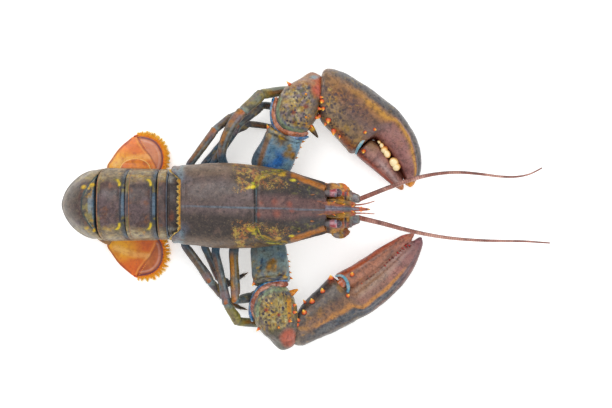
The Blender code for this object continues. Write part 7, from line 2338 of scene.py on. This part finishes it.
def model_mouth_plate():
    """The plate that both pairs of feelers stand on, with a ridge down its middle."""
    y = float(midline(14))
    rows = ((CARAPACE_FRONT - 3.0, y, 25.0, 7.2, 7.4, 0), (15.2, y, 25.2, 6.0, 7.2, 0),
            (17.0, y, 25.4, 5.6, 6.8, 0),
            (18.8, y, 25.7, 5.0, 5.9, 0), (20.5, y, 26.0, 4.0, 4.6, 0))
    piece = limb("mouth_plate_shell", rows, 20, 2.5, 2)
    at, out = coords(piece), outward(piece)
    lift = 0.5 * ridge(at[:, 1], y, 0.7) + ripple(at, 2.2, 4, 0.5)
    shape(piece, at + out * lift[:, None])
    wear(mottled(piece, (120, 84, 72), ((76, 58, 58), 3, 0.4, 2, 0.8), ((196, 140, 96), 2, 0.3, 4, 0.8),
                 fleck=0.25), HEAD, "belly", "mouth_plate")


for hand, word in SIDES:
    model_eye(hand, word)
    model_antenna(hand, word)
    model_antennule(hand, word)
    model_jaw_foot(hand, word)
model_mouth_plate()


# Tail fan, spread flat under the tail with its undersides up, then the paddles, the rear hairs and the chest.

FAN_MIDDLE_Y = 2.4
FRINGE_LENGTH = 4.6
OUTER_BLADE = {
    "outline": ((-127.6, 25.2), (-124.6, 30.6), (-120.2, 36.8), (-115.0, 41.6), (-109.4, 45.4),
                (-102.0, 45.0),
                (-96.2, 42.4), (-92.2, 37.4), (-90.6, 31.0), (-91.6, 24.0), (-96.0, 17.4), (-106.0, 13.6),
                (-117.0, 14.4), (-125.0, 19.0)),
    "fringe": (4.15, 11), "thick": 2.2, "root_level": 7.6, "slope": -0.125,
}
INNER_BLADE = {
    "outline": ((-126.0, 14.6), (-122.0, 20.0), (-114.0, 24.6), (-104.0, 26.8), (-96.8, 25.2), (-94.0, 20.6),
                (-96.6, 15.8), (-106.0, 13.4), (-118.0, 12.6)),
    "fringe": (3, 7), "thick": 1.8, "root_level": 2.6, "slope": -0.03,
}
TELSON_BLADE = {
    "outline": ((-127.0, 0.0), (-126.6, 9.2), (-114.0, 10.2), (-103.0, 9.8), (-98.0, 7.6), (-96.0, 4.0),
                (-95.4, 0.0), (-96.0, -4.0), (-98.0, -7.6), (-103.0, -9.8), (-114.0, -10.2), (-126.6, -9.2)),
    "fringe": (3, 9), "thick": 3.6, "root_level": 1.4, "slope": 0.0,
}
RIM_STEPS = 8
HAIRS_PER_STEP = 24
# The line across an outer blade where its far lobe folds: x, distance from the fan's middle.
FOLD = ((-108.6, 45.6), (-106.6, 41.0), (-103.0, 36.0), (-99.6, 32.0), (-96.4, 26.0), (-94.0, 19.0))


def rim_line(points, count):
    """A smooth closed line through points, with a number of steps to each span."""
    looped = list(points)[-1:] + list(points) + list(points)[:2]
    rows = flow(looped, count)
    return np.array(rows[count:-count - 1])[:, :2]


def blade_level(spec, across):
    return spec["root_level"] + spec["slope"] * np.abs(across)


def model_blade(name, spec, hand):
    """A blade: its rim as a filled outline, inset in steps and raised to a low crown on both sides."""
    rim = rim_line(spec["outline"], RIM_STEPS)
    count = len(rim)
    bpy.ops.mesh.primitive_circle_add(vertices=count, radius=10 * MM, fill_type="NGON")
    piece = settle(bpy.context.object, name)
    for vert, (x, across) in zip(piece.data.vertices, rim):
        vert.co = Vector((x, FAN_MIDDLE_Y + hand * across, blade_level(spec, across) - 0.25)) * MM
    open_up(piece)
    bpy.ops.mesh.extrude_region_move(TRANSFORM_OT_translate={"value": (0, 0, 0.5 * MM)})
    bpy.ops.object.mode_set(mode="OBJECT")
    for upper in (True, False):
        dome_side(piece, upper, count)
    close_up(piece)
    refine(piece, 1)
    at = coords(piece)
    gone = rim_distance(at, rim, hand)
    half = spec["thick"] / 2
    level = blade_level(spec, at[:, 1] - FAN_MIDDLE_Y)
    rise = np.sign(at[:, 2] - level) * half * (0.24 + 0.76 * steps(gone, 0.0, 5.5))
    at[:, 2] = np.maximum(0.02, level + np.where(gone > 0.05, rise, (at[:, 2] - level)))
    shape(piece, at)
    return piece, rim


def dome_side(piece, upper, count):
    """Insets one face of a blade again and again, so that rings of faces run inwards from its rim."""
    open_up(piece)
    pick(piece, lambda face: len(face.verts) > 8 and (face.normal.z > 0) == upper)
    for step in (0.7, 1.0, 1.6, 2.2):
        bpy.ops.mesh.inset(thickness=step * MM, use_even_offset=False)
    bpy.ops.mesh.delete(type="ONLY_FACE")
    bpy.ops.mesh.select_mode(type="EDGE")
    bpy.ops.mesh.select_all(action="DESELECT")
    bpy.ops.mesh.select_non_manifold()
    bpy.ops.mesh.fill_grid(span=count // 4, use_interp_simple=True)
    bpy.ops.mesh.select_mode(type="VERT")
    bpy.ops.object.mode_set(mode="OBJECT")


def rim_distance(at, rim, hand):
    loop = np.vstack([rim, rim[:1]])
    flat = np.stack([at[:, 0], (at[:, 1] - FAN_MIDDLE_Y) * hand], axis=1)
    return line_distance(flat, loop)


def fringe_places(rim, spec, hand, tufts):
    """Hairs round the rim between two of its points, in tufts that fan out a little."""
    first, last = (n * RIM_STEPS for n in spec["fringe"])
    count = len(rim)
    middle = rim.mean(axis=0)
    places = []
    for k in range(int(first * HAIRS_PER_STEP), int(last * HAIRS_PER_STEP)):
        place = k / HAIRS_PER_STEP + draw.uniform(-0.03, 0.03)
        i = int(place)
        share = place - i
        a, b = rim[i % count], rim[(i + 1) % count]
        spot = a + (b - a) * share
        along = (b - a) / np.linalg.norm(b - a)
        out = np.array((along[1], -along[0]))
        out *= np.sign(out @ (spot - middle))
        ends = min((place - first) / 8, (last - place) / 8, 1.0)
        wave = math.sin(place * 1.9 + 2.0 * math.sin(place * 0.37)) + 0.6 * math.sin(place * 4.3 + 1.0)
        long = FRINGE_LENGTH * (0.6 + 0.4 * max(0.0, ends)) * draw.uniform(0.74,
                                                                           1.0) * (1 + 0.12 * tufts * wave)
        lean = 0.24 * tufts * math.cos(place * 1.9 + 2.0 * math.sin(place * 0.37)) + draw.uniform(-0.14, 0.14)
        root = spot - out * 0.9
        z = float(blade_level(spec, spot[1]))
        way = (out[0] + along[0] * lean, (out[1] + along[1] * lean) * hand, draw.uniform(-0.07, 0.07))
        spot3 = (root[0], FAN_MIDDLE_Y + hand * root[1], max(0.35, z + draw.uniform(-0.22, 0.3)))
        places.append(spine_place(spot3, way, long, draw.uniform(0.2, 0.3), 0.2, draw.uniform(0, 6.2)))
    return places


def grow_fringe(name, places):
    return wear(sow(name, places, model_bristle), FRINGE, "fan")


def coat_outer_blade(piece, rim, hand):
    """The outer blade: a soft root part with a painted highlight, the fold, and the far lobe with its rim
    line.
    """
    ground = (232, 138, 50) if hand == LEFT else (216, 116, 40)
    c = Coat(piece, ground, depth=0.92)
    across = (c.at[:, 1] - FAN_MIDDLE_Y) * hand
    flat = np.stack([c.at[:, 0], across], axis=1)
    gone = rim_distance(c.at, rim, hand)
    fold = line_distance(flat, FOLD)
    behind = c.at[:, 0] < np.interp(across, [p[1] for p in FOLD][::-1], [p[0] for p in FOLD][::-1])
    c.patches((206, 112, 44), 6, 0.4, 5, 0.6, 0.12)
    # Painted highlight: pale yellow near the blade's root, with a pale streak running on from it.
    root = fade(np.hypot((c.at[:, 0] + 121.0) / 1.5, across - 26.5), 4.0, 12.0)
    c.lay((252, 204, 104), root * 0.6)
    c.lay((255, 226, 164), fade(line_distance(flat, ((-122, 27), (-110, 31), (-101, 32))), 0.6, 3.5) * 0.35)
    c.patches((176, 84, 40), 2.6, 0.3, 7, 0.4, 0.12)
    lobe = np.where(behind, 0.0, 1.0)
    c.lay((208, 146, 120) if hand == LEFT else (182, 108, 78), lobe * 0.8)
    c.patches((196, 124, 96) if hand == LEFT else (160, 84, 48), 4, 0.45, 9, lobe * 0.6, 0.1)
    c.lay((142, 76, 52), fade(fold, 0.2, 0.8) * 0.75)
    c.lay((250, 206, 156), band(fold, 0.9, 1.7, 0.4) * behind * 0.3)
    edge = c.at[:, 0] > -112
    c.lay((92, 40, 58), band(gone, 0.9, 2.3, 0.35) * edge * lobe * 0.9)
    c.lay((236, 206, 196), band(gone, 2.9, 3.5, 0.3) * edge * lobe * 0.45)
    c.lay((244, 150, 40), fade(gone, 0.2, 0.9) * edge * 0.8)
    c.lay((150, 74, 60), band(gone, 0.2, 1.2, 0.35) * ~edge * 0.8)
    return c.dry()


def model_fan():
    model_telson()
    for hand, word in SIDES:
        tufts = 1.5 if hand == RIGHT else 0.5
        outer, rim = model_blade(f"uropod_{word}_blade", OUTER_BLADE, hand)
        wear(coat_outer_blade(outer, rim, hand), FAN, "fan", f"uropod_{word}")
        grow_fringe(f"uropod_{word}_fringe", fringe_places(rim, OUTER_BLADE, hand, tufts))
        inner, rim = model_blade(f"uropod_{word}_inner", INNER_BLADE, hand)
        wear(mottled(inner, (208, 136, 84), ((236, 180, 116), 7, 0.45, 3, 0.8),
                     ((160, 88, 62), 5, 0.35, 5, 0.7)), FAN, "fan")
        grow_fringe(f"uropod_{word}_inner_fringe", fringe_places(rim, INNER_BLADE, hand, 1.4))
        model_uropod_root(hand, word)


def model_telson():
    """The middle blade and the root that it turns under with."""
    middle, rim = model_blade("telson_blade", TELSON_BLADE, LEFT)
    root = limb("telson_root",
                ((-136.4, FAN_MIDDLE_Y, 7.6, 8.0, 4.0, (0.55, 0, -0.83)),
                 (-133.4, FAN_MIDDLE_Y, 4.4, 8.8, 3.4, (0.8, 0, -0.6)),
                                (-129.6, FAN_MIDDLE_Y, 3.2, 9.2, 3.0, (1, 0, -0.2)),
                                (-121.0, FAN_MIDDLE_Y, 1.8, 8.4, 1.6, (1, 0, 0)),
                                (-118.0, FAN_MIDDLE_Y, 1.7, 6.4, 0.9, (1, 0, 0))), 16, 2.6, 2)
    c = Coat(middle, (206, 138, 92))
    c.patches((236, 176, 120), 8, 0.45, 2, 0.8)
    c.patches((150, 92, 70), 5, 0.35, 4, 0.7)
    c.lay((112, 74, 72), fade(c.at[:, 0], -126, -118) * 0.6)
    c.dry()
    mottled(root, (124, 100, 84), ((168, 132, 96), 5, 0.4, 3, 0.8), fleck=0.15)
    wear(middle, FAN, "fan", "telson")
    wear(root, TAIL, "fan")
    grow_fringe("telson_fringe", fringe_places(rim, TELSON_BLADE, LEFT, 1.3))


def model_uropod_root(hand, word):
    """The stalk of a uropod, and the spines along the fold of its outer blade."""
    y = FAN_MIDDLE_Y
    stalk = limb(f"uropod_{word}_stalk", (
        (-137.0, y + hand * 12.0, 8.6, 3.2, 2.6, (0.5, hand * 0.4, -0.7)),
        (-134.4, y + hand * 14.0, 6.8, 4.2, 3.2, (0.7, hand * 0.5, -0.4)),
        (-131.4, y + hand * 16.6, 6.2, 5.2, 3.6, (0.8, hand * 0.6, -0.1)),
        (-127.6, y + hand * 20.2, 5.2, 4.6, 2.4, (0.8, hand * 0.6, -0.05)),
        (-124.0, y + hand * 23.0, 4.6, 3.0, 1.0, (0.9, hand * 0.4, 0))), 14, 2.4, 2)
    wear(mottled(stalk, (176, 132, 88), ((196, 150, 92), 4, 0.4, 3, 0.8), ((92, 72, 76), 4, 0.35, 6, 0.7),
                 fleck=0.2), TAIL, "fan")
    places = [spine_place((-109.6, y + hand * 45.0, 2.1), (0.9, hand * 0.5, 0.0), 2.6, 0.9, 1.0)]
    for k in range(9):
        x, across = np.array(FOLD[0]) + (np.array(FOLD[2]) - np.array(FOLD[0])) * k / 9
        places.append(spine_place((x, y + hand * across, float(blade_level(OUTER_BLADE, across)) + 0.9),
                                  (0.9, hand * 0.4, 0.15), 1.3, 0.42, 0.4))
    wear(sow(f"uropod_{word}_spines", places, model_spine), SPINE, "fan")


PADDLE_HAIRS = 90
PADDLE_HAIRS_SHOWN = 150
SWIMMERETS = {
    # ring: x of the root, distance from the midline, height of the root and of the blade, half sizes
    2: (-88.2, 12.0, 22.4, 14.4, 4.4, 3.6),
    3: (-98.0, 12.5, 22.2, 12.2, 6.4, 4.6),
    4: (-112.5, 13.0, 22.0, 11.8, 7.0, 4.8),
    5: (-124.2, 12.0, 21.4, 9.9, 5.4, 4.2),
}


def model_swimmeret(number, hand, word):
    """A small oval paddle on a short stalk, fringed with hairs. The fourth left one shows past the flank."""
    x, out, root_height, height, half_long, half_wide = SWIMMERETS[number]
    shown = (number, hand) == (4, LEFT)
    extra, back = (9.6, 2.0) if shown else (0.0, 0.0)
    half_long, half_wide = (half_long + 3.0, half_wide + 2.6) if shown else (half_long, half_wide)
    y = TAIL_MIDLINE_Y
    centre = Vector((x + SWIMMERETS[number][4] * 0.8 - back, y + hand * (out + 1.4 + extra * 0.8), height))
    paddle = ball(f"swimmeret_{word}_{number}", 32, 16, 1.0, centre, (half_long, half_wide, 0.75))
    at = coords(paddle)
    off = at - np.array(centre)
    share = off[:, 0] / half_long
    at[:, 2] += 0.9 * (1 - (off[:, 1] / half_wide) ** 2) + 0.35 * np.sin(off[:, 1] * 1.2) - 0.5 * share
    shape(paddle, at)
    refine(paddle, 1)
    c = Coat(paddle, (216, 124, 46), depth=0.9)
    gone = np.hypot((c.at[:, 0] - centre.x) / half_long, (c.at[:, 1] - centre.y) / half_wide)
    c.patches((232, 150, 66), 5, 0.45, 2, 0.7, 0.1)
    c.patches((166, 84, 36), 4, 0.4, 5, 0.7, 0.1)
    c.lay((255, 224, 160), steps(gone, 0.9, 0.98) * (hand * (c.at[:, 1] - centre.y) > 0) * 0.8)
    wear(c.dry(), FAN, "fan")
    places = []
    count = PADDLE_HAIRS_SHOWN if shown else PADDLE_HAIRS
    for k in range(count):
        a = 2 * math.pi * k / count + draw.uniform(-0.02, 0.02)
        if math.cos(a) < -0.75:
            continue
        way = Vector((math.cos(a) * half_wide + 0.8, math.sin(a) * half_long, draw.uniform(-0.3, 0.3)))
        root = centre + Vector((math.cos(a) * half_long * 0.95, math.sin(a) * half_wide * 0.95,
                                -0.4 * math.cos(a)))
        places.append(spine_place(root, way, draw.uniform(1.1, 2.0), 0.14, 0.3, draw.uniform(0, 6)))
    grow_fringe(f"swimmeret_{word}_{number}_hairs", places)
    root = Vector((x, y + hand * out, root_height))
    stations = [(*root, 1.9, 1.9, (0, hand * 0.5, -1)),
                (x + 0.6, y + hand * (out + 1.0), (root_height + height) / 2, 1.9, 1.7,
                 (0.3, hand * 0.6, -1)),
                (*centre.lerp(Vector((x, y + hand * out, height)), 0.5), 2.0, 0.8, (1, hand * 0.4, -0.3))]
    stalk = limb(f"swimmeret_{word}_{number}_stalk", stations, 10, 2.0, 2)
    wear(mottled(stalk, (186, 122, 74), ((222, 168, 110), 3, 0.45, 2, 0.8)), FAN, "fan")


REAR_HAIRS = 860
# Half width, height of the top and of the widest line of the arch that they stand on.
REAR_ARCH = (20.7, 46.9, 31.0)


def model_rear_hairs():
    """The row of setae behind the shield's rear margin, over the first ring. It sweeps back on the flanks."""
    half_width, top, wide = REAR_ARCH
    places = []
    for k in range(REAR_HAIRS):
        a = math.pi * (k / (REAR_HAIRS - 1)) - math.pi / 2 + draw.uniform(-0.004, 0.004)
        across, up = math.sin(a), rounded(max(0.0, math.cos(a)), 2.1)
        y = TAIL_MIDLINE_Y + across * half_width
        z = wide + up * (top - wide)
        notch = abs(math.sin(math.pi * y / 3.1 + 0.5 * math.sin(y))) ** 0.6
        long = draw.uniform(2.1, 2.7) * (0.5 + 0.75 * notch)
        out = Vector((0, across, max(0.05, math.cos(a))))
        way = Vector((-1, 0, 0)) + out * draw.uniform(0.1, 0.4)
        back = 5.4 * float(steps(np.array(abs(across) * half_width), 15.0, 20.0)) * float(steps(np.array(z),
                                                                                                26, 32))
        root = Vector((CARAPACE_REAR + 0.7 - back + draw.uniform(-0.3, 0.4), y, z)) + out * 0.7
        places.append(spine_place(root, way, long, 0.24, 0.5, draw.uniform(0, 6)))
    wear(sow("shield_rear_hairs", places, model_bristle), SETAE, "shell")


# Chest: the block under the shield, and on it the stub that each limb grows from.
CHEST_RINGS = (
    # x, half width at the top, half width at the floor side, underside height
    (-77.0, 12.0, 6.0, 11.0), (-66.0, 17.5, 8.0, 7.5), (-50.0, 19.0, 9.5, 6.0), (-34.0, 18.6, 10.0, 5.6),
    (-18.0, 17.0, 9.0, 6.4), (-4.0, 13.6, 7.0, 9.0), (8.0, 10.6, 6.0, 13.0), (CARAPACE_FRONT, 9.8, 5.6, 15.0),
)


def chest_ring(x, top_half, low_half, low):
    y = midline(x)
    top = RECESS_HEIGHT
    outline = ((top_half, top), (top_half, top - 3.5), ((top_half + low_half) / 2, (top + low) / 2 - 1.0),
               (low_half, low + 0.8), (low_half * 0.5, low), (0.0, low + 0.7))
    return [(x, y + across, z) for across, z in outline] + [(x, y - across, z) for across,
                                                            z in outline[-2::-1]]


def model_chest():
    rows = flow(CHEST_RINGS, 3)
    block = plate("chest_block", [chest_ring(*row) for row in rows], [row[0] for row in rows])
    at, out = coords(block), outward(block)
    lower = steps(-out[:, 2], 0.1, 0.6)
    off = np.abs(at[:, 1] - midline(at[:, 0]))
    lift = -0.7 * ridge(off, 0, 0.8) * lower
    for x in (-71.0, -63.0, -55.0, -46.0, -37.0, -22.0, -8.0):
        lift -= 0.7 * ridge(at[:, 0], x, 0.7) * lower
    shape(block, at + out * (lift + ripple(at, 3.0, 3, 0.5))[:, None])
    c = Coat(block, (186, 150, 118), fleck=0.1)
    c.patches((150, 104, 78), 6, 0.45, 2, 0.8)
    c.patches((206, 182, 156), 4, 0.35, 4, 0.7)
    c.lay((94, 108, 126), steps(c.at[:, 2], 12, 19) * 0.6)
    wear(c.dry(), BELLY, "belly", "chest")
    model_stubs()


def model_stubs():
    """The stub on the chest that each limb grows from."""
    roots = [(f"{name}_socket", spec["joints"]) for name, spec in LEGS.items()]
    roots += [("arm_left_socket", ARM_JOINTS[LEFT]), ("arm_right_socket", ARM_JOINTS[RIGHT])]
    for name, joints in roots:
        start, end = Vector(joints[0][:3]), Vector(joints[1][:3])
        way = joint_way(joints, 1)
        along = (end - start).normalized()
        wide, tall = joints[1][3:5]
        stations = [(*start, wide * 0.9, tall * 0.9, tuple(along))]
        stations += [(*start.lerp(end, share), wide * size, tall * size, tuple(along)) for share,
                     size in ((0.3, 1.0), (0.6, 1.12), (0.8, 1.08))]
        stations.append((*(end - way * (JOINT_GAP / 2)), wide * 0.94, tall * 0.94, tuple(way)))
        stub = limb(name, stations, 12, 2.2, 2)
        c = Coat(stub, (118, 122, 124), fleck=0.15)
        c.patches((176, 132, 92), 4, 0.4, 2, 0.8)
        c.patches((66, 84, 104), 4, 0.4, 5, 0.8)
        c.lay((186, 160, 130), steps(-c.out[:, 2], 0.0, 0.6) * 0.7)
        wear(c.dry(), LIMB, "belly")


model_fan()
for number in SWIMMERETS:
    for hand, word in SIDES:
        model_swimmeret(number, hand, word)
model_rear_hairs()
model_chest()


# Floor, light and camera.

CAMERA_HEIGHT = 1.6
CAMERA_SHIFT = 0.0038
SENSOR_WIDTH = 36.0
FAR_CLIP = 20.0
FLOOR_SIZE = 8.0
FLOOR_GLOW = 0.42
SEEN_WIDTH = 0.3935
WORLD_STRENGTH = 0.86
LAMPS = (
    ("soft_key", (-0.5, 0.9, 1.5), 1.1, 9.0),
    ("soft_fill", (0.9, -0.5, 1.4), 1.3, 4.0),
)


def set_stage():
    bpy.ops.object.select_all(action="DESELECT")
    bpy.ops.mesh.primitive_plane_add(size=FLOOR_SIZE, location=(0, 0, 0))
    floor = settle(bpy.context.object, "floor")
    f = Finish("floor_finish")
    colour = f.mix(f.noise(40, 3), (243, 243, 241), (246, 246, 245))
    floor.data.materials.append(f.done(colour, 0.7, f.bump(f.noise(3, 2), 0.02, 0.2)))
    f.set(f.shader.inputs["Emission Color"], (1.0, 1.0, 1.0, 1.0))
    f.set(f.shader.inputs["Emission Strength"], FLOOR_GLOW)
    world = bpy.data.worlds.new("studio")
    bpy.context.scene.world = world
    world.use_nodes = True
    world.node_tree.nodes["Background"].inputs["Color"].default_value = (0.96, 0.98, 1.0, 1.0)
    world.node_tree.nodes["Background"].inputs["Strength"].default_value = WORLD_STRENGTH
    for name, place, size, power in LAMPS:
        bpy.ops.object.light_add(type="AREA", location=place)
        lamp = bpy.context.object
        lamp.name = name
        lamp.data.shape = "DISK"
        lamp.data.size = size
        lamp.data.energy = power
        lamp.rotation_euler = (-Vector(place)).to_track_quat("-Z", "Y").to_euler()
    bpy.ops.object.camera_add(location=(0, CAMERA_SHIFT, CAMERA_HEIGHT), rotation=(0, 0, 0))
    camera = bpy.context.object
    camera.name = "camera"
    camera.data.sensor_width = SENSOR_WIDTH
    camera.data.lens = SENSOR_WIDTH * CAMERA_HEIGHT / SEEN_WIDTH
    camera.data.clip_end = FAR_CLIP
    bpy.context.scene.camera = camera
    bpy.context.scene.view_settings.view_transform = "Standard"


set_stage()
